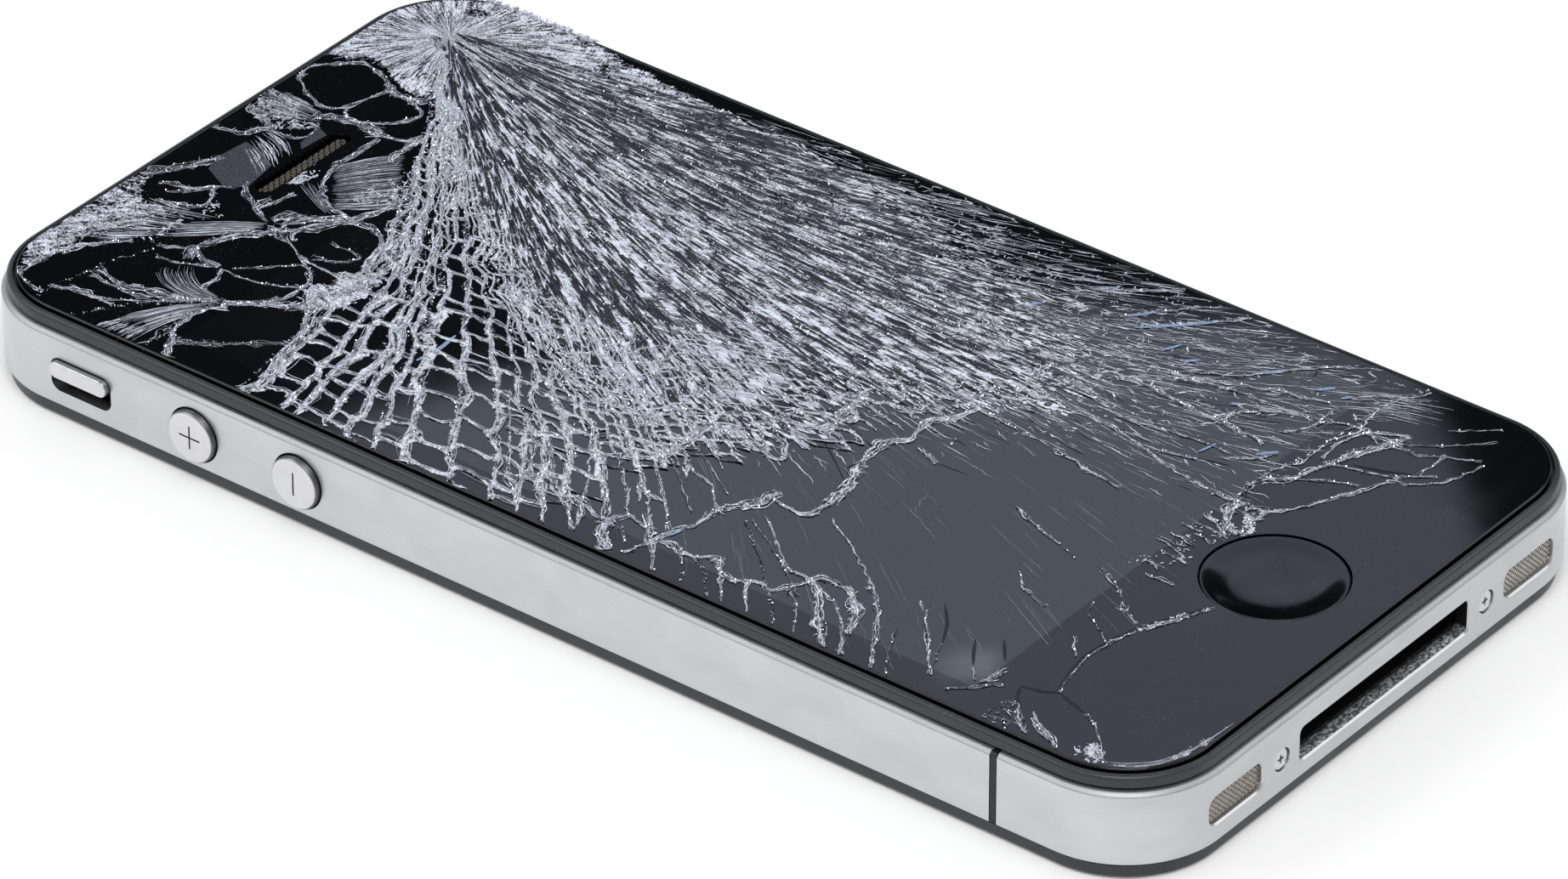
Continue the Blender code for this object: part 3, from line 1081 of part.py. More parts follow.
def make_front_camera():
    radius = FRONT_CAMERA_DIAMETER / 2
    low = under_glass - FRONT_CAMERA_HEIGHT
    profile = [
        (radius, low),
        (radius, under_glass - GAP),
        (radius * 0.8, under_glass),
        (radius * 0.4, under_glass),
        (radius * 0.2, under_glass - GAP),
    ]
    put("front_camera", turned(profile, (front_camera_x, earpiece_y), "Z", 16), BLACK_PLASTIC)


# Battery and logic board
def make_battery():
    half_a = (board_x - GAP + battery_x) / 2
    half_b = (bay_high - bay_low) / 2
    outline = moved(rounded(half_a, half_b, BATTERY_EDGE, 3), half_a - battery_x, bay_low + half_b)
    put("battery", prism(outline, plate_start, plate_end, "Y"), FOIL)


def make_logic_board():
    board = box(board_x, inside_x, plate_start, plate_end, board_high - BOARD_THICKNESS, board_high)
    put("logic_board", board, BOARD)
    low = board_high + GAP
    wall = SHIELD_WALL
    beside = TRAY_WIDTH / 2 + GAP + READER_WALL + GAP
    x0, x1 = board_x + SHIELD_MARGIN, inside_x - SHIELD_MARGIN
    for name, y0, y1 in (
        ("shield_can_upper", TRAY_FROM_MIDDLE + beside, plate_end - SHIELD_FROM_END),
        ("shield_can_lower", plate_start + SHIELD_FROM_END, TRAY_FROM_MIDDLE - beside),
    ):
        can = put(name, box(x0, x1, y0, y1, low, bay_high), BRIGHT_STEEL)
        shape(can, box(x0 + wall, x1 - wall, y0 + wall, y1 - wall, low - GAP, bay_high - wall))


make_band_left()
make_band_main()
make_inserts()
make_front_bezel()
make_back_bezel()
make_back_panel()
make_cover_glass()
make_home_button()
make_earpiece()
make_display()
make_mid_plate()
make_volume_key("volume_up_button", volume_up_y)
make_volume_key("volume_down_button", volume_down_y)
make_volume_bracket()
make_ring_switch()
make_sleep_button()
make_dock()
make_screw("bottom_screw_left", -screw_x)
make_screw("bottom_screw_right", screw_x)
make_sound()
make_tray()
make_jack()
make_vibrator()
make_rear_camera()
make_front_camera()
make_battery()
make_logic_board()
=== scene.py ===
# %% [markdown]
# # A shattered phone
#
# The CAD model gives every part of this phone its place and size. This notebook gives each one
# the surface that a close look shows: brushed steel, moulded plastic, woven wire, and above all
# a sheet of glass that was struck near one corner.
#
# The order is the order of the work: the camera first, because it settles how large a detail
# must be to show; then the studio, because metal and glass show mostly what stands round them;
# then the materials; then the body from the outside in; and the cracked glass last.

import math

import bmesh
import bpy
import numpy as np
from mathutils import Matrix, Vector


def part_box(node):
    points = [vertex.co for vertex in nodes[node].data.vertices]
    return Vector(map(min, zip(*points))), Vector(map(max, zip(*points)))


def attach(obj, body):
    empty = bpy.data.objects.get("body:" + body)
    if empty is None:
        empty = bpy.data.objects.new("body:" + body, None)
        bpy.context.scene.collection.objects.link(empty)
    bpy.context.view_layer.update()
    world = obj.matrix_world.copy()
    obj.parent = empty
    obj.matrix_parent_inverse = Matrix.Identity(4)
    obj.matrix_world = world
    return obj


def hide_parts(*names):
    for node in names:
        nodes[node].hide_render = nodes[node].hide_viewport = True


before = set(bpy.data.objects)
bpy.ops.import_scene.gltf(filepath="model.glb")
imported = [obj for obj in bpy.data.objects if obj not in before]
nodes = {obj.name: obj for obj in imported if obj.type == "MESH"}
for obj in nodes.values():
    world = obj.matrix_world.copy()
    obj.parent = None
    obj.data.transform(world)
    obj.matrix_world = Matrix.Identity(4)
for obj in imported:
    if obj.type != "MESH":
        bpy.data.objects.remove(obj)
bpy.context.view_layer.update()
scene = bpy.context.scene
scene.view_settings.view_transform = "Standard"
MM = 0.001

# %% [markdown]
# ## The camera
#
# A product photographer stands well back with a long lens, so that a small flat object keeps
# its parallel edges nearly parallel. The camera is placed by the direction that it looks from,
# its distance and the point that it looks at, and is then rolled by a tenth of a degree.

# %% Camera
AZIMUTH = math.radians(-51.814)
ELEVATION = math.radians(33.442)
ROLL = math.radians(-0.106)
DISTANCE = 802.9 * MM
TARGET = Vector((-2.307, -2.922, 4.65)) * MM

camera_data = bpy.data.cameras.new("camera")
camera_data.sensor_width = 36.0
camera_data.lens = 241.23
camera_data.clip_start = 0.05
camera = bpy.data.objects.new("camera", camera_data)
scene.collection.objects.link(camera)
flat = math.cos(ELEVATION)
backwards = Vector((math.sin(AZIMUTH) * flat, -math.cos(AZIMUTH) * flat, math.sin(ELEVATION)))
right = Vector((0, 0, 1)).cross(backwards).normalized()
up = backwards.cross(right)
rolled_right = right * math.cos(ROLL) + up * math.sin(ROLL)
rolled_up = up * math.cos(ROLL) - right * math.sin(ROLL)
turn = Matrix((rolled_right, rolled_up, backwards)).transposed()
camera.matrix_world = Matrix.Translation(TARGET + backwards * DISTANCE) @ turn.to_4x4()
scene.camera = camera
print("camera at", [round(c / MM, 1) for c in camera.location], "mm")

# %% [markdown]
# ## Helpers for shapes
#
# Almost every part of a phone is one of two things: a section carried round a rounded
# rectangle, such as a frame, or a stack of outlines, such as a key. Both are a grid of points,
# rows by columns, and a grid is quick to work out for all its points at once.

# %% Outlines
def rounded(half_a, half_b, radius, steps=16, along=1):
    """The outline of a rounded rectangle, counter-clockwise, as an array of flat points.

    A corner's point at angle w is the corner's centre plus radius times (cos w, sin w), with w
    going a quarter turn in each of the four corners. Between two corners, the straight side is
    divided in `along` equal parts."""
    angles = np.linspace(0, np.pi / 2, steps + 1)
    sides = np.array([(1, 1), (-1, 1), (-1, -1), (1, -1)])
    centres = sides * (np.array([half_a, half_b]) - radius)
    w = angles[None, :] + np.arange(4)[:, None] * np.pi / 2
    arcs = centres[:, None] + radius * np.stack([np.cos(w), np.sin(w)], -1)
    starts, ends = arcs[:, -1], np.roll(arcs[:, 0], -1, axis=0)
    shares = np.linspace(0, 1, along + 1)[1:-1]
    straights = starts[:, None] + (ends - starts)[:, None] * shares[None, :, None]
    return np.concatenate([arcs, straights], axis=1).reshape(-1, 2)


def stand(flat_points, heights, axis):
    """Flat points (a, b) at a height along an axis, as points in space: (a, b, h) for Z, (a, h, b)
    for Y and (h, a, b) for X."""
    a, b = flat_points[..., 0], flat_points[..., 1]
    h = np.broadcast_to(heights, a.shape)
    order = {"Z": (a, b, h), "Y": (a, h, b), "X": (h, a, b)}[axis]
    return np.stack(order, -1)


print("a rounded square has", len(rounded(1, 1, 0.2)), "points")


# %% Skins
def skin(rows, closed_rows=False, caps=True):
    """Points and faces of a skin through rows of points, an array of rows by columns by 3.

    Point (r, c) has the number r * columns + c, and each face joins it to the next column and
    the next row. Columns always close round. With closed_rows the last row meets the first, as
    in a ring, and otherwise caps close both ends."""
    count, columns = rows.shape[:2]
    r = np.arange(count if closed_rows else count - 1)[:, None]
    c = np.arange(columns)[None, :]
    after = (r + 1) % count
    beside = (c + 1) % columns
    pairs = ((r, c), (r, beside), (after, beside), (after, c))
    corners = [row * columns + column for row, column in pairs]
    faces = np.stack(np.broadcast_arrays(*corners), -1).reshape(-1, 4).tolist()
    if caps and not closed_rows:
        faces.append(list(range(columns))[::-1])
        faces.append(list(range((count - 1) * columns, count * columns)))
    return rows.reshape(-1, 3), faces


def outwards(mesh):
    """Turns all faces of closed bodies to face outwards."""
    bm = bmesh.new()
    bm.from_mesh(mesh)
    bmesh.ops.recalc_face_normals(bm, faces=bm.faces)
    bm.to_mesh(mesh)
    bm.free()


def build(name, points, faces, finish, smooth=30.0):
    """A mesh object from points in millimetres. Its normals are made to point outwards, and its
    faces blend into each other where they meet at less than `smooth` degrees."""
    mesh = bpy.data.meshes.new(name)
    mesh.from_pydata((np.asarray(points) * MM).tolist(), [], faces)
    mesh.validate()
    mesh.materials.append(finish)
    piece = bpy.data.objects.new(name, mesh)
    scene.collection.objects.link(piece)
    outwards(mesh)
    mesh.shade_smooth()
    mesh.set_sharp_from_angle(angle=math.radians(smooth))
    return piece


print("the skin of a cube has", len(skin(np.zeros((2, 4, 3)))[1]), "faces")


# %% Blocks, turned parts and wires
def pill(
    half_a, half_b, corner, low, high, edge, axis, centre=(0, 0), steps=16, edge_steps=4
):
    """Points and faces of a block with a rounded-rectangle outline and its edge at `high` rounded.

    Near `high` the outline shrinks by edge * (1 - cos w) while it rises by edge * sin w, with w
    from 0 to a quarter turn. `low` may be above `high`; the rounding is then on the lower side."""
    sign = 1 if high > low else -1
    w = np.linspace(0, np.pi / 2, edge_steps + 1)
    insets = np.concatenate([[0.0], edge * (1 - np.cos(w)), [edge * 1.2 + 0.01]])
    heights = np.concatenate([[low], high - sign * edge * (1 - np.sin(w)), [high]])
    rows = []
    for inset, height in zip(insets, heights):
        ring = rounded(half_a - inset, half_b - inset, max(corner - inset, 0.01), steps)
        rows.append(stand(ring + np.array(centre), height, axis))
    return skin(np.array(rows))


def turned(profile, centre, axis, steps=64, hoop=False):
    """Points and faces of a profile of (radius, height) pairs turned round an axis: at angle w the
    point is the centre plus radius times (cos w, sin w). The profile of a hoop is a closed one."""
    w = np.linspace(0, 2 * np.pi, steps, endpoint=False)
    circle = np.stack([np.cos(w), np.sin(w)], -1)
    rows = [stand(circle * radius + np.array(centre), height, axis) for radius, height in profile]
    return skin(np.array(rows), closed_rows=hoop)


def joined(*bodies):
    """Several (points, faces) bodies as one."""
    points, faces, first = [], [], 0
    for body_points, body_faces in bodies:
        points.append(body_points)
        faces.extend([[i + first for i in face] for face in body_faces])
        first += len(body_points)
    return np.concatenate(points), faces


def tubes(paths, radius, sides=8):
    """Points and faces of round wires. Paths is an array of wires by points by 3.

    Each point of a wire gets a ring of points in the plane across the wire: radius times
    (cos w of one unit vector across plus sin w of the other)."""
    along = np.gradient(paths, axis=1)
    along /= np.linalg.norm(along, axis=2, keepdims=True)
    helper = np.where(np.abs(along[..., 2:]) > 0.9, [[[1.0, 0, 0]]], [[[0, 0, 1.0]]])
    across = np.cross(along, helper)
    across /= np.linalg.norm(across, axis=2, keepdims=True)
    other = np.cross(along, across)
    w = np.linspace(0, 2 * np.pi, sides, endpoint=False)
    spokes = across[:, :, None] * np.cos(w)[:, None] + other[:, :, None] * np.sin(w)[:, None]
    rings = paths[:, :, None] + radius * spokes
    return joined(*[skin(wire) for wire in rings])


print("a small block has", len(pill(1, 1, 0.2, 0, 1, 0.1, "Z")[1]), "faces")


# %% Cutting and softening
def cut(piece, points, faces, operation="DIFFERENCE", finish=None):
    """Cuts a closed body out of a piece, or keeps only what they share. The cut faces take
    `finish` if one is given."""
    mesh = bpy.data.meshes.new("cutter")
    mesh.from_pydata((np.asarray(points) * MM).tolist(), [], faces)
    outwards(mesh)
    cutter = bpy.data.objects.new("cutter", mesh)
    scene.collection.objects.link(cutter)
    if finish is not None:
        mesh.materials.append(finish)
    modifier = piece.modifiers.new("cut", "BOOLEAN")
    modifier.operation = operation
    modifier.solver = "EXACT"
    modifier.object = cutter
    if finish is not None:
        modifier.material_mode = "TRANSFER"
    settle(piece)
    bpy.data.objects.remove(cutter)


def settle(piece):
    """Writes a piece's modifiers into its mesh."""
    view = bpy.context.evaluated_depsgraph_get()
    mesh = bpy.data.meshes.new_from_object(piece.evaluated_get(view), depsgraph=view)
    piece.modifiers.clear()
    piece.data = mesh
    mesh.name = piece.name


def soften(piece, width, segments=2, angle=35.0):
    """Rounds a piece's sharp edges by a width in millimetres, as a deburred or moulded edge is."""
    modifier = piece.modifiers.new("edge", "BEVEL")
    modifier.width = width * MM
    modifier.segments = segments
    modifier.limit_method = "ANGLE"
    modifier.angle_limit = math.radians(angle)
    modifier.harden_normals = True
    settle(piece)


# %% Handing a piece over
def own(piece, body, slot, *stands_for):
    """Hands a finished piece to the body that it moves with and the CAD nodes it stands for."""
    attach(piece, body)
    if stands_for:
        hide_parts(*stands_for)
    print(piece.name, "on", body, "has", len(piece.data.polygons), "faces")
    return piece


def refined(node, finish, edge, body, slot, angle=35.0):
    """A CAD node's own shape with its edges rounded: the copy's doubled corner points are merged
    first, so that the faces know their neighbours."""
    mesh = nodes[node].data.copy()
    bm = bmesh.new()
    bm.from_mesh(mesh)
    bmesh.ops.remove_doubles(bm, verts=bm.verts, dist=0.0005 * MM)
    bmesh.ops.dissolve_limit(bm, angle_limit=math.radians(0.5), verts=bm.verts, edges=bm.edges)
    bm.to_mesh(mesh)
    bm.free()
    mesh.materials.clear()
    mesh.materials.append(finish)
    if mesh.has_custom_normals:
        mesh.normals_split_custom_set([(0, 0, 0)] * len(mesh.loops))
    piece = bpy.data.objects.new(node + "_finished", mesh)
    scene.collection.objects.link(piece)
    mesh.shade_smooth()
    mesh.set_sharp_from_angle(angle=math.radians(angle))
    if edge:
        soften(piece, edge, 2, angle)
    return own(piece, body, slot, node)


# %% [markdown]
# ## Helpers for materials
#
# Colours are written as a designer reads them off a screen, as sRGB hex, and are turned into
# the linear light that the renderer adds up. Patterns are noise over the object's own
# coordinates. Their sizes are real ones in millimetres, so that a speck of dust is as large on
# the bezel as on the dock.

# %% Colours and nodes
def linear(hex_colour):
    """An sRGB colour as linear light: ((c + 0.055) / 1.055) to the power 2.4 above 0.04."""
    channels = [int(hex_colour[i : i + 2], 16) / 255 for i in (1, 3, 5)]
    light = [c / 12.92 if c < 0.04045 else ((c + 0.055) / 1.055) ** 2.4 for c in channels]
    return (*light, 1.0)


def start(name, colour="#808080", roughness=0.5, metallic=0.0):
    """A material with its Principled shader, set to plain values."""
    made = bpy.data.materials.new(name)
    made.use_nodes = True
    shader = made.node_tree.nodes["Principled BSDF"]
    shader.inputs["Base Color"].default_value = linear(colour)
    shader.inputs["Roughness"].default_value = roughness
    shader.inputs["Metallic"].default_value = metallic
    return made, shader


def plug(material, socket, value):
    """Sets a socket to a constant, or links it to a node or to one of its outputs."""
    if isinstance(value, bpy.types.Node):
        value = value.outputs[0]
    if isinstance(value, bpy.types.NodeSocket):
        material.node_tree.links.new(socket, value)
    else:
        socket.default_value = value


def add(material, kind, sockets=(), **settings):
    """Adds one node with its settings, and fills its sockets: a list gives them in their order, a
    dict by name or number."""
    node = material.node_tree.nodes.new("ShaderNode" + kind)
    for name, value in settings.items():
        setattr(node, name, value)
    sockets = sockets if isinstance(sockets, dict) else dict(enumerate(sockets))
    for name, value in sockets.items():
        plug(material, node.inputs[name], value)
    return node


def axes_of(material):
    """The object's own coordinates in metres, one output for each axis."""
    source = add(material, "TexCoord")
    return add(material, "SeparateXYZ", [source.outputs["Object"]]).outputs


def grain(material, size, detail=2.0, distortion=0.0):
    """Smooth noise from 0 to 1, with features of about these sizes in millimetres: the object's
    coordinates are counted in steps of the sizes first."""
    source = add(material, "TexCoord").outputs["Object"]
    steps = tuple(1 / (s * MM) for s in size)
    counted = add(material, "Mapping", {"Vector": source, "Scale": steps})
    sockets = {"Vector": counted, "Scale": 1.0, "Detail": detail, "Distortion": distortion}
    return add(material, "TexNoise", sockets)


print("middle grey is", round(linear("#808080")[0], 3), "as light")


# %% [markdown]
# ## The studio
#
# A phone like this is photographed on white paper between large soft lamps. The steel sides
# face down at the paper and so show it as a bright even grey. The glass faces up and away from
# the camera, and mirrors what stands behind the phone: part of it a pale panel, the rest the
# dark of the room. The panel's shape is worked out by mirroring the camera in the glass: a ray
# from the mirrored camera through a point of the glass meets the panel where that point shows
# it. With the panel twice as far from the mirrored camera as the glass is, a point (x, y) of the
# glass shows the panel's point (2x - cx, 2y - cy), where (cx, cy) is the camera's place.
#
# The panels are seen by mirror rays only: they light nothing and shade nothing.

# %% Paper and lamps
GLASS_TOP = 9.3


def studio_paper():
    """White paper with a faint fibre. Seen directly or in a mirror it glows a little, a painted
    light;
    in mirrors beyond the phone's bottom end it glows less, a painted shade in the steel there."""
    material, shader = start("studio paper", "#f2f2f2", 0.85)
    white = linear("#f2f2f2")
    fibre = add(material, "MapRange", [grain(material, (0.8, 0.8, 0.8)), 0.3, 0.7, 0.97, 1.0])
    tone = add(
        material, "Mix", {0: 1.0, 6: white, 7: fibre}, data_type="RGBA", blend_type="MULTIPLY",
    )
    plug(material, shader.inputs["Base Color"], tone.outputs[2])
    shader.inputs["Emission Color"].default_value = (1, 1, 1, 1)
    ray = add(material, "LightPath").outputs
    # Painted shade: beyond the bottom end the mirrored glow falls to a fifth, darkening the steel
    near = add(material, "MapRange", [axes_of(material)["Y"], -70 * MM, -52 * MM, 0.2, 1.0])
    mirrored = add(material, "Math", [ray["Is Glossy Ray"], near], operation="MULTIPLY")
    seen = add(material, "Math", [ray["Is Camera Ray"], mirrored], operation="MAXIMUM")
    glow = add(material, "MapRange", [seen, 0, 1, 0.0, 0.14])
    plug(material, shader.inputs["Emission Strength"], glow)
    return material


paper_points = rounded(2500, 2500, 400, 8)
paper = build(
    "paper", stand(paper_points, -0.02, "Z"), [list(range(len(paper_points)))], studio_paper(),
)


def lamp(name, direction, distance, size, power, colour="#ffffff"):
    """A square soft lamp that faces the phone from a direction, at a distance in metres."""
    data = bpy.data.lights.new(name, "AREA")
    data.shape = "SQUARE"
    data.size = size
    data.energy = power
    data.color = linear(colour)[:3]
    light = bpy.data.objects.new(name, data)
    scene.collection.objects.link(light)
    towards = Vector(direction).normalized()
    light.location = towards * distance
    light.rotation_euler = towards.to_track_quat("Z", "Y").to_euler()
    return light


lamp("key lamp", (-0.43, -0.34, 0.83), 1.0, 0.60, 5.0)
lamp("side lamp", (0.75, -0.60, 0.75), 1.1, 0.70, 2.1)
lamp("back lamp", (-0.55, 0.80, 0.80), 1.1, 0.70, 3.2)

world = bpy.data.worlds.new("white tent")
scene.world = world
world.use_nodes = True
air = world.node_tree.nodes["Background"]
air.inputs["Color"].default_value = (1.0, 1.0, 1.0, 1.0)
direct = add(world, "LightPath").outputs["Is Camera Ray"]
plug(world, air.inputs["Strength"], add(world, "MapRange", [direct, 0, 1, 0.42, 1.0]))
print("lamps:", len(bpy.data.lights))


# %% Helpers for the panels
def inside_by(points, polygon):
    """How far inside a polygon each flat point lies, in millimetres; negative outside.

    The distance is to the nearest side. A point is inside if a line from it upwards crosses an
    odd number of sides."""
    starts = np.array(polygon, float)
    ends = np.roll(starts, -1, axis=0)
    sides = ends - starts
    offsets = points[:, None] - starts[None]
    share = np.clip((offsets * sides).sum(-1) / (sides**2).sum(-1), 0, 1)
    gaps = np.linalg.norm(offsets - share[..., None] * sides, axis=-1).min(1)
    px, py = points[:, :1], points[:, 1:]
    spans = (starts[:, 0] > px) != (ends[:, 0] > px)
    with np.errstate(divide="ignore", invalid="ignore"):
        meets = starts[:, 1] + (px - starts[:, 0]) * sides[:, 1] / sides[:, 0]
    crossings = (spans & (meets > py)).sum(1)
    return np.where(crossings % 2 == 1, gaps, -gaps)


def grid(x0, x1, y0, y1, step):
    """A flat grid of points, and its faces."""
    xs, ys = np.arange(x0, x1 + step / 2, step), np.arange(y0, y1 + step / 2, step)
    points = np.stack(np.meshgrid(xs, ys), -1)
    rows, columns = points.shape[:2]
    first = (np.arange(rows - 1)[:, None] * columns + np.arange(columns - 1)).reshape(-1, 1)
    faces = first + np.array([0, 1, columns + 1, columns])
    return points.reshape(-1, 2), faces.tolist()


print("a square of two steps has", len(grid(0, 1, 0, 1, 0.5)[0]), "points")

# %% The panel behind the phone
PANEL_COLOUR = "#d5dff2"


def glowing(name, points, faces, glow):
    """A panel that mirror rays see, with a glow for each of its points."""
    material = bpy.data.materials.new(name)
    material.use_nodes = True
    tree = material.node_tree
    tree.nodes.clear()
    level = add(material, "Attribute", attribute_name="glow").outputs["Fac"]
    light = add(material, "Emission", {"Color": linear(PANEL_COLOUR), "Strength": level})
    add(material, "OutputMaterial", {"Surface": light})
    mesh = bpy.data.meshes.new(name)
    mesh.from_pydata((points * MM).tolist(), [], faces)
    attribute = mesh.attributes.new("glow", "FLOAT", "POINT")
    attribute.data.foreach_set("value", np.asarray(glow, np.float32))
    mesh.materials.append(material)
    panel = bpy.data.objects.new(name, mesh)
    scene.collection.objects.link(panel)
    panel.visible_camera = False
    panel.visible_diffuse = False
    panel.visible_shadow = False
    panel.visible_transmission = False
    return panel


PALE_PART = [
    (-210, 30), (-29, 22), (-8, 11.5), (9, 5), (16, -1), (20, -12), (24, -21), (29, -26.5),
    (33, -28), (34, -34.5), (13, -57), (8, -63), (20, -210), (-210, -210),
]
BLACK_PART = [(36, -6), (60, 200), (210, 210), (210, -210), (20, -210), (12, -75), (36, -64)]
PANEL_HALF, PANEL_STEP, BLUR = 210, 1.5, 3.0
DIM, BRIGHT = 0.05, 1.03
plan_points, plan_faces = grid(-PANEL_HALF, PANEL_HALF, -PANEL_HALF, PANEL_HALF, PANEL_STEP)
pale = np.clip(inside_by(plan_points, PALE_PART) / BLUR + 0.5, 0, 1)
pale = pale * pale * (3 - 2 * pale)
black = np.clip(inside_by(plan_points, BLACK_PART) / BLUR + 0.5, 0, 1)
glow = (DIM + BRIGHT * pale) * (1 - black)
eye = np.array(camera.location.xy) / MM
height = camera.location.z / MM
glowing("panel behind", stand(2 * plan_points - eye, height, "Z"), plan_faces, glow)
print("panel at", round(float(height)), "mm up")

# %% A small window and a low wall
# The bright window hangs just below the panel, and a corner of the glass mirrors it
SMALL_WINDOW = np.array([
    (-26.3, -35.7), (-25.2, -35.2), (-23.4, -35.8), (-22.0, -37.0), (-21.0, -38.3), (-23.8, -38.5),
    (-24.4, -37.4),
])
window_corners = list(range(len(SMALL_WINDOW)))
pane_of_light = stand(2 * SMALL_WINDOW - eye, height - 1, "Z")
glowing("small window", pane_of_light, [window_corners], np.full(len(SMALL_WINDOW), 3.0))

# The wall stands far behind the phone and is pale only at its left end
LOW_HALF, LOW_HEIGHT, LOW_STEP, LOW_DISTANCE = 900, 480, 30, 1150
low_points, low_faces = grid(-LOW_HALF, LOW_HALF, 0, LOW_HEIGHT, LOW_STEP)
across_view = np.array([math.cos(AZIMUTH), math.sin(AZIMUTH)])
away = np.array([-math.sin(AZIMUTH), math.cos(AZIMUTH)])
low_plan = low_points[:, :1] * across_view + LOW_DISTANCE * away
low_panel = np.concatenate([low_plan, low_points[:, 1:]], 1)
low_glow = 1.08 * np.clip(-low_points[:, 0] / 100 - 0.8, 0, 1)
glowing("low wall", low_panel, low_faces, low_glow)
print("low wall", LOW_DISTANCE, "mm away")

# %% [markdown]
# ## Materials
#
# Each is named by what the real one is, with how its surface was made. Steel that was brushed
# has fine lines along the brush's path, which on the band runs round the phone, so the noise is
# long across the plan and very short in height. Moulded plastic takes the mould's fine spark
# texture. Both gather dust and finger marks, which show as patches of another roughness.

# %% Metals
def steel(
    name, colour, low_rough, high_rough, line=(3.0, 3.0, 0.05), mark=6.0, dull=0.06, edge=None,
    shade_tone=0.5,
):
    """Steel: brushed lines of this size in millimetres, and finger marks of another. An edge is
    an axis and two places on it, in millimetres: from the first to the second the metal turns
    darker, to this share, a painted shade, and duller."""
    material, shader = start(name, colour, low_rough, 1.0)
    base = linear(colour)
    duller = tuple(c * (1 - dull * 2) for c in base[:3]) + (1.0,)
    lines = grain(material, line, 3.0)
    marks = grain(material, (mark, mark, mark * 0.5), 3.0, 0.5)
    smear = add(material, "MapRange", [marks, 0.35, 0.7])
    tone = add(material, "MapRange", [lines, 0.3, 0.7, 0.0, 0.45])
    smeared = add(material, "Math", [smear, 0.55], operation="MULTIPLY")
    tone = add(material, "Math", [tone, smeared], operation="ADD")
    shown = add(material, "Mix", {0: tone, 6: base, 7: duller}, data_type="RGBA").outputs[2]
    rough = add(material, "MapRange", [lines, 0.25, 0.75, low_rough, high_rough])
    smeared = add(material, "Math", [smear, 0.05], operation="MULTIPLY")
    rough = add(material, "Math", [rough, smeared], operation="ADD")
    if edge:
        axis, begins, ends = edge
        # Painted shade: from the edge's second place on, the colour darkens to the given share of
        # its own
        shaded = add(material, "MapRange", [axes_of(material)[axis], begins * MM, ends * MM])
        dark = tuple(c * shade_tone for c in base[:3]) + (1.0,)
        shown = add(material, "Mix", {0: shaded, 6: shown, 7: dark}, data_type="RGBA").outputs[2]
        shaded = add(material, "Math", [shaded, 0.20], operation="MULTIPLY")
        rough = add(material, "Math", [rough, shaded], operation="ADD")
    plug(material, shader.inputs["Base Color"], shown)
    plug(material, shader.inputs["Roughness"], rough)
    bump = add(material, "Bump", {"Height": lines, "Distance": 0.002 * MM, "Strength": 0.35})
    plug(material, shader.inputs["Normal"], bump)
    return material


POLISHED = steel("polished stainless steel", "#dddddf", 0.12, 0.18, (0.8, 0.8, 0.8), 3.0, 0.04)
SHEET_STEEL = steel("nickel-plated steel sheet", "#c6c4bd", 0.22, 0.32, (0.3, 4.0, 4.0), 5.0)
WIRE = steel("woven steel wire", "#d6d3cc", 0.25, 0.35, (0.1, 0.1, 0.1), 1.2, 0.12)
DUSTY_WIRE = steel(
    "woven steel wire full of dust", "#d3cdc4", 0.35, 0.45, (0.1, 0.1, 0.1), 0.8, 0.2,
)
EAR_WIRE = steel("woven wire worn dull", "#8f877d", 0.3, 0.4, (0.1, 0.1, 0.1), 0.8, 0.2)
print("materials so far:", len(bpy.data.materials))


# %% Plastics, boards and foil
def moulded(name, colour, rough, texture=0.08, depth=0.004, dust=0.25, dust_colour="#8d8c88"):
    """Moulded plastic with the mould's fine texture and a thin fall of dust. The texture's size
    and depth are in millimetres."""
    material, shader = start(name, colour, rough)
    spark = grain(material, (texture, texture, texture), 2.0)
    worn = grain(material, (4.0, 4.0, 2.0), 4.0, 0.3)
    fluff = add(material, "MapRange", [grain(material, (0.22, 0.22, 0.22), 4.0), 0.5, 0.75])
    film = add(material, "MapRange", [worn, 0.5, 0.8])
    film = add(material, "Math", [film, fluff], operation="MULTIPLY")
    film = add(material, "Math", [film, dust], operation="MULTIPLY")
    colours = {0: film, 6: linear(colour), 7: linear(dust_colour)}
    shown = add(material, "Mix", colours, data_type="RGBA").outputs[2]
    plug(material, shader.inputs["Base Color"], shown)
    rough = add(material, "MapRange", [worn, 0.3, 0.7, rough - 0.05, rough + 0.08])
    plug(material, shader.inputs["Roughness"], rough)
    bump = add(material, "Bump", {"Height": spark, "Distance": depth * MM, "Strength": 0.5})
    plug(material, shader.inputs["Normal"], bump)
    return material


BEZEL = moulded("satin moulded polycarbonate", "#2b2d30", 0.36)
INSERT = moulded("glass-filled nylon insert", "#0e0f11", 0.5, dust=0.4)
MOULDING = moulded("moulded black nylon", "#16171a", 0.5, dust=0.35)
ACRYLIC = moulded("polished acrylic", "#0b0c0e", 0.09, texture=0.5, depth=0.0006, dust=0.06)
LAMINATE = moulded(
    "green solder mask on glass laminate", "#123a23", 0.35, texture=1.2, depth=0.03, dust=0.1,
)
FILM_WRAP = moulded("black battery film", "#17181b", 0.3, texture=3.0, depth=0.05, dust=0.1)
PANEL_GLASS = moulded(
    "black-backed glass panel", "#050607", 0.06, texture=2.0, depth=0.0004, dust=0.1,
)
LENS = moulded("coated lens glass", "#07080f", 0.04, texture=1.0, depth=0.0003, dust=0.05)
DISPLAY = moulded("liquid crystal panel", "#0a0b0e", 0.2, texture=0.3, depth=0.001, dust=0.02)
FLASH = moulded("moulded flash lens", "#b8b48f", 0.18, texture=0.4, depth=0.03, dust=0.05)
print("materials so far:", len(bpy.data.materials))

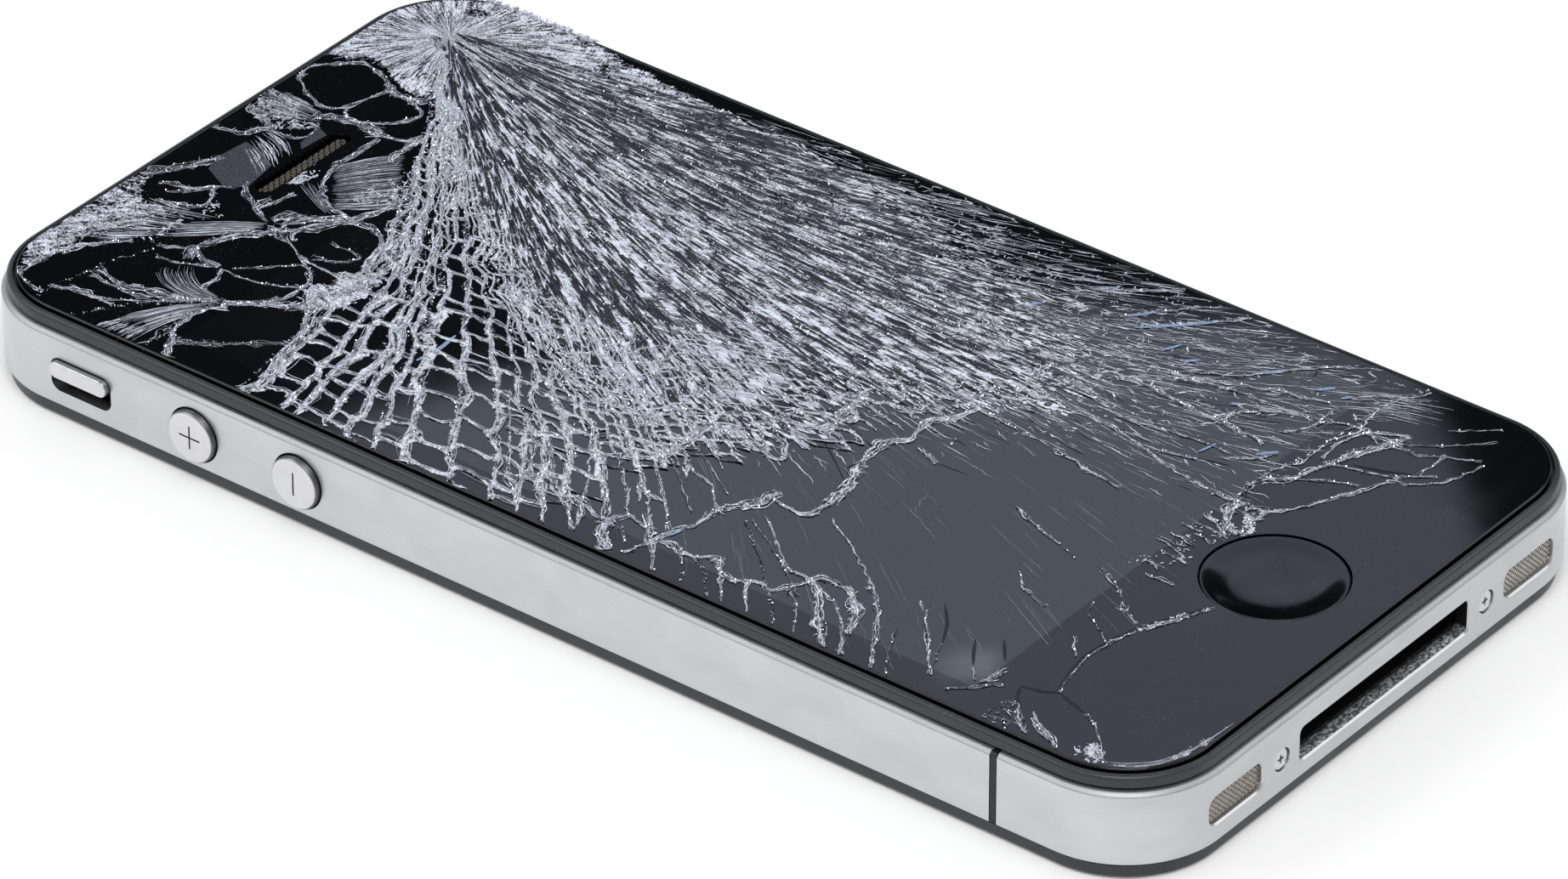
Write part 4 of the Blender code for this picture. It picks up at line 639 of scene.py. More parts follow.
# %% [markdown]
# ## The steel band
#
# On the real phone this is one bar of stainless steel, machined to a flat ribbon, parted at
# three places for its aerials, and brushed. Its openings are milled after that, so their edges
# are sharp, with a fine polished chamfer. Here the ribbon's section is carried round the
# phone's outline with 32 steps to a corner, parted with the plan that the CAD model uses, and
# its openings are cut through it.

# %% Sizes that the CAD model gives, in millimetres
low_corner, high_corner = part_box("antenna_band_main")
BAND_LOW, BAND_HIGH = low_corner.z / MM, high_corner.z / MM
HALF_WIDTH = high_corner.x / MM
HALF_LENGTH = -low_corner.y / MM
CORNER = 8.65
BAND_WALL = 1.2
INSIDE_X, INSIDE_Y = HALF_WIDTH - BAND_WALL - 0.28, HALF_LENGTH - BAND_WALL - 0.28
MIDDLE_Z = (BAND_LOW + BAND_HIGH) / 2
OPENING_Z = MIDDLE_Z - 0.3
# How far a cutter reaches out of the band and into it, and the gap round a piece that moves
OUT, IN = 1, 1.4
GAP = 0.14
KEY_RADIUS = 2.25


def outline(inset, steps=32):
    """The phone's outline, moved inwards, with its long sides divided too."""
    return rounded(HALF_WIDTH - inset, HALF_LENGTH - inset, CORNER - inset, steps, 8)


def ring(profile, steps=32):
    """A closed section of (inset, height) pairs carried round the phone's outline."""
    rows = [stand(outline(inset, steps), height, "Z") for inset, height in profile]
    return skin(np.array(rows), closed_rows=True)


def prism(flat_points, low, high, axis):
    """Points and faces of an outline carried straight from one level to another."""
    rows = [stand(np.array(flat_points), level, axis) for level in (low, high)]
    return skin(np.array(rows))


def node_middle(node):
    """The middle of a CAD node's box, in millimetres."""
    low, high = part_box(node)
    return (low + high) / 2 / MM


print("the band stands", round(BAND_HIGH - BAND_LOW, 2), "mm high")

# %% Band, in its two lengths
CHAMFER, CHAMFER_END = BAND_HIGH - 0.36, BAND_HIGH - 0.29
# The top chamfer is darkened, a painted shade that tones down the lamp's highlight on it
BRUSHED = steel(
    "brushed stainless steel", "#d0d1d3", 0.26, 0.34, edge=("Z", CHAMFER, CHAMFER_END),
    shade_tone=0.74,
)
band_section = [
    (0.0, BAND_LOW + 0.20), (0.02, BAND_LOW + 0.12), (0.08, BAND_LOW + 0.04), (0.18, BAND_LOW),
    (BAND_WALL, BAND_LOW), (BAND_WALL, BAND_HIGH), (0.36, BAND_HIGH), (0.28, BAND_HIGH - 0.025),
    (0.06, BAND_HIGH - 0.23), (0.015, CHAMFER_END), (0.0, CHAMFER),
]
INSERT_GAP = 0.34
left_y = node_middle("gap_insert_lower_left").y
top_x = node_middle("gap_insert_top").x


def left_plan(step):
    """The plan of the band's left length, from the lower insert round to the top one."""
    y, x = left_y + step, top_x - step
    plan = [(-90, y), (-15, y), (-15, 0), (x, 0), (x, 90), (-90, 90)]
    return prism(plan, 0, 12, "Z")


band_left = build("band_left", *ring(band_section), BRUSHED)
cut(band_left, *left_plan(INSERT_GAP), "INTERSECT")
band_main = build("band_main", *ring(band_section), BRUSHED)
cut(band_main, *left_plan(-INSERT_GAP))
print("parted in", len(band_left.data.polygons), "and", len(band_main.data.polygons), "faces")

# %% Openings in the band's left length
SWITCH_HALF = 3.05
switch_y = node_middle("ring_switch_seat").y
opening = rounded(SWITCH_HALF, 1.5, 0.9, 12) + np.array([switch_y, OPENING_Z])
cut(band_left, *prism(opening, -HALF_WIDTH - OUT, -HALF_WIDTH + IN, "X"))
key_places = {name: node_middle(name) for name in ("volume_up_button", "volume_down_button")}
for middle in key_places.values():
    hole = [(KEY_RADIUS + GAP, -HALF_WIDTH - OUT), (KEY_RADIUS + GAP, -HALF_WIDTH + IN)]
    cut(band_left, *turned(hole, (middle.y, middle.z), "X", 72))
# the headphone socket, and a small hole for a microphone beside it
jack_x = node_middle("headphone_jack").x
for x, radius, steps in ((jack_x, 2.59, 72), (-15.15, 0.45, 32)):
    hole = [(radius, HALF_LENGTH - IN), (radius, HALF_LENGTH + OUT)]
    cut(band_left, *turned(hole, (x, MIDDLE_Z), "Y", steps))
print("left length:", len(band_left.data.polygons), "faces")

# %% Openings in the band's main length
def milled(half_a, half_b, corner, middle_x, depth=IN, lip=0.14):
    """A cutter for an opening in the bottom end, whose edge is broken by a lip at 45 degrees."""
    rows = []
    for more, level in ((lip + 0.3, -0.3), (0.0, lip), (0.0, depth)):
        rim = rounded(half_a + more, half_b + more, corner + more, 12)
        rows.append(stand(rim + np.array([middle_x, OPENING_Z]), -HALF_LENGTH + level, "Y"))
    return skin(np.array(rows))


def shaded_dock_steel():
    """Drawn steel painted dark, a painted shade inside the opening. On the faces that look up it
    turns pale in specks, more of them towards the mouth."""
    material, shader = start("drawn steel with painted shade and pale specks", "#1a1a1b", 0.5, 0.0)
    facing = add(material, "NewGeometry").outputs["Normal"]
    upwards = add(material, "SeparateXYZ", [facing]).outputs["Z"]
    # Pale specks on faces that look up, fewer deeper in; all the rest stays dark, a painted shade
    inner, outer = (-HALF_LENGTH + 1.7) * MM, (-HALF_LENGTH + 0.5) * MM
    mouth = add(material, "MapRange", [axes_of(material)["Y"], inner, outer])
    specks = grain(material, (0.30, 0.22, 0.22), 4.0)
    specks = add(material, "MapRange", [specks, 0.44, 0.66, 0.12, 1.0])
    fallen = add(material, "Math", [mouth, specks], operation="MULTIPLY")
    upwards = add(material, "MapRange", [upwards, 0.3, 0.9])
    fallen = add(material, "Math", [upwards, fallen], operation="MULTIPLY")
    colours = {0: fallen, 6: linear("#131314"), 7: linear("#cfd1d4")}
    shown = add(material, "Mix", colours, data_type="RGBA").outputs[2]
    plug(material, shader.inputs["Base Color"], shown)
    rough = add(material, "MapRange", [fallen, 0.0, 1.0, 0.4, 0.8])
    plug(material, shader.inputs["Roughness"], rough)
    return material


DOCK_SHADE_STEEL = shaded_dock_steel()

# the right gap is only a groove: the band runs on behind it
shallow = rounded(INSERT_GAP, 5, 0.01, 1) + np.array([left_y, MIDDLE_Z])
cut(band_main, *prism(shallow, HALF_WIDTH - 0.66, HALF_WIDTH + OUT, "X"))
DOCK = (10.7, 1.42, 0.5)
cut(band_main, *milled(*DOCK, 0.0, 0.16))
dock_inside = rounded(*DOCK, 12) + np.array([0, OPENING_Z])
# The cut walls of the dock take the same painted shade
cut(band_main, *prism(dock_inside, -HALF_LENGTH + 0.10, -HALF_LENGTH + IN, "Y"), finish=DOCK_SHADE_STEEL)
GRILLE_X, GRILLE_HALF, SCREW_X = 18.65, 3.35, 13.0
for side in (-1, 1):
    cut(band_main, *milled(GRILLE_HALF - 0.1, 1.2, 0.8, side * GRILLE_X))
    seat = [(0.97, -HALF_LENGTH - OUT), (0.97, -HALF_LENGTH + 0.96)]
    cut(band_main, *turned(seat, (side * SCREW_X, OPENING_Z), "Y", 40))
    bore = [(0.64, -HALF_LENGTH), (0.64, -HALF_LENGTH + IN)]
    cut(band_main, *turned(bore, (side * SCREW_X, OPENING_Z), "Y", 24))
TRAY_Z = 3.915
door_hole = rounded(8.3 + GAP, 1.0 + GAP, 1.139, 12) + np.array([node_middle("sim_tray").y, TRAY_Z])
cut(band_main, *prism(door_hole, HALF_WIDTH - IN, HALF_WIDTH + OUT, "X"))
SLEEP_HALF = (4.7, 1.2)
sleep_x = node_middle("sleep_button").x
sleep_hole = rounded(SLEEP_HALF[0] + GAP, SLEEP_HALF[1] + GAP, 1.339, 12)
sleep_hole = sleep_hole + np.array([sleep_x, MIDDLE_Z])
cut(band_main, *prism(sleep_hole, HALF_LENGTH - IN, HALF_LENGTH + OUT, "Y"))
for band, node in ((band_left, "antenna_band_left"), (band_main, "antenna_band_main")):
    soften(band, 0.035, 2, 50)
    own(band, "housing", "steel_band", node)

# %% [markdown]
# ## The black strips in the band
#
# Where the band is parted, black nylon was moulded into the gap and ground flush with the
# steel. Each strip repeats the band's own section, a hair lower, as the softer plastic is worn
# a little below the metal.

# %% Inserts
for node in ("gap_insert_lower_left", "gap_insert_top", "gap_insert_lower_right"):
    refined(node, INSERT, 0.03, "housing", "black_plastic")

# %% [markdown]
# ## Front and back frames
#
# Both are thin moulded frames of black polycarbonate. The front one holds the glass and stands
# proud of the steel, with a soft outer edge that hands have polished. Each is its section
# carried round the outline, as the band is, because that keeps the gap between them even.

# %% Bezels and back panel
FRAME_LOW = BAND_HIGH + 0.28
FRAME_HIGH = GLASS_TOP - 0.22
FRAME_ROUND = 0.36
SHELF_LOW, SHELF_HIGH = 7.66, 8.36


def rounded_edge(wall, top, radius, steps=5, inwards=1, up=1):
    """A quarter turn of section from a wall to a flat top: at angle w the wall is radius times
    (1 - cos w) further in, and the height radius times (1 - sin w) short of the top."""
    w = np.linspace(0, np.pi / 2, steps + 1)
    walls = wall + inwards * radius * (1 - np.cos(w))
    return list(zip(walls, top - up * radius * (1 - np.sin(w))))


front_section = [(0.45, FRAME_LOW)] + rounded_edge(0.45, FRAME_HIGH, FRAME_ROUND)
front_section += [(0.92, FRAME_HIGH), (0.92, SHELF_HIGH), (3.0, SHELF_HIGH), (3.0, SHELF_LOW)]
front_section += [(1.48, SHELF_LOW), (1.48, FRAME_LOW)]
front_bezel = build("front_frame", *ring(front_section), BEZEL)
clearance = turned([(6.78, 7.4), (6.78, 8.5)], (0, node_middle("home_button").y), "Z", 64)
cut(front_bezel, *clearance)
own(front_bezel, "housing", "bezel_plastic", "front_bezel")

BACK_LOW, BACK_HIGH, BACK_SHELF = 0.1, 1.25, 1.0
back_section = [(0.42, BACK_HIGH)] + rounded_edge(0.42, BACK_LOW, FRAME_ROUND, up=-1)
back_section += [(0.77, BACK_LOW), (0.77, BACK_SHELF), (3.0, BACK_SHELF), (3.0, BACK_HIGH)]
own(build("back_frame", *ring(back_section), BEZEL), "housing", "bezel_plastic", "back_bezel")

panel_section = [(1.30, 0.0), (1.20, 0.03), (1.10, 0.12), (1.05, 0.25), (1.05, 0.72)]
panel_rows = np.array([stand(outline(inset), height, "Z") for inset, height in panel_section])
back_panel = build("back_glass", *skin(panel_rows), PANEL_GLASS)
camera_middle, flash_middle = node_middle("rear_camera_window"), node_middle("flash_lens")
for middle, radius in ((camera_middle, 3.98), (flash_middle, 1.88)):
    cut(back_panel, *turned([(radius, -1), (radius, 2)], (middle.x, middle.y), "Z", 72))
own(back_panel, "housing", "black_glass", "back_panel")

# %% [markdown]
# ## Keys on the left side
#
# The two round keys are turned steel, faced flat, with a polished bevel that is given a painted
# shade, and their signs are engraved, with a painted shade in them. Behind the band each has a
# flange that keeps it in. The ring switch is a polished bar that slides in its slot, whose floor
# is black nylon; its edge behind the face has a painted shade too.
# A profile turned round the key's axis gives its face, bevel and flange at once, as a lathe
# would, and the signs are cut into it, so that they have walls that catch the light.

# %% Volume keys, ring switch and sleep button
# The engravings' walls are coloured near black, a painted shade in the grooves, with some dust
ENGRAVING_SHADE = moulded("painted shade in an engraving", "#161514", 0.7, dust=0.4)
ENGRAVED = (1.05, 0.075)
KEY_FACE, LEVER_FACE = -HALF_WIDTH - 0.55, -HALF_WIDTH - 0.5
# The bevel behind the key's face is darkened, a painted shade
KEY_STEEL = steel(
    "faced steel with a turned bevel", "#dddddf", 0.14, 0.20, (0.8, 0.8, 0.8), 3.0, 0.04,
    ("X", KEY_FACE + 0.02, KEY_FACE + 0.09), 0.22,
)
# The lever's edge behind its face is darkened, a painted shade
LEVER_STEEL = steel(
    "milled steel with a rubbed edge", "#dddddf", 0.16, 0.24, (0.8, 0.8, 0.8), 3.0, 0.04,
    ("X", LEVER_FACE + 0.02, LEVER_FACE + 0.12), 0.35,
)


def volume_key(name, node, arms):
    """A turned key with engraved arms, each along Y or Z, and a flange behind the band."""
    middle = key_places[node]
    bevel = rounded_edge(KEY_RADIUS, KEY_FACE, 0.26, inwards=-1, up=-1)
    profile = [(2.7, -INSIDE_X + 0.35), (2.7, -INSIDE_X), (KEY_RADIUS, -INSIDE_X)]
    profile += bevel + [(1.2, KEY_FACE)]
    key = build(name, *turned(profile, (middle.y, middle.z), "X", 96), KEY_STEEL)
    for arm in arms:
        half_a, half_b = ENGRAVED if arm == "Y" else ENGRAVED[::-1]
        groove = rounded(half_a, half_b, 0.07, 4) + np.array([middle.y, middle.z])
        cut(key, *prism(groove, KEY_FACE - 0.2, KEY_FACE + 0.12, "X"), finish=ENGRAVING_SHADE)
    return own(key, node, "polished_steel", node)


volume_key("key_up", "volume_up_button", "YZ")
volume_key("key_down", "volume_down_button", "Z")

# the switch at the end of its slide that is nearer the screen
LEVER_HALF = (SWITCH_HALF - GAP, 0.725)
place = (node_middle("ring_switch").y, OPENING_Z + (3.0 - 1.45) / 2 - GAP)
lever = pill(*LEVER_HALF, 0.70, -INSIDE_X + 0.18, LEVER_FACE, 0.14, "X", place, 12)
slider = pill(SWITCH_HALF, 1.16, 0.14, -INSIDE_X + 0.35, -INSIDE_X, 0.05, "X", place, 4)
switch = build("switch_lever", *joined(lever, slider), LEVER_STEEL)
own(switch, "ring_switch", "polished_steel", "ring_switch")

place = (sleep_x, MIDDLE_Z)
sleep_body = pill(*SLEEP_HALF, 1.199, INSIDE_Y - 0.2, HALF_LENGTH + 0.55, 0.18, "Y", place, 16)
sleep_flange = pill(4.7, 1.65, 0.45, INSIDE_Y - 0.35, INSIDE_Y, 0.05, "Y", place, 6)
sleep = build("sleep_key", *joined(sleep_body, sleep_flange), POLISHED)
own(sleep, "sleep_button", "polished_steel", "sleep_button")

# %% [markdown]
# ## Bottom end
#
# Between two cross-head screws lies the dock opening: a drawn steel shell with a flat tongue of
# contacts standing in it. Its inside is painted dark, a painted shade, with pale specks near the
# mouth. On both sides, slots a millimetre deep end in woven wire, over the microphone and the
# speaker. The wires are real ones here: each follows a wave, over one neighbour and under the
# next, so height is amplitude * cos(pi * distance / pitch), and the crossing wires run in the
# opposite phase.

# %% Dock and its contacts
# The dock's shell takes the same painted shade
refined("dock_shell", DOCK_SHADE_STEEL, 0.05, "housing", "steel_band")
refined("dock_tongue", MOULDING, 0.05, "housing", "black_plastic")
GOLD = steel("gold-flashed contact", "#8f7a4a", 0.3, 0.4, (0.2, 0.2, 0.2), 0.6, 0.2)
strips = []
for x in (np.arange(30) - 14.5) * 0.6:
    for low, high in ((0.40, 0.475), (-0.40, -0.475)):
        levels = (OPENING_Z + low, OPENING_Z + high)
        strips.append(pill(0.15, 2.2, 0.05, *levels, 0.02, "Z", (x, -INSIDE_Y + 3.6), 2, 2))
own(build("dock_contacts", *joined(*strips), GOLD), "housing", "polished_steel")

# %% Screws
# The cross's walls are dark grey, a painted shade in the recess, with a fall of dust
CROSS_SHADE = moulded("painted shade and dust in a worn cross", "#3c3c3d", 0.6, dust=0.5)
SCREW = [
    (0.12, 4.6), (0.5, 4.0), (0.5, 0.7), (0.9, 0.7), (0.9, 0.12), (0.86, 0.04), (0.76, 0.0),
    (0.68, 0.0), (0.66, 0.02), (0.4, 0.02),
]
for name, side in (("screw_left", -1), ("screw_right", 1)):
    face = -HALF_LENGTH + 0.12
    centre = (side * SCREW_X, OPENING_Z)
    profile = [(radius, face + depth) for radius, depth in SCREW]
    screw = build(name, *turned(profile, centre, "Y", 56), POLISHED)
    for half_a, half_b in ((0.38, 0.085), (0.085, 0.38)):
        wide = rounded(half_a, half_b, 0.06, 3) + np.array(centre)
        narrow = rounded(half_a * 0.6, half_b * 0.8, 0.05, 3) + np.array(centre)
        rows = [
            stand(wide, face - 0.1, "Y"), stand(wide, face + 0.02, "Y"),
            stand(narrow, face + 0.35, "Y"),
        ]
        cut(screw, *skin(np.array(rows)), finish=CROSS_SHADE)
    own(screw, "housing", "polished_steel", "bottom_" + name)


# %% Woven wire
def weave(half_a, half_b, corner, pitch, radius, level, axis, centre):
    """Points and faces of woven wire that fills a rounded rectangle."""
    amplitude = radius * 0.95
    wires = []
    for reach, other, phase, swap in ((half_a, half_b, 0, False), (half_b, half_a, 1, True)):
        places = np.arange(-other + pitch / 2, other, pitch)
        short = np.maximum(np.abs(places) - (other - corner), 0)
        length = reach - corner + np.sqrt(np.maximum(corner**2 - short**2, 0))
        t = np.linspace(-1, 1, int(4 * reach / pitch) + 1)
        a = length[:, None] * t[None, :]
        b = np.broadcast_to(places[:, None], a.shape)
        row = np.arange(len(places))[:, None] + phase
        h = level + amplitude * np.cos(np.pi * (a / pitch + row))
        flat_points = np.stack([b, a] if swap else [a, b], -1) + np.array(centre)
        wires.append(tubes(stand(flat_points, h, axis), radius, 6))
    return joined(*wires)


WIRE_HALF, WIRE_PITCH, WIRE_RADIUS = (GRILLE_HALF - 0.14, 1.16, 0.76), 0.24, 0.055
for name, node, side, wire in (
    ("wire_left", "microphone_mesh", -1, DUSTY_WIRE), ("wire_right", "speaker_mesh", 1, WIRE)
):
    centre = (side * GRILLE_X, OPENING_Z)
    cloth = weave(*WIRE_HALF, WIRE_PITCH, WIRE_RADIUS, -HALF_LENGTH + 0.45, "Y", centre)
    core = pill(*WIRE_HALF, -INSIDE_Y + 0.2, -HALF_LENGTH + 0.55, 0.02, "Y", centre, 12)
    flange = (GRILLE_HALF + 0.45, 1.75, 1.74)
    rim = pill(*flange, -INSIDE_Y + 0.2, -INSIDE_Y + 0.16, 0.02, "Y", centre, 12)
    own(build(name, *cloth, wire), "housing", "polished_steel", node)
    own(build(name + "_backing", *joined(core, rim), MOULDING), "housing", "black_plastic")

# %% [markdown]
# ## Right side and top end
#
# The tray's door is cut from the same steel as the band. The headphone socket is a moulded body
# with a plated bore. Both keep the CAD model's shape, with its sharp edges rounded a little, for
# the real ones are as plain. Rings, lens windows and the flash are profiles turned on a lathe.

# %% Tray, socket and cameras
refined("sim_tray", BRUSHED, 0.05, "sim_tray", "steel_band", 40)
refined("headphone_jack", MOULDING, 0.06, "housing", "black_plastic")
socket_ring = [
    (1.76, HALF_LENGTH - 0.1), (2.25, HALF_LENGTH - 0.1), (2.25, HALF_LENGTH - 0.055),
    (1.86, HALF_LENGTH - 0.055), (1.76, HALF_LENGTH - 0.085),
]
ring_points = turned(socket_ring, (jack_x, MIDDLE_Z), "Y", 72, hoop=True)
own(build("socket_ring", *ring_points, POLISHED), "housing", "polished_steel")

camera_place = (camera_middle.x, camera_middle.y)
window = [(3.7, 0.72), (3.7, 0.10), (3.66, 0.06), (1.0, 0.06)]
glass = build("camera_glass", *turned(window, camera_place, "Z", 96), LENS)
own(glass, "housing", "lens_glass", "rear_camera_window")
trim = [
    (3.98, 0.30), (3.73, 0.30), (3.73, 0.05), (3.80, 0.02), (3.92, 0.02), (3.98, 0.05), (3.98, 0.10)
]
trim_points = turned(trim, camera_place, "Z", 72, hoop=True)
own(build("camera_trim", *trim_points, POLISHED), "housing", "polished_steel")
pupil = [(1.15, 0.058), (1.15, 0.045), (0.9, 0.04), (0.6, 0.04)]
pupil_points = turned(pupil, camera_place, "Z", 64)
own(build("camera_pupil", *pupil_points, DISPLAY), "housing", "black_plastic")
flash = [(1.6, 0.72), (1.6, 0.10), (1.5, 0.06), (0.5, 0.045)]
flash_points = turned(flash, (flash_middle.x, flash_middle.y), "Z", 64)
own(build("flash_glass", *flash_points, FLASH), "housing", "lens_glass", "flash_lens")

# %% [markdown]
# ## Inside
#
# Nothing inside shows while the phone is whole, but the parts are there and move, so each has
# the surface of the real one. Their shapes are the CAD model's own, because finer ones would
# never be seen.

# %% Finishes of the inner parts
INNER = {
    SHEET_STEEL: "home_button_bracket backlight_unit volume_bracket sleep_button_bracket "
    "sim_reader vibration_motor shield_can_upper shield_can_lower mid_plate vibration_weight",
    MOULDING: "earpiece_speaker ring_switch_seat microphone speaker_module rear_camera "
    "rear_camera_barrel front_camera",
    LAMINATE: "logic_board",
    FILM_WRAP: "battery",
    DISPLAY: "lcd_panel",
}
for finish, names in INNER.items():
    for node in names.split():
        nodes[node].data.materials[0] = finish
print("inner parts finished:", sum(len(names.split()) for names in INNER.values()))

# %% [markdown]
# ## Home button and earpiece
#
# The button is polished acrylic, dished by a quarter of a millimetre so that a thumb finds it.
# Its rim slopes more than its middle, and that slope mirrors the dark low wall as a black
# crescent on the side near the camera. A turned profile lets that slope be set ring by ring.

# %% Home button and earpiece cloth
home = node_middle("home_button")
BUTTON_RADIUS, FLANGE_LOW = 5.65, 8.01
button_top = GLASS_TOP - 0.08
flange = BUTTON_RADIUS + 0.85
button_side = [(flange, FLANGE_LOW), (flange, SHELF_HIGH), (BUTTON_RADIUS, SHELF_HIGH)]
button_side += rounded_edge(BUTTON_RADIUS, button_top, 0.10, 4, inwards=-1)
# the dish, as pairs of radius and depth
DISH = [
    (5.45, 0.004), (5.3, 0.018), (5.1, 0.05), (4.8, 0.105), (4.5, 0.16), (4.25, 0.20), (4.0, 0.232),
    (3.75, 0.255), (3.4, 0.272), (2.8, 0.284), (2.0, 0.291), (1.0, 0.295),
]
button_profile = button_side + [(radius, button_top - depth) for radius, depth in DISH]
button = build("thumb_button", *turned(button_profile, (0, home.y), "Z", 128), ACRYLIC, 35)
own(button, "home_button", "button_plastic", "home_button")

ear = node_middle("earpiece_mesh")
cloth = weave(5.05, 0.53, 0.52, 0.34, 0.075, 8.82, "Z", (0, ear.y))
frame_bar = pill(5.55, 1.02, 1.0, 8.16, SHELF_HIGH, 0.03, "Z", (0, ear.y), 12)
core = pill(5.1, 0.57, 0.56, 8.3, 8.68, 0.05, "Z", (0, ear.y), 12)
own(build("ear_cloth", *cloth, EAR_WIRE), "housing", "polished_steel", "earpiece_mesh")
own(build("ear_backing", *joined(frame_bar, core), MOULDING), "housing", "black_plastic")

# %% [markdown]
# ## The cover glass
#
# The pane is a sheet of toughened glass, ground and polished round its edge, with a black border
# printed on its back. It stays one sheet when it breaks, because it is glued down, so its top
# stays nearly flat. It is built as a plain slab with a rounded rim first. The cracks then lie in
# its top as work of their own.
#
# The display's surface lies just below the glass and mirrors too, so the glass mirrors a little
# more over it, with a straight edge where the printed border begins.

# %% Pane
def pane_glass():
    """Polished glass over black: more mirror over the display, a thin film of finger grease, and
    fine dust."""
    material, shader = start("toughened cover glass", "#050507", 0.03)
    axes = axes_of(material)
    across = add(material, "Math", [axes["X"]], operation="ABSOLUTE")
    in_width = add(material, "Math", [across, 25.1 * MM], operation="LESS_THAN")
    above = add(material, "Math", [axes["Y"], -38.5 * MM], operation="GREATER_THAN")
    below = add(material, "Math", [axes["Y"], 38.0 * MM], operation="LESS_THAN")
    in_length = add(material, "Math", [above, below], operation="MULTIPLY")
    display = add(material, "Math", [in_width, in_length], operation="MULTIPLY")
    mirror = add(material, "MapRange", [display, 0, 1, 0.5, 0.85])
    plug(material, shader.inputs["Specular IOR Level"], mirror)
    grease = grain(material, (7.0, 7.0, 7.0), 4.0, 0.6)
    rough = add(material, "MapRange", [grease, 0.35, 0.75, 0.025, 0.06])
    plug(material, shader.inputs["Roughness"], rough)
    dust = add(material, "MapRange", [grain(material, (0.16, 0.16, 0.16), 1.0), 0.70, 0.76])
    patch = add(material, "MapRange", [grain(material, (9.0, 9.0, 9.0), 2.0), 0.45, 0.65])
    fallen = add(material, "Math", [dust, patch], operation="MULTIPLY")
    fallen = add(material, "Math", [fallen, 0.35], operation="MULTIPLY")
    colours = {0: fallen, 6: linear("#050507"), 7: linear("#9a9da3")}
    shown = add(material, "Mix", colours, data_type="RGBA").outputs[2]
    plug(material, shader.inputs["Base Color"], shown)
    return material


PANE = pane_glass()
PANE_INSET = 1.2
pane_section = [
    (PANE_INSET, 8.64), (PANE_INSET, 9.17), (1.21, 9.22), (1.24, 9.26), (1.28, 9.285),
    (1.33, 9.296),
    (1.38, 9.296), (2.0, 9.296),
]
pane_rows = np.array([stand(outline(inset), height, "Z") for inset, height in pane_section])
pane = build("pane", *skin(pane_rows), PANE)
HOME_HOLE = BUTTON_RADIUS + 0.11
cut(pane, *turned([(HOME_HOLE, 8), (HOME_HOLE, 10)], (0, home.y), "Z", 128))
ear_hole = rounded(5.1 + 0.28, 0.575 + 0.28, 0.854, 16) + np.array([0, ear.y])
cut(pane, *prism(ear_hole, 8, 10, "Z"))
own(pane, "housing", "black_glass", "cover_glass")

# %% [markdown]
# ## The fan
#
# Toughened glass that is struck near a corner breaks into long splinters that spread from the
# blow like a fan and bend with the stresses in the sheet. The CAD model describes the fan by
# sixteen guide cracks of seven points each. A place in the fan is then a pair of numbers: the
# guide, 0 to 15, and the share of the way along it, 0 to 1. Everything fine in the fan is laid
# out in these numbers, and so follows its curves. A picture of cracks laid on the glass would be
# less work, but it would blur close up and couldn't glitter.

# %% Fan places
FAN_GUIDES = np.array([
    [(21.5, 50.5), (15.5, 46), (8, 41), (-0.5, 36.3), (-10, 32.8), (-19, 31.2), (-28.6, 29.2)],
    [(21.5, 50), (15, 44.8), (7.5, 39), (-1, 33.2), (-9.5, 28.3), (-18.5, 24.5), (-28.6, 22.3)],
    [(21.5, 50), (15, 44.3), (7, 37), (-1.7, 31), (-10, 25.6), (-18.5, 20.8), (-28.6, 14.7)],
    [(21.5, 50), (14.5, 43.3), (7.3, 36), (-1, 27.8), (-9.3, 19.8), (-17.5, 11.6), (-28.6, 3.2)],
    [(21.5, 50), (14.5, 42.7), (7.7, 34.2), (-0.5, 24.8), (-9.5, 13.5), (-18, 3.5), (-28.6, -5.5)],
    [(21.5, 50), (15, 42), (8.5, 33), (0.5, 22), (-8, 8.5), (-16, -3), (-28.6, -14.5)],
    [(21.5, 50), (15.5, 41.5), (9.5, 31.5), (3, 20), (-4, 6), (-13, -12.5), (-28.6, -31.2)],
    [(21.5, 50), (15.5, 38), (9.5, 24), (4.5, 9), (0.3, -7.5), (-4, -25), (-11, -44)],
    [(21.5, 50), (16, 37.5), (11, 23.5), (7.3, 8.5), (4.5, -8), (2.7, -25.5), (0, -41.8)],
    [(21.5, 50), (16.5, 37), (12.3, 22.5), (10, 7), (8.3, -9), (7, -26), (6.3, -41)],
    [(21.5, 50), (17.5, 37), (14.3, 22), (12.8, 7), (12.3, -8.5), (13.2, -24.5), (16.5, -40.5)],
    [(21.5, 50), (18.5, 37), (16.2, 22.5), (15.3, 8), (15.6, -7), (19, -25), (28.6, -42)],
    [(21.8, 50.0), (19.8, 38), (18.3, 25), (17.8, 12), (19, -1.5), (22, -15), (28.6, -28)],
    [(22.0, 50.0), (21, 39.5), (20.3, 28.5), (20.5, 17), (22, 5), (24.5, -6.5), (28.6, -17)],
    [(22.3, 50.0), (22.3, 41.5), (22.5, 32.5), (23.2, 23.5), (24.5, 14.5), (26.2, 6), (28.6, -2)],
    [(22.7, 50.0), (23.7, 43.5), (24.7, 37.5), (25.6, 32), (26.5, 27), (27.4, 22), (28.6, 17)],
])
TO_PANE = np.array([(HALF_WIDTH - PANE_INSET) / 28.1, (HALF_LENGTH - PANE_INSET) / 56.4])


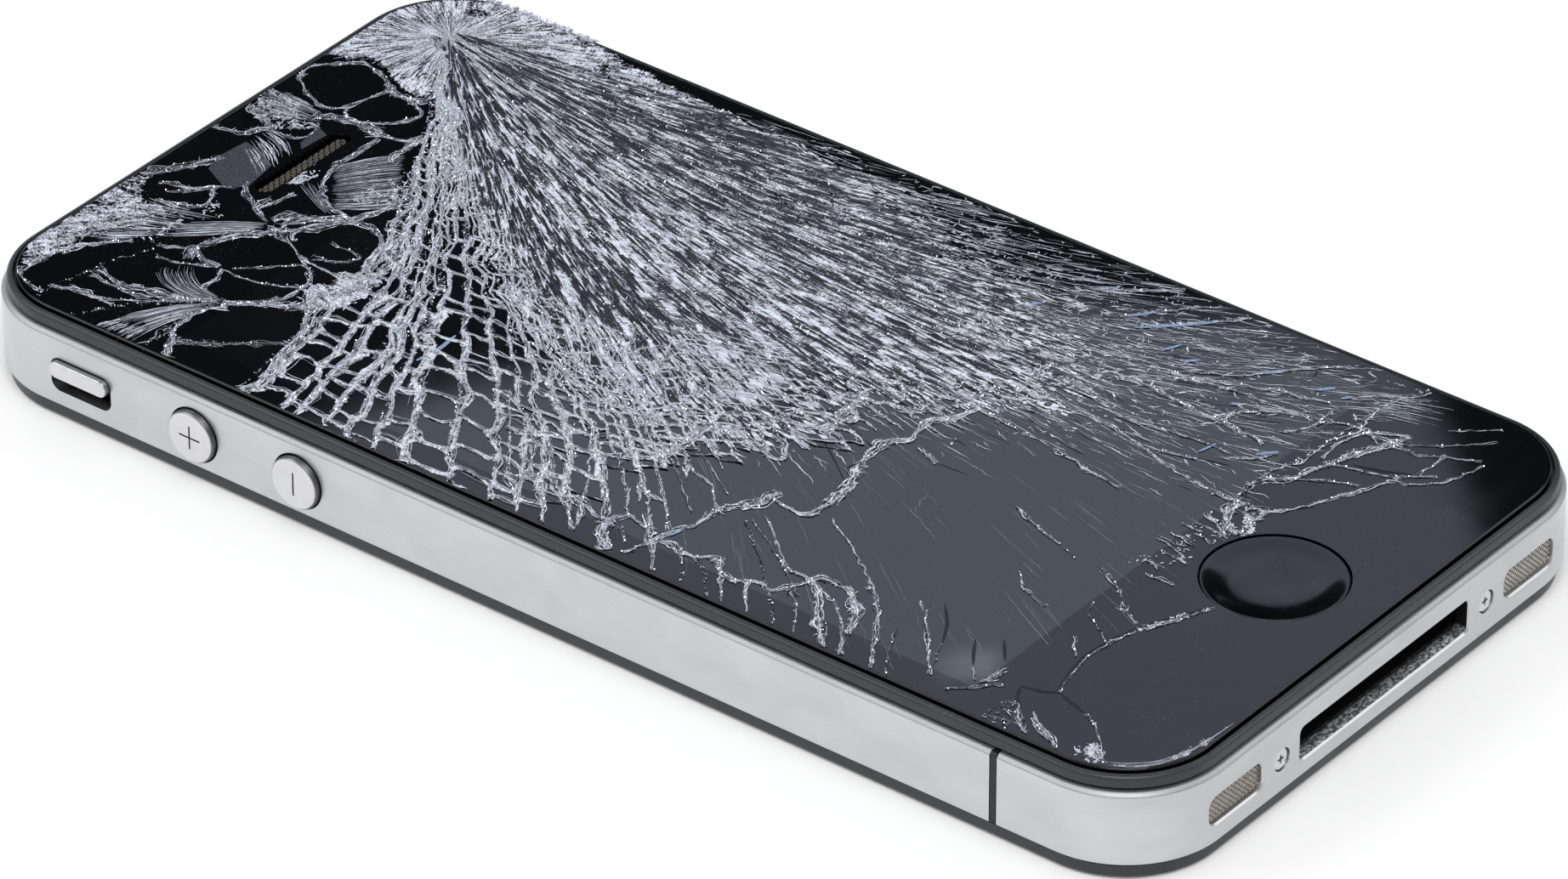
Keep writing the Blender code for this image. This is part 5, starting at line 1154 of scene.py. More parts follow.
def fan(guide, share):
    """The place in the plan of each guide number and share, in millimetres.

    Along a guide the curve between two of its points is a cubic whose slope at each point is half
    the step between that point's neighbours. Between two guides the places mix in proportion."""
    guide, share = np.broadcast_arrays(np.asarray(guide, float), np.asarray(share, float))
    i = np.clip(guide.astype(int), 0, 14)
    j = np.clip((share * 6).astype(int), 0, 5)
    f = (share * 6 - j)[..., None]

    def along(number):
        before = FAN_GUIDES[number, np.maximum(j - 1, 0)]
        begin, end = FAN_GUIDES[number, j], FAN_GUIDES[number, j + 1]
        after = FAN_GUIDES[number, np.minimum(j + 2, 6)]
        rise = f * f * (3 - 2 * f)
        slopes = (end - before) / 2 * f * (1 - f) ** 2 - (after - begin) / 2 * f * f * (1 - f)
        return begin + (end - begin) * rise + slopes

    mix = (guide - i)[..., None]
    return (along(i) * (1 - mix) + along(i + 1) * mix) / TO_PANE


print("the struck corner is at", fan(3, 0).round(1))


# %% Noise, and tables along the guides
def lattice(x, y, seed=0):
    """Smooth noise from 0 to 1: a scrambled value at each whole-number place, blended between
    the four round a point by f * f * (3 - 2f)."""
    i, j = np.floor(x), np.floor(y)
    fx, fy = x - i, y - j
    fx, fy = fx * fx * (3 - 2 * fx), fy * fy * (3 - 2 * fy)

    def value(a, b):
        scrambled = np.sin(a * 127.1 + b * 311.7 + seed * 74.7) * 43758.5453
        return scrambled - np.floor(scrambled)

    low = value(i, j) * (1 - fx) + value(i + 1, j) * fx
    high = value(i, j + 1) * (1 - fx) + value(i + 1, j + 1) * fx
    return low * (1 - fy) + high * fy


def table(values, guide):
    """A quantity given at each whole guide, read between them in proportion."""
    return np.interp(guide, np.arange(len(values)), values)


# Where the crushed part of the fan ends, as a share of each guide
CRUSHED_TO = [
    0.16, 0.22, 0.30, 0.44, 0.66, 0.72, 0.75, 0.66, 0.70, 0.75, 0.77, 0.72, 0.71, 0.70, 0.75, 0.62,
]


def crushed_end(guide):
    """The share of its guide at which the crushed part ends."""
    return table(CRUSHED_TO, guide)


# How white the crushed part is at each guide
WHITENESS = [
    0.52, 0.62, 0.66, 0.68, 0.68, 0.68, 0.67, 0.63, 0.58, 0.54, 0.48, 0.42, 0.37, 0.35, 0.34, 0.42,
]

guides_fine, shares_fine = np.meshgrid(
    np.linspace(0, 15, 241), np.linspace(0.0, 1.0, 161), indexing="ij",
)
fan_plan = fan(guides_fine, shares_fine)
low, high = fan_plan.min((0, 1)), fan_plan.max((0, 1))
print("fan reaches", np.round(low, 1), "to", np.round(high, 1))

# %% [markdown]
# ## How a crack looks
#
# A crack in clear glass shows because its two walls mirror light. The walls are not smooth: they
# carry ridges along the crack's run, so that a crack is a bundle of bright threads, wide where
# it leans and narrow where it stands upright. Each thread is modelled as a low roof, 0.05 to
# 0.3 mm wide, whose two slopes catch the light differently. A thread carries its own brightness,
# from black, where there is only a gap, to white.

# %% Threads
threads = {"points": [], "faces": [], "tone": [], "cold": [], "count": 0}


def lay(centres, half, tone, rise=0.25, level=0.0, cold=0.0):
    """Adds threads: low roofs along rows of plan points.

    At each point of a row the unit direction d is found from its neighbours, and n is d turned a
    quarter. The roof's three points there are centre + half * n, centre - half * n, both on the
    glass, and centre, higher by rise times the half width."""
    step = np.gradient(centres, axis=1)
    step /= np.maximum(np.linalg.norm(step, axis=2, keepdims=True), 1e-9)
    normal = np.stack([-step[..., 1], step[..., 0]], -1)
    half = np.broadcast_to(half, centres.shape[:2])
    tone = np.broadcast_to(tone, centres.shape[:2])
    low = np.broadcast_to(GLASS_TOP - 0.012 + level, half.shape)
    left = np.concatenate([centres + normal * half[..., None], low[..., None]], -1)
    right = np.concatenate([centres - normal * half[..., None], low[..., None]], -1)
    ridge = np.concatenate([centres, (low + rise * half + 0.006)[..., None]], -1)
    rows = np.stack([left, ridge, right], 2)
    count, length = half.shape
    first = threads["count"] + (np.arange(count)[:, None] * length + np.arange(length - 1)) * 3
    first = first.reshape(-1, 1)
    quads = [first + np.array([0, 1, 4, 3]), first + np.array([1, 2, 5, 4])]
    threads["points"].append(rows.reshape(-1, 3))
    threads["faces"].append(np.concatenate(quads))
    threads["tone"].append(np.repeat(tone.reshape(-1), 3))
    threads["cold"].append(np.full(count * length * 3, cold))
    threads["count"] += count * length * 3


print("points of threads so far:", threads["count"])


# %% Broken glass
def fractured_glass():
    """Broken glass, whose threads go from the black of a gap to white; a few of them are bluish,
    a painted reflection of a window.
    """
    material, shader = start("fractured glass", "#d8dce2", 0.28)
    tone = add(material, "Attribute", attribute_name="tone").outputs["Fac"]
    cold = add(material, "Attribute", attribute_name="cold").outputs["Fac"]
    fleck = grain(material, (0.12, 0.12, 0.12), 2.0)
    varied = add(material, "MapRange", [fleck, 0.3, 0.7, 0.55, 1.25])
    varied = add(material, "Math", [tone, varied], operation="MULTIPLY")
    hues = []
    # The second, bluish pair is a painted reflection of a window, for the threads marked for it
    for dark, pale in (("#07080b", "#e6edfc"), ("#0a0d14", "#9fb6e0")):
        colours = {0: varied, 6: linear(dark), 7: linear(pale)}
        hues.append(add(material, "Mix", colours, data_type="RGBA").outputs[2])
    shown = add(material, "Mix", {0: cold, 6: hues[0], 7: hues[1]}, data_type="RGBA").outputs[2]
    plug(material, shader.inputs["Base Color"], shown)
    rough = add(material, "MapRange", [fleck, 0.35, 0.65, 0.16, 0.40])
    plug(material, shader.inputs["Roughness"], rough)
    return material


FRACTURE = fractured_glass()
print("materials so far:", len(bpy.data.materials))


# %% Threads made into a piece
def surface(name, points, faces, finish, values, flat_map=None):
    """One piece of four-sided faces in millimetres, with values at its points and its own map."""
    used, faces = np.unique(faces, return_inverse=True)
    faces = faces.reshape(-1, 4).astype(np.int32)
    mesh = bpy.data.meshes.new(name)
    mesh.vertices.add(len(used))
    mesh.vertices.foreach_set("co", (points[used] * MM).astype(np.float32).reshape(-1))
    mesh.loops.add(faces.size)
    mesh.loops.foreach_set("vertex_index", faces.reshape(-1))
    mesh.polygons.add(len(faces))
    mesh.polygons.foreach_set("loop_start", np.arange(len(faces), dtype=np.int32) * 4)
    mesh.update(calc_edges=True)
    for key, value in values.items():
        attribute = mesh.attributes.new(key, "FLOAT", "POINT")
        attribute.data.foreach_set("value", value[used].astype(np.float32))
    if flat_map is not None:
        layer = mesh.uv_layers.new(name="fan")
        corner_places = flat_map[used][faces.reshape(-1)]
        layer.data.foreach_set("uv", corner_places.astype(np.float32).reshape(-1))
    mesh.materials.append(finish)
    piece = bpy.data.objects.new(name, mesh)
    scene.collection.objects.link(piece)
    return own(piece, "housing", "black_glass")


def weld_threads(name):
    """Makes one piece of all the threads laid since the last."""
    points, faces = np.concatenate(threads["points"]), np.concatenate(threads["faces"])
    values = {key: np.concatenate(threads[key]) for key in ("tone", "cold")}
    threads.update(points=[], faces=[], tone=[], cold=[], count=0)
    return surface(name, points, faces, FRACTURE, values)


def kept(places, margin=0.15):
    """Which plan points lie on the pane, clear of its rim and holes."""
    flat_places = places.reshape(-1, 2)
    on = inside_by(flat_places, outline(PANE_INSET + margin, 6)) > 0
    on &= inside_by(flat_places, ear_hole) < -margin
    on &= np.linalg.norm(flat_places - [0, home.y], axis=1) > HOME_HOLE + margin
    return on.reshape(places.shape[:-1])


print(round(100 * float(kept(fan_plan).mean())), "% of the fan's places lie on the pane")


# %% [markdown]
# ## Splinters of the fan
#
# In the crushed part the splinters lie side by side. Each shows as a streak 1 to 6 mm long that
# tapers at both ends. Their brightness changes from place to place in patches that are drawn out
# along the fan, so that some lie dark between white ones.

# %% Crushed splinters
random = np.random.default_rng(11)


def sown(count, density):
    """Fan places scattered so that their number per square millimetre follows a density given
    for each cell of the fine fan grid."""
    along = np.diff(fan_plan, axis=1)[:-1]
    across = np.diff(fan_plan, axis=0)[:, :-1]
    area = np.abs(along[..., 0] * across[..., 1] - along[..., 1] * across[..., 0])
    weight = (area * density[:-1, :-1]).reshape(-1)
    chosen = random.choice(weight.size, count, p=weight / weight.sum())
    g, t = guides_fine[:-1, :-1].reshape(-1)[chosen], shares_fine[:-1, :-1].reshape(-1)[chosen]
    return g + random.uniform(0, 15 / 240, count), t + random.uniform(0, 1 / 160, count)


def speed(guide, share):
    """Millimetres of run for each unit of share, at fan places."""
    step = fan(guide, np.minimum(share + 0.005, 1)) - fan(guide, np.maximum(share - 0.005, 0))
    return np.linalg.norm(step, axis=-1) / 0.01


def crushed_share(guide, share, blur=0.035):
    """1 where the fan is crushed, falling to 0 where its long cracks stand apart."""
    ragged = 0.05 * (lattice(guide * 6.0, guide * 0, 3) - 0.5)
    return np.clip((crushed_end(guide) + ragged - share) / blur + 0.5, 0, 1)


def patches(guide, run):
    """Brightness in patches drawn out along the fan: two sizes of noise, narrow across."""
    coarse = lattice(guide * 9.0, run / 5.5, 1)
    fine = lattice(guide * 28.0, run / 2.2, 2)
    return 0.55 * coarse + 0.45 * fine


def streaks(count, density, lengths, halves, tone_of, points=5, drift=0.05, level=0.0, cold=0.0):
    """Streaks along the fan. Their lengths and half widths in millimetres are drawn between two
    limits each, and a streak's width goes to nothing at both ends as sin(pi * share) does."""
    g, t = sown(count, density)
    length = random.uniform(*lengths, count) * random.uniform(0.5, 1.0, count)
    reach = length / np.maximum(speed(g, t), 1.0)
    s = np.linspace(0, 1, points)
    shares = np.clip(t[:, None] + reach[:, None] * (s - 0.5), 0.0, 1.0)
    wander = (
        random.normal(0, drift, (count, 1)) * (s - 0.5)
        + random.normal(0, drift * 0.12, (count, points))
    )
    guides = np.clip(g[:, None] + wander, 0, 15)
    centres = fan(guides, shares)
    half = random.uniform(*halves, count)[:, None] * (0.08 + np.sin(np.pi * s) ** 0.8)
    run = t * speed(g, t)
    tone = tone_of(g, t, run)[:, None] * random.uniform(0.75, 1.25, (count, points))
    good = kept(centres).all(1)
    order = np.argsort(tone_of(g, t, run)[good])
    stack = level + 0.02 * np.linspace(0, 1, good.sum())[:, None]
    lay(centres[good][order], half[good][order], np.clip(tone[good][order], 0, 1), 0.3, stack, cold)


crushed_density = crushed_share(guides_fine, shares_fine)
narrowing = np.clip(shares_fine / 0.06, 0.2, 1)
run_fine = shares_fine * speed(guides_fine, shares_fine)
patch_map = patches(guides_fine, run_fine)
print(round(100 * float(crushed_density.mean())), "% of the fan is crushed")

# %% Ground glass
def splintered(material, level, source, splinters):
    """A level plus a random amount for each cell of some Voronoi patterns. Each pattern is given
    by the width and length of its cells and by how far it goes up or down."""
    for across, length, weight in splinters:
        sized = {"Vector": source, "Scale": (1 / across, 1 / length, 1)}
        counted = add(material, "Mapping", sized)
        cell = {"Vector": counted, "Scale": 1.0}
        cell = add(material, "TexVoronoi", cell, voronoi_dimensions="2D").outputs["Color"]
        value = add(material, "SeparateColor", {"Color": cell}).outputs["Red"]
        part = add(material, "MapRange", [value, 0, 1, -weight, weight])
        level = add(material, "Math", [level, part], operation="ADD")
    return level


def ground_glass():
    """Glass ground to splinters and crumbs, read in the fan's own millimetres: long splinters,
    short ones and crumbs, each with a brightness of its own."""
    material, shader = start("ground glass", "#b8bcc4", 0.3)
    tone = add(material, "Attribute", attribute_name="tone").outputs["Fac"]
    own_map = add(material, "UVMap", uv_map="fan").outputs["UV"]
    splinters = ((0.17, 2.1, 0.50), (0.09, 0.65, 0.40), (0.10, 0.13, 0.50))
    level = splintered(material, tone, own_map, splinters)
    share = add(material, "MapRange", [level, 0, 1.1])
    colours = {0: share, 6: linear("#05060a"), 7: linear("#e6edfc")}
    shown = add(material, "Mix", colours, data_type="RGBA").outputs[2]
    plug(material, shader.inputs["Base Color"], shown)
    rough = add(material, "MapRange", [level, 0, 1, 0.12, 0.40])
    plug(material, shader.inputs["Roughness"], rough)
    return material


GROUND = ground_glass()
print("materials so far:", len(bpy.data.materials))

# %% A sheet that follows the fan
# The ground glass's own map gives each gap between two guides this width in millimetres
MAP_WIDTH = 1.9


def sheet(name, guides, shares, tone, whole, lift):
    """A thin layer that follows the fan, given on a grid of guides and shares: its brightness,
    which of its cells are whole, and its height over the pane's top."""
    plan = fan(guides, shares)
    run = shares * speed(guides, shares)
    points = np.concatenate([plan, (GLASS_TOP + lift)[..., None]], -1).reshape(-1, 3)
    rows, columns = guides.shape
    number = np.arange(rows * columns).reshape(rows, columns)
    faces = np.stack([number[:-1, :-1], number[:-1, 1:], number[1:, 1:], number[1:, :-1]], -1)
    whole = whole[:-1, :-1] & kept(plan)[:-1, :-1] & kept(plan)[1:, 1:]
    faces = faces[whole]
    flat_map = np.stack([guides * MAP_WIDTH, run], -1).reshape(-1, 2)
    return surface(name, points, faces, GROUND, {"tone": tone.reshape(-1)}, flat_map)


sheet_guides, sheet_shares = np.meshgrid(
    np.linspace(0, 15, 421), np.linspace(0.0, 0.86, 151), indexing="ij",
)
sheet_run = sheet_shares * speed(sheet_guides, sheet_shares)
wholeness = crushed_share(sheet_guides, sheet_shares, 0.09)
border = np.exp(-(((crushed_end(sheet_guides) - sheet_shares) / 0.07) ** 2))
border = border * np.clip((sheet_guides - 2.5) / 2, 0, 1)
ground_tone = (
    table(WHITENESS, sheet_guides) + 0.02 + 0.34 * (patches(sheet_guides, sheet_run) - 0.5)
    + 0.14 * border
)
relief = (
    0.012 + 0.05 * lattice(sheet_guides * 14, sheet_run / 1.2, 5)
    + 0.02 * random.uniform(0, 1, sheet_guides.shape)
)
whole = wholeness > random.uniform(0, 1, wholeness.shape) * 0.9 + 0.05
sheet("ground_glass", sheet_guides, sheet_shares, ground_tone, whole, relief)

# %% Splinters on it
def white_tone(g, t, run):
    """The fan's whiteness at each place, brighter where its patches are."""
    shine = np.clip((patches(g, run) - 0.3) / 0.4, 0, 1)
    white = table(WHITENESS, g) * (0.5 + 1.3 * shine)
    return np.clip(white * random.uniform(0.5, 1.3, g.shape), 0, 1)


def any_tone(low, high):
    """A brightness drawn between two limits for each streak, wherever it lies."""
    return lambda g, t, run: random.uniform(low, high, g.shape)


VOIDS = [1, 1, 1, 1, 1, 0.9, 0.8, 0.7, 0.55, 0.5, 0.5, 0.6, 0.7, 0.8, 0.8, 0.8]
voids = crushed_density * narrowing * np.clip((0.60 - patch_map) / 0.16, 0.30, 1)
voids = voids * table(VOIDS, guides_fine)
streaks(3600, voids, (1.2, 4.6), (0.035, 0.15), any_tone(0.0, 0.04), level=0.065, drift=0.02)
weld_threads("gaps_in_fan")
whites = crushed_density * narrowing * np.clip((patch_map - 0.30) / 0.2, 0.1, 1)
streaks(5500, whites, (0.3, 1.8), (0.008, 0.022), white_tone, level=0.09)
weld_threads("splinters")

# %% [markdown]
# ## Crumbs and flakes
#
# Between the splinters the glass is ground to crumbs. Each is a short dash that lies at any
# angle; along a crack most of them lie near to its run.

# %% Dashes
def dashes(
    centres, headings, lengths, halves, tones, level=0.05, cold=0.0, points=3, anywhere=False,
):
    """Short straight threads, each with its middle, heading, length and half width."""
    s = np.linspace(-0.5, 0.5, points)
    heading = np.stack([np.cos(headings), np.sin(headings)], -1)
    rows = centres[:, None] + heading[:, None] * (lengths[:, None] * s)[..., None]
    half = halves[:, None] * (0.12 + np.cos(np.pi * s) ** 0.8)
    good = kept(rows).all(1) | anywhere
    tone = np.clip(tones[:, None] * random.uniform(0.7, 1.3, (len(tones), points)), 0, 1)
    lay(rows[good], half[good], tone[good], 0.35, level, cold)


def crumbs(
    count, polygon, lengths=(0.1, 0.7), halves=(0.02, 0.08), tones=(0.25, 1.0), patch=2.2,
    bare=0.42,
):
    """Dashes strewn in a polygon, in patches."""
    polygon = np.array(polygon, float)
    low, high = polygon.min(0), polygon.max(0)
    places = random.uniform(low, high, (count * 4, 2))
    places = places[inside_by(places, polygon) > 0]
    thick = lattice(places[:, 0] / patch, places[:, 1] / patch, 8)
    chance = np.clip((thick - bare) / 0.2, 0.06, 1)
    places = places[random.uniform(0, 1, len(places)) < chance][:count]
    n = len(places)
    dashes(
        places, random.uniform(0, np.pi, n), random.uniform(*lengths, n),
        random.uniform(*halves, n), random.uniform(*tones, n), random.uniform(0.03, 0.06),
    )


# %% [markdown]
# ## Ropes
#
# Where the shards are larger, the cracks between them stand out one by one. Each is a rope of
# threads along a line of points. It swells towards the points, because cracks meet there. One
# function draws them all, so that a crack is added by writing down the points that it passes.

# %% Smooth lines
def flowing(line, step=0.24):
    """A line's points joined by a smooth curve, and the share of its length at each new point.

    Between points p1 and p2 with neighbours p0 and p3 the curve is a cubic. Its slope at p1 points
    along p2 - p0 and at p2 along p3 - p1, and both are 0.8 of the way from p1 to p2 long."""
    line = np.asarray(line, float)
    lengths = np.linalg.norm(np.diff(line, axis=0), axis=1)
    counts = np.maximum(np.ceil(lengths / step).astype(int), 1)
    piece = np.repeat(np.arange(len(lengths)), counts)
    f = np.concatenate([np.arange(c) / c for c in counts])[:, None]
    padded = np.concatenate([line[:1], line, line[-1:]])
    p0, p1, p2, p3 = (padded[piece + k] for k in range(4))
    even = lengths[piece][:, None]
    length_in = np.maximum(np.linalg.norm(p2 - p0, axis=1, keepdims=True), 1e-6)
    length_out = np.maximum(np.linalg.norm(p3 - p1, axis=1, keepdims=True), 1e-6)
    slope_in = (p2 - p0) / length_in * even * 0.8
    slope_out = (p3 - p1) / length_out * even * 0.8
    rise = f * f * (3 - 2 * f)
    curve = p1 + (p2 - p1) * rise + slope_in * f * (1 - f) ** 2 - slope_out * f * f * (1 - f)
    places = np.concatenate([piece + f[:, 0], [len(lengths)]])
    return np.concatenate([curve, line[-1:]]), places


print("a bent line of 3 points becomes", len(flowing([(0, 0), (1, 1), (2, 0)])[0]), "points")

# %% Ropes
# All ropes are drawn a little slimmer, and with a few more threads, than their lists say
SLIMMER, FULLER = 0.95, 1.1
rope_spots = []


def rope(line, half, count, tone, seed, swell=0.9, spread=0.75, level=0.06, thick=(0.010, 0.040)):
    """A bundle of threads along a line, with a half width given at each point of the line.

    Thread k keeps to its own lane, k's share of the rope's width, and wanders from it by smooth
    noise along the run. Its own width and brightness change along the run too, so that threads
    fade and come back."""
    curve, places = flowing(line)
    if len(curve) < 4:
        return
    run = np.concatenate([[0], np.cumsum(np.linalg.norm(np.diff(curve, axis=0), axis=1))])
    shake = (
        np.stack([lattice(run / 0.7, run * 0, seed + 8), lattice(run / 0.7, run * 0, seed + 9)], -1)
        - 0.5
    )
    curve = curve + 0.22 * shake
    width = SLIMMER * np.interp(places, np.arange(len(half)), half)
    count = int(count * FULLER)
    to_point = np.abs(places - np.round(places)) * run[-1] / max(places[-1], 1)
    width = width * (1 + swell * np.exp(-to_point / 0.5))
    width = width * (0.35 + 1.3 * lattice(run / 1.3, run * 0, seed))
    step = np.gradient(curve, axis=0)
    step /= np.linalg.norm(step, axis=1, keepdims=True)
    normal = np.stack([-step[:, 1], step[:, 0]], -1)
    k = np.arange(count)[:, None]
    lanes = (
        (2 * (k + 0.5) / count - 1)
        + spread * 2 * (lattice(run[None] / 1.1, k * 9.7, seed + 1) - 0.5)
    )
    jag = 0.09 * (lattice(run[None] / 0.22, k * 3.1, seed + 2) - 0.5)
    offset = lanes * width + jag
    centres = curve[None] + normal[None] * offset[..., None]
    own_half = (thick[1] - thick[0]) * lattice(run[None] / 0.55, k * 5.3, seed + 3)
    own_half = thick[0] + own_half * (0.5 + width / 0.2)
    ends = np.clip(np.minimum(run, run[-1] - run) / 0.25, 0.1, 1)
    shade = tone * (0.25 + 1.1 * lattice(k * 1.7, k * 0.0, seed + 4) ** 0.8)
    shade = shade * (0.08 + 4.2 * lattice(run[None] / 0.35, k * 7.9, seed + 5) ** 2.6)
    shade = shade * (0.35 + 1.3 * lattice(run[None] / 1.8, k * 2.3, seed + 10))
    good = kept(centres, 0.05).all(1)
    if good.any():
        lay(
            centres[good], (own_half * ends)[good], np.clip(shade, 0, 1)[good], 0.5,
            level + 0.01 * (k % 3)[good],
        )
    # chips of glass strewn along it, most of them close to its run
    n = int(run[-1] * (2 + 26 * width.mean()))
    place = random.integers(0, len(run), n)
    across = random.uniform(-1, 1, n) * 1.1 * width[place]
    spots = curve[place] + normal[place] * across[:, None]
    rope_spots.append(spots)
    dashes(
        spots,
        np.arctan2(step[place, 1], step[place, 0]) + random.normal(0, 0.85, n),
        random.uniform(0.06, 0.12 + 1.9 * width[place]), random.uniform(0.012, 0.055, n),
        tone * 1.7 * random.uniform(0, 1, n) ** 2.2, level + 0.03,
    )
    # and under a wide rope a faint veil of ground glass
    if width.mean() > 0.08:
        body = (width * (0.35 + 0.75 * lattice(run / 0.35, run * 0, seed + 6)) * ends)[None]
        veil = (0.08 * tone * (0.1 + 2.0 * lattice(run / 0.45, run * 0, seed + 7) ** 2))[None]
        edge = normal[None] * body[..., None]
        if (kept(curve[None] + edge, 0.02) & kept(curve[None] - edge, 0.02)).all():
            lay(curve[None], body, veil, 0.10, level - 0.035)


print("chips along the ropes so far:", len(rope_spots))

# %% [markdown]
# ## The web
#
# Left of the crushed part the fan opens into a web. Its shards stay whole and dark, and the
# ropes of crushed glass between them are 0.2 to 0.6 mm wide, wider where they meet, so that each
# shard shows as a rounded opening. It is modelled the other way round for that reason: as cells,
# each with a rounded opening in it.

# %% Web
def around(count, power):
    """Points round a square of half size 1 and round the rounded shape inside it, at the same
    angles. The rounded one is (sign c * |c| ** (2 / power), sign s * |s| ** (2 / power)), with c
    and s the cosine and sine."""
    angle = (np.arange(count) + 0.5) / count * 2 * np.pi
    c, s = np.cos(angle), np.sin(angle)
    square = np.stack([c, s], -1) / np.maximum(np.abs(c), np.abs(s))[:, None]
    soft_c, soft_s = (np.sign(value) * np.abs(value) ** (2 / power) for value in (c, s))
    return square, np.stack([soft_c, soft_s], -1)


def warped(plan, amount=0.60, size=2.6):
    """Plan points moved a little by smooth noise, so that no row of cells stays even."""
    x, y = plan[..., 0] / size, plan[..., 1] / size
    shift = np.stack([lattice(x, y, 71) - 0.5, lattice(x, y, 72) - 0.5], -1)
    x, y = x * 2.7, y * 2.7
    shift += 0.35 * np.stack([lattice(x, y, 73) - 0.5, lattice(x, y, 74) - 0.5], -1)
    return plan + shift * 2 * amount


def cells(name, g0, g1, t0, t1, half, tone, count=20, rows=4, power=4.0):
    """The ropes between shards. Each shard is a cell of the fan between two guides and two
    shares, which may be given at its two ends. The strip from the cell's border to a rounded
    opening inside it is filled: half a rope's width at each side, more at the corners."""
    n = len(tone)
    square, soft = around(count, power)
    v = np.linspace(0, 1, rows)[None, :, None, None]
    middle_g, middle_t = (g0 + g1) / 2, (t0 + t1) / 2
    reach_g, reach_t = (g1 - g0) / 2, (t1 - t0) / 2
    side = np.linalg.norm(fan(g1, middle_t) - fan(g0, middle_t), axis=-1) / 2
    length = np.linalg.norm(fan(middle_g, t1) - fan(middle_g, t0), axis=-1) / 2
    rung = half * random.uniform(0.10, 1.0, n) ** 1.2
    room = np.stack([1 - half / np.maximum(side, 0.02), 1 - rung / np.maximum(length, 0.02)], -1)
    room = np.clip(room, 0.04, 0.97)[:, None, None]
    uneven = 1 + 0.30 * (random.uniform(0, 1, (n, 1, count, 1)) - 0.5)
    inner = soft[None, None] * np.clip(room * uneven, 0, 0.985)
    square_all = np.broadcast_to(square, (n, 1, count, 2))
    place = square_all * (1 - v) + inner * v
    lean = random.uniform(-0.26, 0.26, (n, 1, 1))
    g = middle_g[:, None, None] + reach_g[:, None, None] * place[..., 0]
    leant = place[..., 1] + lean * place[..., 0] * (1 - place[..., 1] ** 2)
    t = middle_t[:, None, None] + reach_t[:, None, None] * leant
    plan = warped(fan(np.clip(g, 0, 15), np.clip(t, 0, 1)))
    lift = (
        0.075 * (1 - v[..., 0] ** 2) + 0.03 * random.uniform(0, 1, (n, rows, count))
        + 0.012 * (1 - v[..., 0])
    )
    points = np.concatenate([plan, (GLASS_TOP + 0.004 + lift)[..., None]], -1)
    fibre = (
        random.uniform(0.25, 1.0, (n, rows, 1))
        * (0.2 + 2.2 * random.uniform(0, 1, (n, rows, count)) ** 1.9)
    )
    shade = np.clip(tone[:, None, None] * fibre, 0, 1)
    shade[:, -1] *= 0.5
    first = (np.arange(n) * rows * count)[:, None, None]
    ring = np.arange(count)
    r = np.arange(rows - 1)[:, None] * count
    a, b = first + r + ring, first + r + (ring + 1) % count
    faces = np.stack([a, b, b + count, a + count], -1)
    good = kept(points[..., :2], 0.03)
    whole = good[:, :-1] & good[:, 1:] & np.roll(good, -1, 2)[:, :-1]
    shade = shade.reshape(-1)
    values = {"tone": shade, "cold": shade * 0}
    return surface(name, points.reshape(-1, 3), faces[whole], WEB_GLASS, values)


print("an opening has", len(around(20, 4.0)[1]), "points")


# %% Glass of the ropes, and the cells
def rope_glass():
    """Broken glass of the ropes: threads with facets of 0.1 to 0.3 mm on them."""
    material, shader = start("fractured glass in ropes", "#d8dce2", 0.22)
    tone = add(material, "Attribute", attribute_name="tone").outputs["Fac"]
    source = add(material, "TexCoord").outputs["Object"]
    facets = [(size * MM, size * MM, weight) for size, weight in ((0.34, 0.24), (0.15, 0.34))]
    level = splintered(material, tone, source, facets)
    share = add(material, "MapRange", [level, 0, 1])
    colours = {0: share, 6: linear("#05060a"), 7: linear("#eaf0fd")}
    shown = add(material, "Mix", colours, data_type="RGBA").outputs[2]
    plug(material, shader.inputs["Base Color"], shown)
    rough = add(material, "MapRange", [level, 0, 1, 0.10, 0.35])
    plug(material, shader.inputs["Roughness"], rough)
    return material


WEB_GLASS = rope_glass()

# The web begins where the crushed part ends and runs to the pane's edge or to the free end of
# the fan, at each guide
WEB_TO = [1.0, 1.0, 1.0, 1.0, 0.88, 0.80, 0.775, 0.70]
# Where the small cells give way to large ones, as a share beyond the crushed part
SMALL_FOR = [0.0, 0.0, 0.03, 0.12, 0.14, 0.12, 0.10, 0.10]


def web_cells(strip, begin, stop, gaps, last):
    """Strips between rays, each cut into cells by its own rungs. The strips' width is in guides,
    the gaps between rungs are two limits in millimetres."""
    found = []
    edges = np.concatenate([[0.0], np.arange(strip * 0.6, last, strip)])
    edges[1:-1] += random.uniform(-0.25, 0.25, len(edges) - 2) * strip
    for low, high in zip(edges[:-1], edges[1:]):
        middle = (low + high) / 2
        t = begin(middle) + random.uniform(-0.03, 0.01)
        end = stop(middle) + random.uniform(-0.02, 0.02)
        while t < end:
            step = random.uniform(*gaps) / max(float(speed(middle, t)), 5)
            found.append((low, high, t, t + step))
            t += step
    return np.array(found)


def small_end(guide):
    """The share of its guide at which the small cells end."""
    return min(crushed_end(guide) + table(SMALL_FOR, guide), table(WEB_TO, guide))


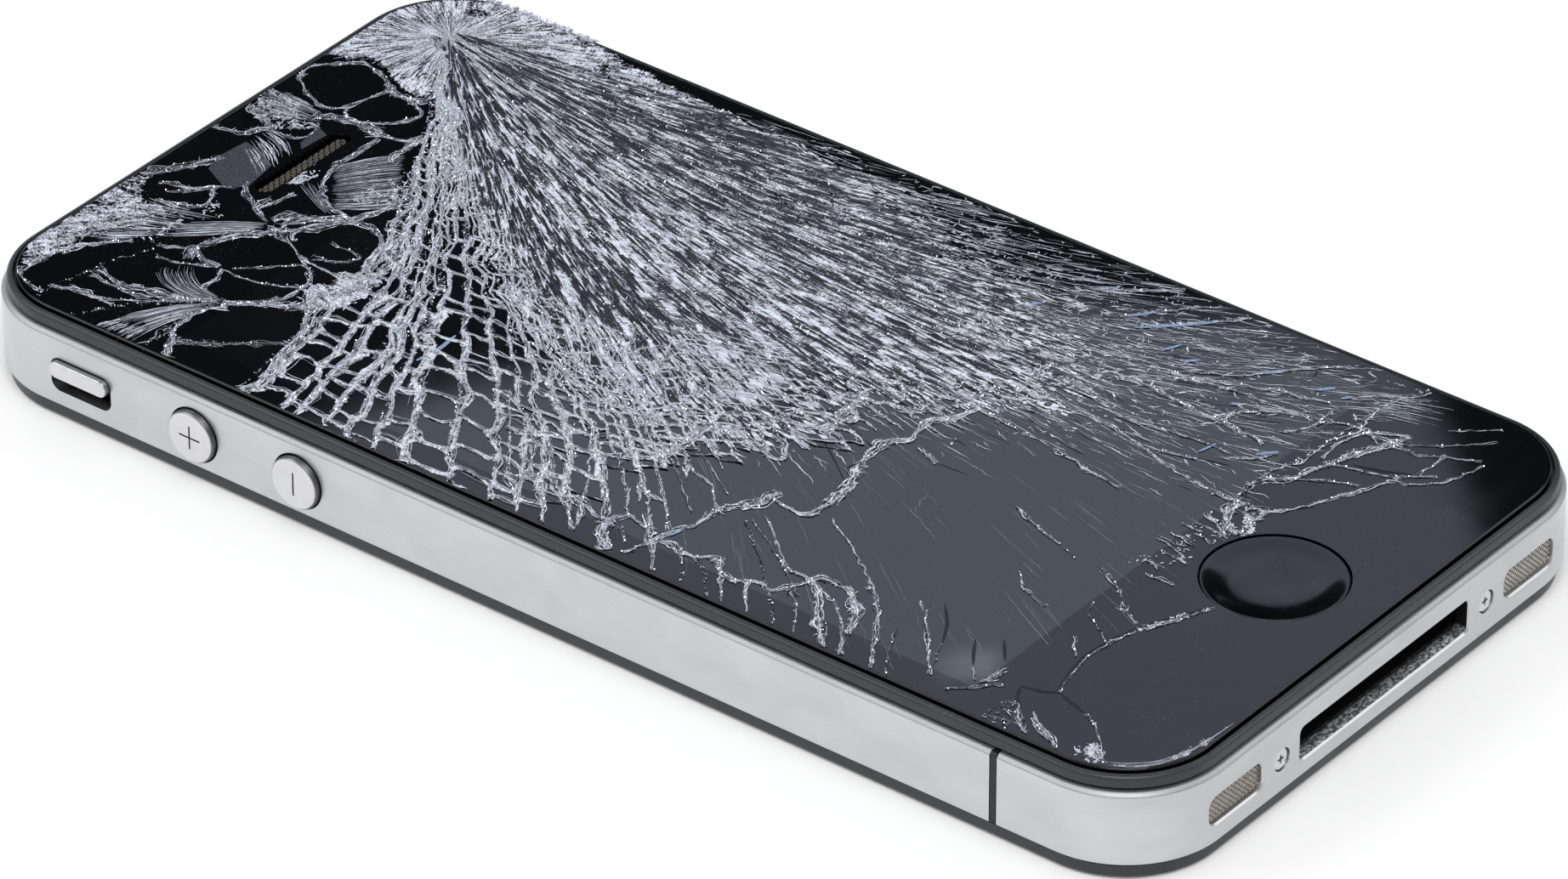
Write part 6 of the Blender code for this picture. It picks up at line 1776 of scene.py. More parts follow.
small = web_cells(0.16, lambda m: crushed_end(m) - 0.10, small_end, (0.6, 2.4), 6.9)
large = web_cells(0.33, small_end, lambda m: table(WEB_TO, m), (1.2, 3.8), 6.0)
cell_list = np.concatenate([small, large])
cell_middle = fan(cell_list[:, :2].mean(1), np.clip(cell_list[:, 2:].mean(1), 0, 1))
large_share = np.repeat([0.0, 1.0], [len(small), len(large)])
thick = lattice(cell_middle[:, 0] / 3, cell_middle[:, 1] / 3, 33)
cell_half = 0.035 + 0.20 * thick**1.4 + large_share * (0.04 + 0.22 * thick**1.4)
cell_half = cell_half * random.uniform(0.6, 1.5, len(thick))
pale = lattice(cell_middle[:, 0] / 2.2, cell_middle[:, 1] / 2.2, 34)
cell_tone = 0.68 + 0.50 * pale * random.uniform(0.7, 1.2, len(thick))
print(len(cell_half), "cells")
cells("web", *cell_list.T, cell_half, cell_tone)

# %% Threads in the web
def web_threads(list_of_cells, count, half, tone):
    """Thin threads near the cells' borders: along the rays and along the rungs."""
    low, high, begin, end = list_of_cells.T
    s = np.linspace(-0.04, 1.04, 6)
    for _ in range(count):
        off = random.normal(0, 0.07, (len(low), 1)) * (high - low)[:, None]
        bow = random.normal(0, 0.05, (len(low), 1)) * np.sin(np.pi * s) * (high - low)[:, None]
        g_ray = low[:, None] + off + bow
        t_ray = begin[:, None] + (end - begin)[:, None] * s
        centres = warped(fan(np.clip(g_ray, 0, 15), np.clip(t_ray, 0, 1)))
        halves = random.uniform(*half, (len(low), 1)) * (0.3 + np.sin(np.pi * np.clip(s, 0, 1)))
        shade = random.uniform(*tone, (len(low), 1)) * random.uniform(0.6, 1.3, (len(low), 6))
        good = kept(centres).all(1)
        lay(centres[good], halves[good], np.clip(shade, 0, 1)[good], 0.5, 0.115)
        off = random.normal(0, 0.07, (len(low), 1)) * (end - begin)[:, None]
        g_rung = low[:, None] + (high - low)[:, None] * s
        bow = random.normal(0, 0.05, (len(low), 1)) * np.sin(np.pi * s) * (end - begin)[:, None]
        t_rung = begin[:, None] + off + bow
        centres = warped(fan(np.clip(g_rung, 0, 15), np.clip(t_rung, 0, 1)))
        good = kept(centres).all(1)
        lay(centres[good], halves[good], np.clip(shade, 0, 1)[good], 0.5, 0.115)


web_threads(cell_list, 3, (0.010, 0.030), (0.5, 1.0))
corners = warped(fan(cell_list[:, 0], np.clip(cell_list[:, 2], 0, 1)))
glints = np.repeat(corners, 3, axis=0) + random.normal(0, 0.16, (len(corners) * 3, 2))
n = len(glints)
dashes(
    glints, random.uniform(0, np.pi, n), random.uniform(0.08, 0.45, n),
    random.uniform(0.02, 0.07, n), random.uniform(0.6, 1.0, n), 0.12,
)
weld_threads("web_threads")

# %% Ropes along the rays
# The rays are the stronger lines of the web. Each ends as a point just beyond its last rung.
for number, ray in enumerate(np.unique(large[:, 0])):
    first_share = crushed_end(ray) + 0.6 * table(SMALL_FOR, ray)
    last_share = min(table(WEB_TO, ray) + random.uniform(0.01, 0.06), 0.99)
    shares = np.linspace(first_share, last_share, 7)
    half = [0.14, 0.2, 0.24, 0.22, 0.2, 0.16, 0.02]
    rope(warped(fan(np.full(7, ray), shares)), half, 5, 1.0, 310 + number * 2.9, swell=0.2)
for number, ray in enumerate(np.arange(3.4, 8.4, 0.28)):
    ray = ray + random.uniform(-0.1, 0.1)
    first_share = min(float(crushed_end(ray)) + 0.02, 0.9)
    shares = first_share + np.linspace(0, random.uniform(0.03, 0.075), 5)
    rope(
        fan(np.full(5, ray), shares), np.array([0.22, 0.18, 0.12, 0.06, 0.01]), 4, 0.9,
        370 + number * 2.9, swell=0.0,
    )
# and the last rungs run on from ray to ray
for number, (g0, g1, more) in enumerate((
    (3.6, 5.4, 0.045), (4.6, 6.6, 0.03), (5.6, 7.7, 0.02), (6.8, 9.2, 0.0), (4.0, 6.0, 0.0),
    (7.4, 8.8, -0.02), (8.8, 10.6, 0.0),
)):
    guides = np.linspace(g0, g1, 12)
    shares = crushed_end(guides) + more + 0.02 * random.uniform(-1, 1, 12)
    rope(fan(guides, shares), np.full(12, 0.22), 6, 1.0, 440 + number * 2.9, swell=0.4)
weld_threads("rays_of_web")

# %% [markdown]
# ## The other cracks
#
# Away from the fan the glass broke into large shards. The cracks between them are laid one by
# one, as lists of the points that they pass. Each entry gives the half width of the rope in
# millimetres, its number of threads, its brightness, and the points.

# %% Cracks of the top
TOP_CRACKS = [
    (0.10, 4, 0.7, [
        (-28.2, 49.6), (-27.8, 50.5), (-25.6, 50.5), (-23.1, 49.9), (-21, 49.5), (-19.3, 48.9),
        (-18, 48.2), (-16.4, 47.9), (-16.2, 49.2),
    ]),
    (0.16, 4, 0.7, [(-26.8, 50.7), (-26.6, 52.6), (-26, 53.8), (-25.2, 54.5)]),
    (
        0.13, 4, 0.6,
        [(-25.6, 53.9), (-23.3, 53.8), (-21, 53.2), (-19.3, 52.2), (-17.8, 50.8), (-16.9, 49.9)],
    ),
    (0.24, 6, 0.8, [(-21.6, 53.4), (-20, 52.6), (-18.4, 51.4)]),
    (0.14, 4, 0.85, [(-25.8, 50.4), (-25.2, 49.2), (-24.9, 47.8), (-24.85, 46.3), (-24.9, 45.2)]),
    (0.14, 4, 0.45, [(-24.6, 46.1), (-23.5, 44.3), (-22, 42.3), (-20.5, 40.3), (-19.4, 38.7)]),
    (0.12, 3, 0.35, [(-28.1, 46.8), (-26.3, 45.6), (-24.3, 44.3), (-21.9, 41.6), (-19.8, 39.2)]),
    (
        0.18, 5, 0.5,
        [(-22.55, 49.3), (-22.85, 47.8), (-22.9, 46), (-22.7, 44.5), (-21.8, 42.8), (-20.7, 40.5)],
    ),
    (0.20, 5, 0.6, [
        (-21.8, 49.5), (-22.3, 47), (-22.05, 45.5), (-21.4, 44), (-21.05, 42.3), (-20.7, 41),
        (-19.8, 39.3),
    ]),
    (0.12, 3, 0.5, [(-17.6, 47.1), (-17.3, 45.3), (-16.3, 43.1), (-15.8, 42.1)]),
    (0.14, 4, 0.5, [(-16.3, 47.9), (-15.3, 45.8), (-15.7, 43.8), (-15.8, 42.2)]),
    (0.22, 5, 0.45, [(-16.2, 44.8), (-15.7, 45.3), (-14.8, 45.7), (-15.4, 44.4), (-15.7, 43.6)]),
    (0.16, 4, 0.7, [(-19, 40.9), (-18.3, 41.3), (-17.2, 41.3), (-15.9, 41.9)]),
    (
        0.10, 3, 0.5,
        [(-15.8, 41.9), (-15.9, 40.3), (-15.7, 38.6), (-15, 36.8), (-14, 35.5), (-13.4, 34.9)],
    ),
    (0.10, 2, 0.35, [(-15.4, 41.2), (-13.8, 39.5), (-12, 37.8), (-11.2, 37)]),
    (0.13, 4, 0.65, [
        (-19.1, 38.8), (-18.9, 38), (-18, 36.3), (-16.8, 35.5), (-15.3, 35.1), (-13.5, 35.2),
        (-12, 36), (-11.4, 37.2), (-10.9, 37.9),
    ]),
    (0.20, 6, 0.85, [(-10.9, 37.8), (-11.05, 35.8), (-11.1, 33.6)]),
    (0.15, 4, 0.55, [(-10.9, 37.8), (-10.05, 39.8), (-9.3, 41.3), (-8.8, 42.9)]),
    (0.30, 7, 0.75, [(-9.5, 40.1), (-8.3, 40.8), (-6.8, 40.1), (-5.3, 39.1), (-4.2, 38)]),
    (0.30, 6, 0.6, [(-9, 42.6), (-8.6, 41.8), (-8.2, 41)]),
    (0.20, 5, 0.7, [(-15, 45.5), (-13.3, 45), (-11.8, 44.4), (-10.3, 43.1), (-9.2, 41.9)]),
    (0.16, 4, 0.6, [(-8.6, 43.6), (-7.5, 45.5), (-6.05, 47.8), (-5.2, 48.6)]),
    (0.16, 4, 0.85, [(-7.8, 45.3), (-6, 45), (-4, 44.5)]),
    (0.10, 3, 0.6, [(-7.7, 45.8), (-6.6, 45.7), (-5.7, 45.4)]),
    (0.26, 6, 0.65, [(-8.2, 43.4), (-7, 42.8), (-6, 41), (-4.5, 39)]),
    (0.20, 5, 0.65, [(-8.2, 42.4), (-6.8, 41.4), (-5.2, 39.8), (-4.3, 38.5)]),
    (0.14, 4, 0.8, [(-11.3, 52.5), (-10.8, 50.3), (-9.5, 49), (-8, 49.5), (-7, 50.1)]),
    (0.14, 4, 0.5, [(-9.3, 54.1), (-8.8, 52.8), (-8, 51), (-7, 50.1), (-6.2, 49)]),
    (0.12, 3, 0.4, [(-9.9, 52.8), (-8.9, 51.4), (-7.4, 50.2)]),
    (0.26, 5, 0.45, [(-9, 56), (-8.4, 55.6), (-6.8, 54.3), (-4.8, 53.2), (-3.2, 52.6)]),
    (0.25, 8, 0.95, [(-27.9, 37.1), (-26, 38.4), (-23.8, 39.4), (-21.3, 39.1), (-19.7, 38.2)]),
    (0.20, 6, 0.8, [(-28, 39.6), (-25.5, 39.5), (-22.5, 39.6), (-20, 38.9)]),
    (0.25, 7, 0.8, [(-19.6, 38.6), (-18.5, 37), (-17.8, 35.8), (-16.8, 34.5), (-15.8, 33.2)]),
    (0.16, 4, 0.6, [(-18.9, 37.6), (-17.6, 36.3), (-16.3, 35.6)]),
    (0.22, 5, 0.32, [(-26, 37.8), (-24.3, 35.3), (-22.5, 33), (-20.7, 30.8)]),
    (0.34, 9, 0.75, [
        (-28, 29.2), (-24.8, 29.3), (-22.7, 29.8), (-20.5, 30.6), (-18, 31.6), (-15.8, 32.8),
        (-14, 33.4),
    ]),
    (
        0.22, 6, 0.6,
        [(-10.8, 33.5), (-9.3, 32.9), (-7.3, 33.1), (-5.5, 34.3), (-4.3, 35.8), (-4.2, 38)],
    ),
    (0.34, 9, 0.75, [
        (-14, 33.2), (-11.5, 32), (-8.5, 31.8), (-5.5, 32.7), (-2.9, 34.1), (-0.4, 35.4),
        (1.8, 36.6),
    ]),
    (0.12, 3, 0.28, [(-10.3, 37.2), (-9.6, 35.4), (-8.3, 34.3), (-7.9, 34.6), (-7.9, 37.6)]),
    (0.14, 4, 0.8, [
        (8.1, 53.7), (9.6, 55.5), (11.5, 55.8), (13.1, 54.4), (14.3, 53), (14, 51.2), (12.8, 48.7),
    ]),
    (
        0.13, 4, 0.7,
        [(8.1, 53.7), (7.4, 51.6), (7.5, 50.5), (8.4, 49.8), (10.2, 49.2), (12.7, 48.5)],
    ),
    (0.14, 4, 0.8, [
        (8.4, 49.5), (7.2, 48.6), (7.4, 47.2), (8.4, 45.6), (10.2, 44.4), (11.5, 44.4),
        (12.1, 45.9), (12.1, 48.1),
    ]),
    (0.22, 6, 0.85, [(-4.3, 38.4), (-2.2, 37.7), (0.5, 37.1), (2.2, 37.6), (4, 39.2)]),
    (0.18, 5, 0.7, [
        (-4.2, 38.9), (-3.9, 41), (-2.9, 42.5), (-0.7, 44.2), (1.5, 44.6), (4.2, 44.5), (6.5, 44.5),
    ]),
    (0.28, 7, 0.85, [(6.9, 45.6), (6.9, 44.3), (7.1, 43), (7.8, 42.1), (8.6, 41.7)]),
    (0.18, 5, 0.7, [(4, 41.5), (5.2, 42), (6.6, 41.9), (8.3, 41.9)]),
    (0.16, 5, 0.7, [(12.6, 48.8), (12.4, 47), (12.9, 45.6), (14.2, 45.1)]),
    (0.30, 7, 0.6, [(5.6, 50.6), (6.4, 49.6), (6.9, 48.2), (7.1, 46.4), (7, 45.2)]),
    (0.16, 4, 0.6, [(2.4, 52.2), (3, 53.8), (3.4, 55.4), (3.9, 53.8), (4.3, 51.9)]),
    (0.16, 4, 0.7, [(-0.2, 56), (0.2, 54.6), (0.1, 53.8), (1.6, 53), (2.3, 52.2)]),
    (0.12, 3, 0.6, [(2.2, 52.2), (2.2, 50.4), (2.6, 49.4), (4.6, 49.3)]),
]
for number, (half, count, tone, points) in enumerate(TOP_CRACKS):
    rope(points, np.full(len(points), half), count, tone, 100 + number * 2.9)
print(len(TOP_CRACKS), "cracks of the top laid as ropes")


# %% Bundles
def bundle(first, last, count, half, tone, seed, spare=0.25, cold=0.0):
    """Threads spread between two lines. Each runs at its own share of the way from one to the
    other, over its own part of their length."""
    a, b = flowing(first, 0.3)[0], flowing(last, 0.3)[0]
    parts = 27
    s = np.linspace(0, 1, parts + 1)
    line_a = np.stack([np.interp(s, np.linspace(0, 1, len(a)), a[:, k]) for k in (0, 1)], -1)
    line_b = np.stack([np.interp(s, np.linspace(0, 1, len(b)), b[:, k]) for k in (0, 1)], -1)
    number = np.arange(count)[:, None]
    share = (np.arange(count) + random.uniform(0.1, 0.9, count)) / count
    sway = min(0.03, 0.8 / count) * (lattice(s[None] * 6, number * 3.3, seed) - 0.5)
    share = share[:, None] + sway
    begin, end = random.uniform(0, spare, count), 1 - random.uniform(0, spare, count)
    along = begin[:, None] + (end - begin)[:, None] * s
    pick = along * parts
    low = np.clip(pick.astype(int), 0, parts - 1)
    f = (pick - low)[..., None]
    on_a = line_a[low] * (1 - f) + line_a[low + 1] * f
    on_b = line_b[low] * (1 - f) + line_b[low + 1] * f
    centres = on_a * (1 - share[..., None]) + on_b * share[..., None]
    halves = 0.7 * random.uniform(*half, (count, 1)) * (0.15 + np.sin(np.pi * s) ** 0.6)
    fading = 0.2 + 1.5 * lattice(s[None] * 9, number * 5.1, seed + 1)
    shade = random.uniform(*tone, (count, 1)) * fading
    good = kept(centres, 0.05).all(1)
    if good.any():
        lay(centres[good], halves[good], np.clip(shade, 0, 1)[good], 0.45, 0.05, cold)


print("points of threads so far:", threads["count"])

# %% Bundles of the top
bundle(
    [(-28.4, 44.9), (-25.2, 43.4), (-22, 41.3), (-19.5, 38.9)],
    [(-28.4, 40.6), (-25.5, 40.4), (-22.5, 39.6), (-19.5, 38.6)], 30, (0.015, 0.07), (0.2, 0.95),
    201, 0.35,
)
bundle(
    [(-28.4, 44.6), (-27.3, 44.2), (-26, 43.4)], [(-28.4, 41), (-27.2, 41), (-25.6, 40.8)], 20,
    (0.03, 0.09), (0.5, 1.0), 202, 0.3,
)
bundle(
    [(-17.7, 46.3), (-19.3, 45.7), (-20.4, 43.8), (-20.6, 41.4), (-19.6, 39)],
    [(-16.8, 43.8), (-17.8, 42.8), (-18.6, 41.5), (-18.9, 40), (-19.1, 38.9)], 18, (0.02, 0.06),
    (0.2, 0.7), 203, 0.2,
)
bundle(
    [(-15.4, 48.8), (-13.4, 46.5), (-11.4, 44.6), (-9.6, 43)],
    [(-13, 49.1), (-10.8, 46.6), (-9.4, 44.7), (-8.5, 43.2)], 18, (0.02, 0.07), (0.2, 0.8), 204,
    0.2,
)
bundle(
    [(-20, 54.5), (-18, 51.5), (-15.6, 49)], [(-11.5, 55.5), (-11.2, 51.5), (-10, 46.6)], 46,
    (0.02, 0.09), (0.15, 0.95), 205, 0.45,
)
bundle(
    [(-2.6, 45.6), (-4.2, 42.3), (-5, 40)], [(-1, 44.8), (-2.9, 42.2), (-3.8, 40.2)], 9,
    (0.02, 0.06), (0.3, 0.7), 206,
)
bundle(
    [(-3.9, 48.4), (-2.6, 50.2), (-1, 52.6)], [(0.2, 48.2), (1.6, 50), (2.2, 52.6)], 20,
    (0.02, 0.09), (0.3, 0.95), 207, 0.3,
)
bundle(
    [(-4, 40.7), (-2.4, 38.6), (-0.4, 36.6)], [(0.8, 44.8), (3.4, 43.4), (5.9, 41.4)], 62,
    (0.02, 0.055), (0.06, 0.75), 208, 0.10,
)
bundle(
    [(-4, 40.7), (-2.4, 38.6), (-0.4, 36.6)], [(0.8, 44.8), (3.4, 43.4), (5.9, 41.4)], 16,
    (0.02, 0.04), (0.6, 1.0), 212, 0.3,
)
bundle(
    [(3.8, 56), (4.4, 53.5), (5, 50.6)], [(7.2, 56), (7.2, 53), (6.8, 50.4)], 26, (0.02, 0.08),
    (0.2, 0.8), 209, 0.4,
)
bundle(
    [(-16, 33.2), (-13.5, 35)], [(-15.5, 31.5), (-12.6, 33.4)], 16, (0.03, 0.1), (0.4, 1.0), 210,
    0.3,
)
bundle(
    [(-12.5, 34), (-11, 32), (-9, 30.8)], [(-10.2, 34.6), (-10, 32.8), (-8, 31.6)], 22, (0.03, 0.1),
    (0.4, 1.0), 211, 0.4,
)
print("points of threads so far:", threads["count"])

# %% Crumbs of the top
crumbs(
    420, [
        (-25, 54.2), (-22.4, 56.1), (-12, 56.5), (-8.6, 56.3), (-9, 54.6), (-13, 53.8), (-18, 52.4),
        (-21, 53.6), (-24, 54),
    ], (0.1, 0.9), (0.02, 0.11), (0.2, 0.85),
)
crumbs(
    380, [
        (-18, 53.5), (-12, 54.8), (-10.8, 51.2), (-9.6, 47.2), (-10.2, 46.2), (-12.6, 48.9),
        (-15.5, 48.7), (-17.5, 50.6),
    ], (0.1, 0.9), (0.02, 0.10), (0.3, 1.0),
)
crumbs(
    150, [(-10.6, 48.4), (-8.2, 49.9), (-8, 49.2), (-10, 46.6)], (0.1, 0.8), (0.03, 0.12),
    (0.5, 1.0),
)
crumbs(
    260, [
        (-16.2, 33), (-15, 35.2), (-13.2, 35.2), (-12.4, 33.6), (-10.4, 34.4), (-9.4, 31),
        (-12, 29.8), (-14.6, 30.8),
    ], (0.1, 0.8), (0.02, 0.10), (0.5, 1.0),
)
crumbs(
    170, [(-3.4, 46.3), (1, 46.3), (0.2, 45.1), (-1, 44.8), (-2.6, 45.2)], (0.1, 0.8), (0.02, 0.10),
    (0.4, 1.0),
)
crumbs(
    300, [
        (3.4, 56), (7.2, 56.2), (7.3, 54), (6.6, 52.8), (5.1, 52), (5, 50.4), (6.9, 50.4),
        (4.6, 49.4), (2.2, 52.3),
    ], (0.1, 0.8), (0.02, 0.10), (0.2, 0.9),
)
crumbs(
    120, [(-2.2, 40.4), (-0.6, 37.6), (2.6, 37.4), (4.4, 39.2), (3, 40.6), (0, 40.4)], (0.1, 0.8),
    (0.02, 0.09), (0.4, 1.0),
)
weld_threads("cracks_of_top")

# %% [markdown]
# ## The near edge
#
# Beside the web the rays run on one by one to the pane's edge, across a strip with no rungs. Two
# chains of crushed glass cross them, and from each point of a chain a tooth of white glass
# reaches the edge. Each entry gives the half width at both ends, the number of threads, the
# brightness, and the points.

# %% Cracks along the near edge
NEAR_EDGE = [
    (0.22, 0.26, 7, 0.95, [
        (-24.5, 6.3), (-23.8, 4.7), (-22.6, 3.9), (-23.7, 1.6), (-24, -0.8), (-24.7, -2.7),
        (-24.6, -4.5),
    ]),
    (0.34, 0.04, 8, 0.95, [(-24.5, 5.6), (-26.2, 4), (-27.7, 2.6)]),
    (0.38, 0.03, 8, 0.95, [(-23.3, 4), (-25.1, 2.3), (-27.8, -0.1)]),
    (0.34, 0.10, 8, 1, [(-23.7, 1.7), (-25.3, -0.3), (-27.2, -2.5)]),
    (0.22, 0.06, 6, 0.9, [(-24, -0.6), (-25.3, -1.6), (-26.7, -2.3)]),
    (0.30, 0.50, 9, 1, [(-24.9, -3.5), (-26.2, -4.4), (-27.5, -5.7)]),
    (0.16, 0.10, 5, 0.9, [(-27.9, -4.9), (-27.9, -5.8), (-27.3, -6.2)]),
    (0.14, 0.04, 4, 0.7, [(-24.7, -5.1), (-25.4, -5.8), (-26.2, -6.5)]),
    (0.22, 0.10, 6, 0.85, [(-24.9, -3.5), (-24, -4), (-23.2, -4.6), (-23.4, -6), (-24.1, -7.3)]),
    (0.24, 0.08, 6, 0.9, [(-22.2, -5.5), (-24.1, -7.3), (-25.8, -8.9), (-27.8, -10.4)]),
    (0.10, 0.14, 4, 0.8, [(-15.3, 13.5), (-19.6, 9.9), (-22.4, 7.7), (-24.4, 6.2)]),
    (0.16, 0.20, 5, 0.85, [(-18.9, 8.1), (-20.9, 6.6), (-23.4, 4.8)]),
    (0.16, 0.16, 5, 0.85, [(-18.4, 7), (-20.4, 5.1), (-22.4, 3.5)]),
    (0.14, 0.14, 5, 0.8, [(-16.3, 6.5), (-19.9, 3.7), (-22.4, 2.1), (-23.8, 1.4)]),
    (0.12, 0.12, 5, 0.8, [(-16.4, 4.5), (-20.2, 1.7), (-23.8, -0.7)]),
    (0.10, 0.22, 5, 0.85, [(-17.9, 2), (-21, -0.6), (-24.6, -3.4)]),
    (0.08, 0.16, 4, 0.8, [(-17.3, 1), (-20.5, -2.1), (-23.3, -4.5)]),
    (0.08, 0.14, 4, 0.8, [(-16.7, -0.2), (-19.8, -3.5), (-23.6, -6.9)]),
    (0.08, 0.14, 4, 0.8, [(-16, -1.3), (-19.1, -4.6), (-22.7, -8.1)]),
    (0.06, 0.08, 3, 0.6, [(-15.1, -2.1), (-17.5, -5.1), (-19.9, -7.8)]),
    (0.08, 0.12, 4, 0.8, [(-13.1, -1.6), (-15.4, -4.6), (-16.1, -6.7), (-18, -8.6), (-18.8, -10)]),
    (0.06, 0.04, 3, 0.5, [(-12.6, -2.6), (-14.5, -5.6), (-16.3, -8.6)]),
    (0.18, 0.20, 6, 0.85, [(-19.6, -2.8), (-20, -4.3), (-20.2, -5.8)]),
    (0.20, 0.26, 7, 0.9, [
        (-19.6, 10.3), (-19, 8.3), (-18, 6.6), (-18.4, 3.8), (-17.4, 1.3), (-15.8, -1.3),
        (-14.6, -1.8), (-12.7, -1.8), (-10, -2), (-9.4, -4.4),
    ]),
    (0.10, 0.22, 6, 0.9, [
        (-27.2, -7.3), (-24.7, -8.1), (-22.6, -8.4), (-21.3, -9.2), (-19.2, -9.3), (-17.8, -9.6),
        (-16.9, -10.3),
    ]),
    (0.26, 0.22, 8, 1, [(-16.9, -10.3), (-15.9, -11.3), (-14.6, -11.2), (-13.7, -11.5)]),
    (0.10, 0.26, 7, 0.9, [(-14.8, -11.9), (-15.1, -14.2), (-14.6, -15.1), (-12.6, -15.4)]),
    (0.30, 0.30, 9, 1, [
        (-12.6, -15.4), (-11.4, -15.3), (-9.7, -15.1), (-7.8, -14.3), (-5.7, -13.7), (-3.5, -13.6),
    ]),
    (
        0.26, 0.24, 9, 1,
        [(-3.5, -13.6), (-1.9, -14.8), (0, -14.4), (1.5, -14.7), (2.7, -15.8), (4.7, -16.3)],
    ),
    (0.12, 0.20, 5, 0.9, [(-2.4, -16.1), (-2.9, -17.3), (-3.4, -18.5)]),
    (0.22, 0.16, 7, 0.9, [
        (-24.6, -8.5), (-24.1, -9.5), (-24.6, -10.9), (-24.3, -12), (-23.6, -13.3), (-24.9, -14.8),
        (-25, -15.9), (-24.7, -16.8),
    ]),
    (0.16, 0.22, 6, 0.9, [
        (-24.7, -16.8), (-24.1, -17.8), (-24.4, -19), (-23.5, -19.7), (-22.4, -20.3),
        (-20.8, -21.1), (-20.8, -22.4), (-20.7, -23.6), (-22.2, -25.3),
    ]),
    (0.22, 0.06, 6, 0.85, [(-24.7, -10.7), (-26.4, -12.1), (-28.1, -13.3)]),
    (0.20, 0.06, 6, 0.85, [(-24.3, -11.9), (-25.8, -13.8), (-28.2, -15.9)]),
    (0.26, 0.05, 6, 0.85, [(-23.6, -13.4), (-25.3, -15), (-28.1, -17.2)]),
    (0.22, 0.05, 6, 0.85, [(-24.6, -16.8), (-25.9, -17.8), (-27.7, -19.3)]),
    (0.24, 0.04, 6, 0.85, [(-24.2, -18.9), (-25.7, -20.1), (-28.1, -22)]),
    (0.12, 0.04, 4, 0.6, [(-23.7, -20.1), (-24.6, -21.5), (-28, -24)]),
    (
        0.10, 0.34, 8, 0.9,
        [(-21.4, -18.6), (-21.7, -20.7), (-23.6, -22.8), (-25.8, -24.6), (-27.9, -26.7)],
    ),
    (0.12, 0.22, 6, 0.8, [(-22.1, -21.8), (-22.8, -23.7), (-24.9, -26.1), (-27.9, -28.3)]),
    (0.26, 0.30, 8, 0.85, [(-20.7, -23.3), (-22.6, -25.6), (-25.4, -27)]),
    (0.06, 0.12, 4, 0.6, [(-16.8, -12.5), (-18.3, -14.5), (-20.6, -17.1), (-21.6, -18.7)]),
    (0.05, 0.14, 4, 0.7, [(-14.1, -16.7), (-15.7, -19.5), (-17.4, -22), (-19.6, -24.7)]),
    (0.20, 0.16, 6, 0.65, [(-19.6, -24.7), (-21.6, -26.9), (-24.8, -29), (-27.9, -31)]),
    (0.12, 0.10, 4, 0.7, [(-18.6, -28.5), (-19.5, -29.6), (-22.4, -32.1), (-25.8, -34.9)]),
]
print(len(NEAR_EDGE), "cracks along the near edge")
for number, (first, last, count, tone, points) in enumerate(NEAR_EDGE):
    rope(points, np.linspace(first, last, len(points)), count, tone, 700 + number * 2.9, swell=0.5)
weld_threads("cracks_of_near_edge")

# %% [markdown]
# ## The bottom and the left side
#
# Beyond the fan the glass broke less. Single long cracks cross it, and the home button's hole
# has sent out some of its own, because stress gathers round a hole in a pane. They are ropes
# again, each from the points that it passes. A slit is a place where a crack has opened, so that
# only its dark gap shows.

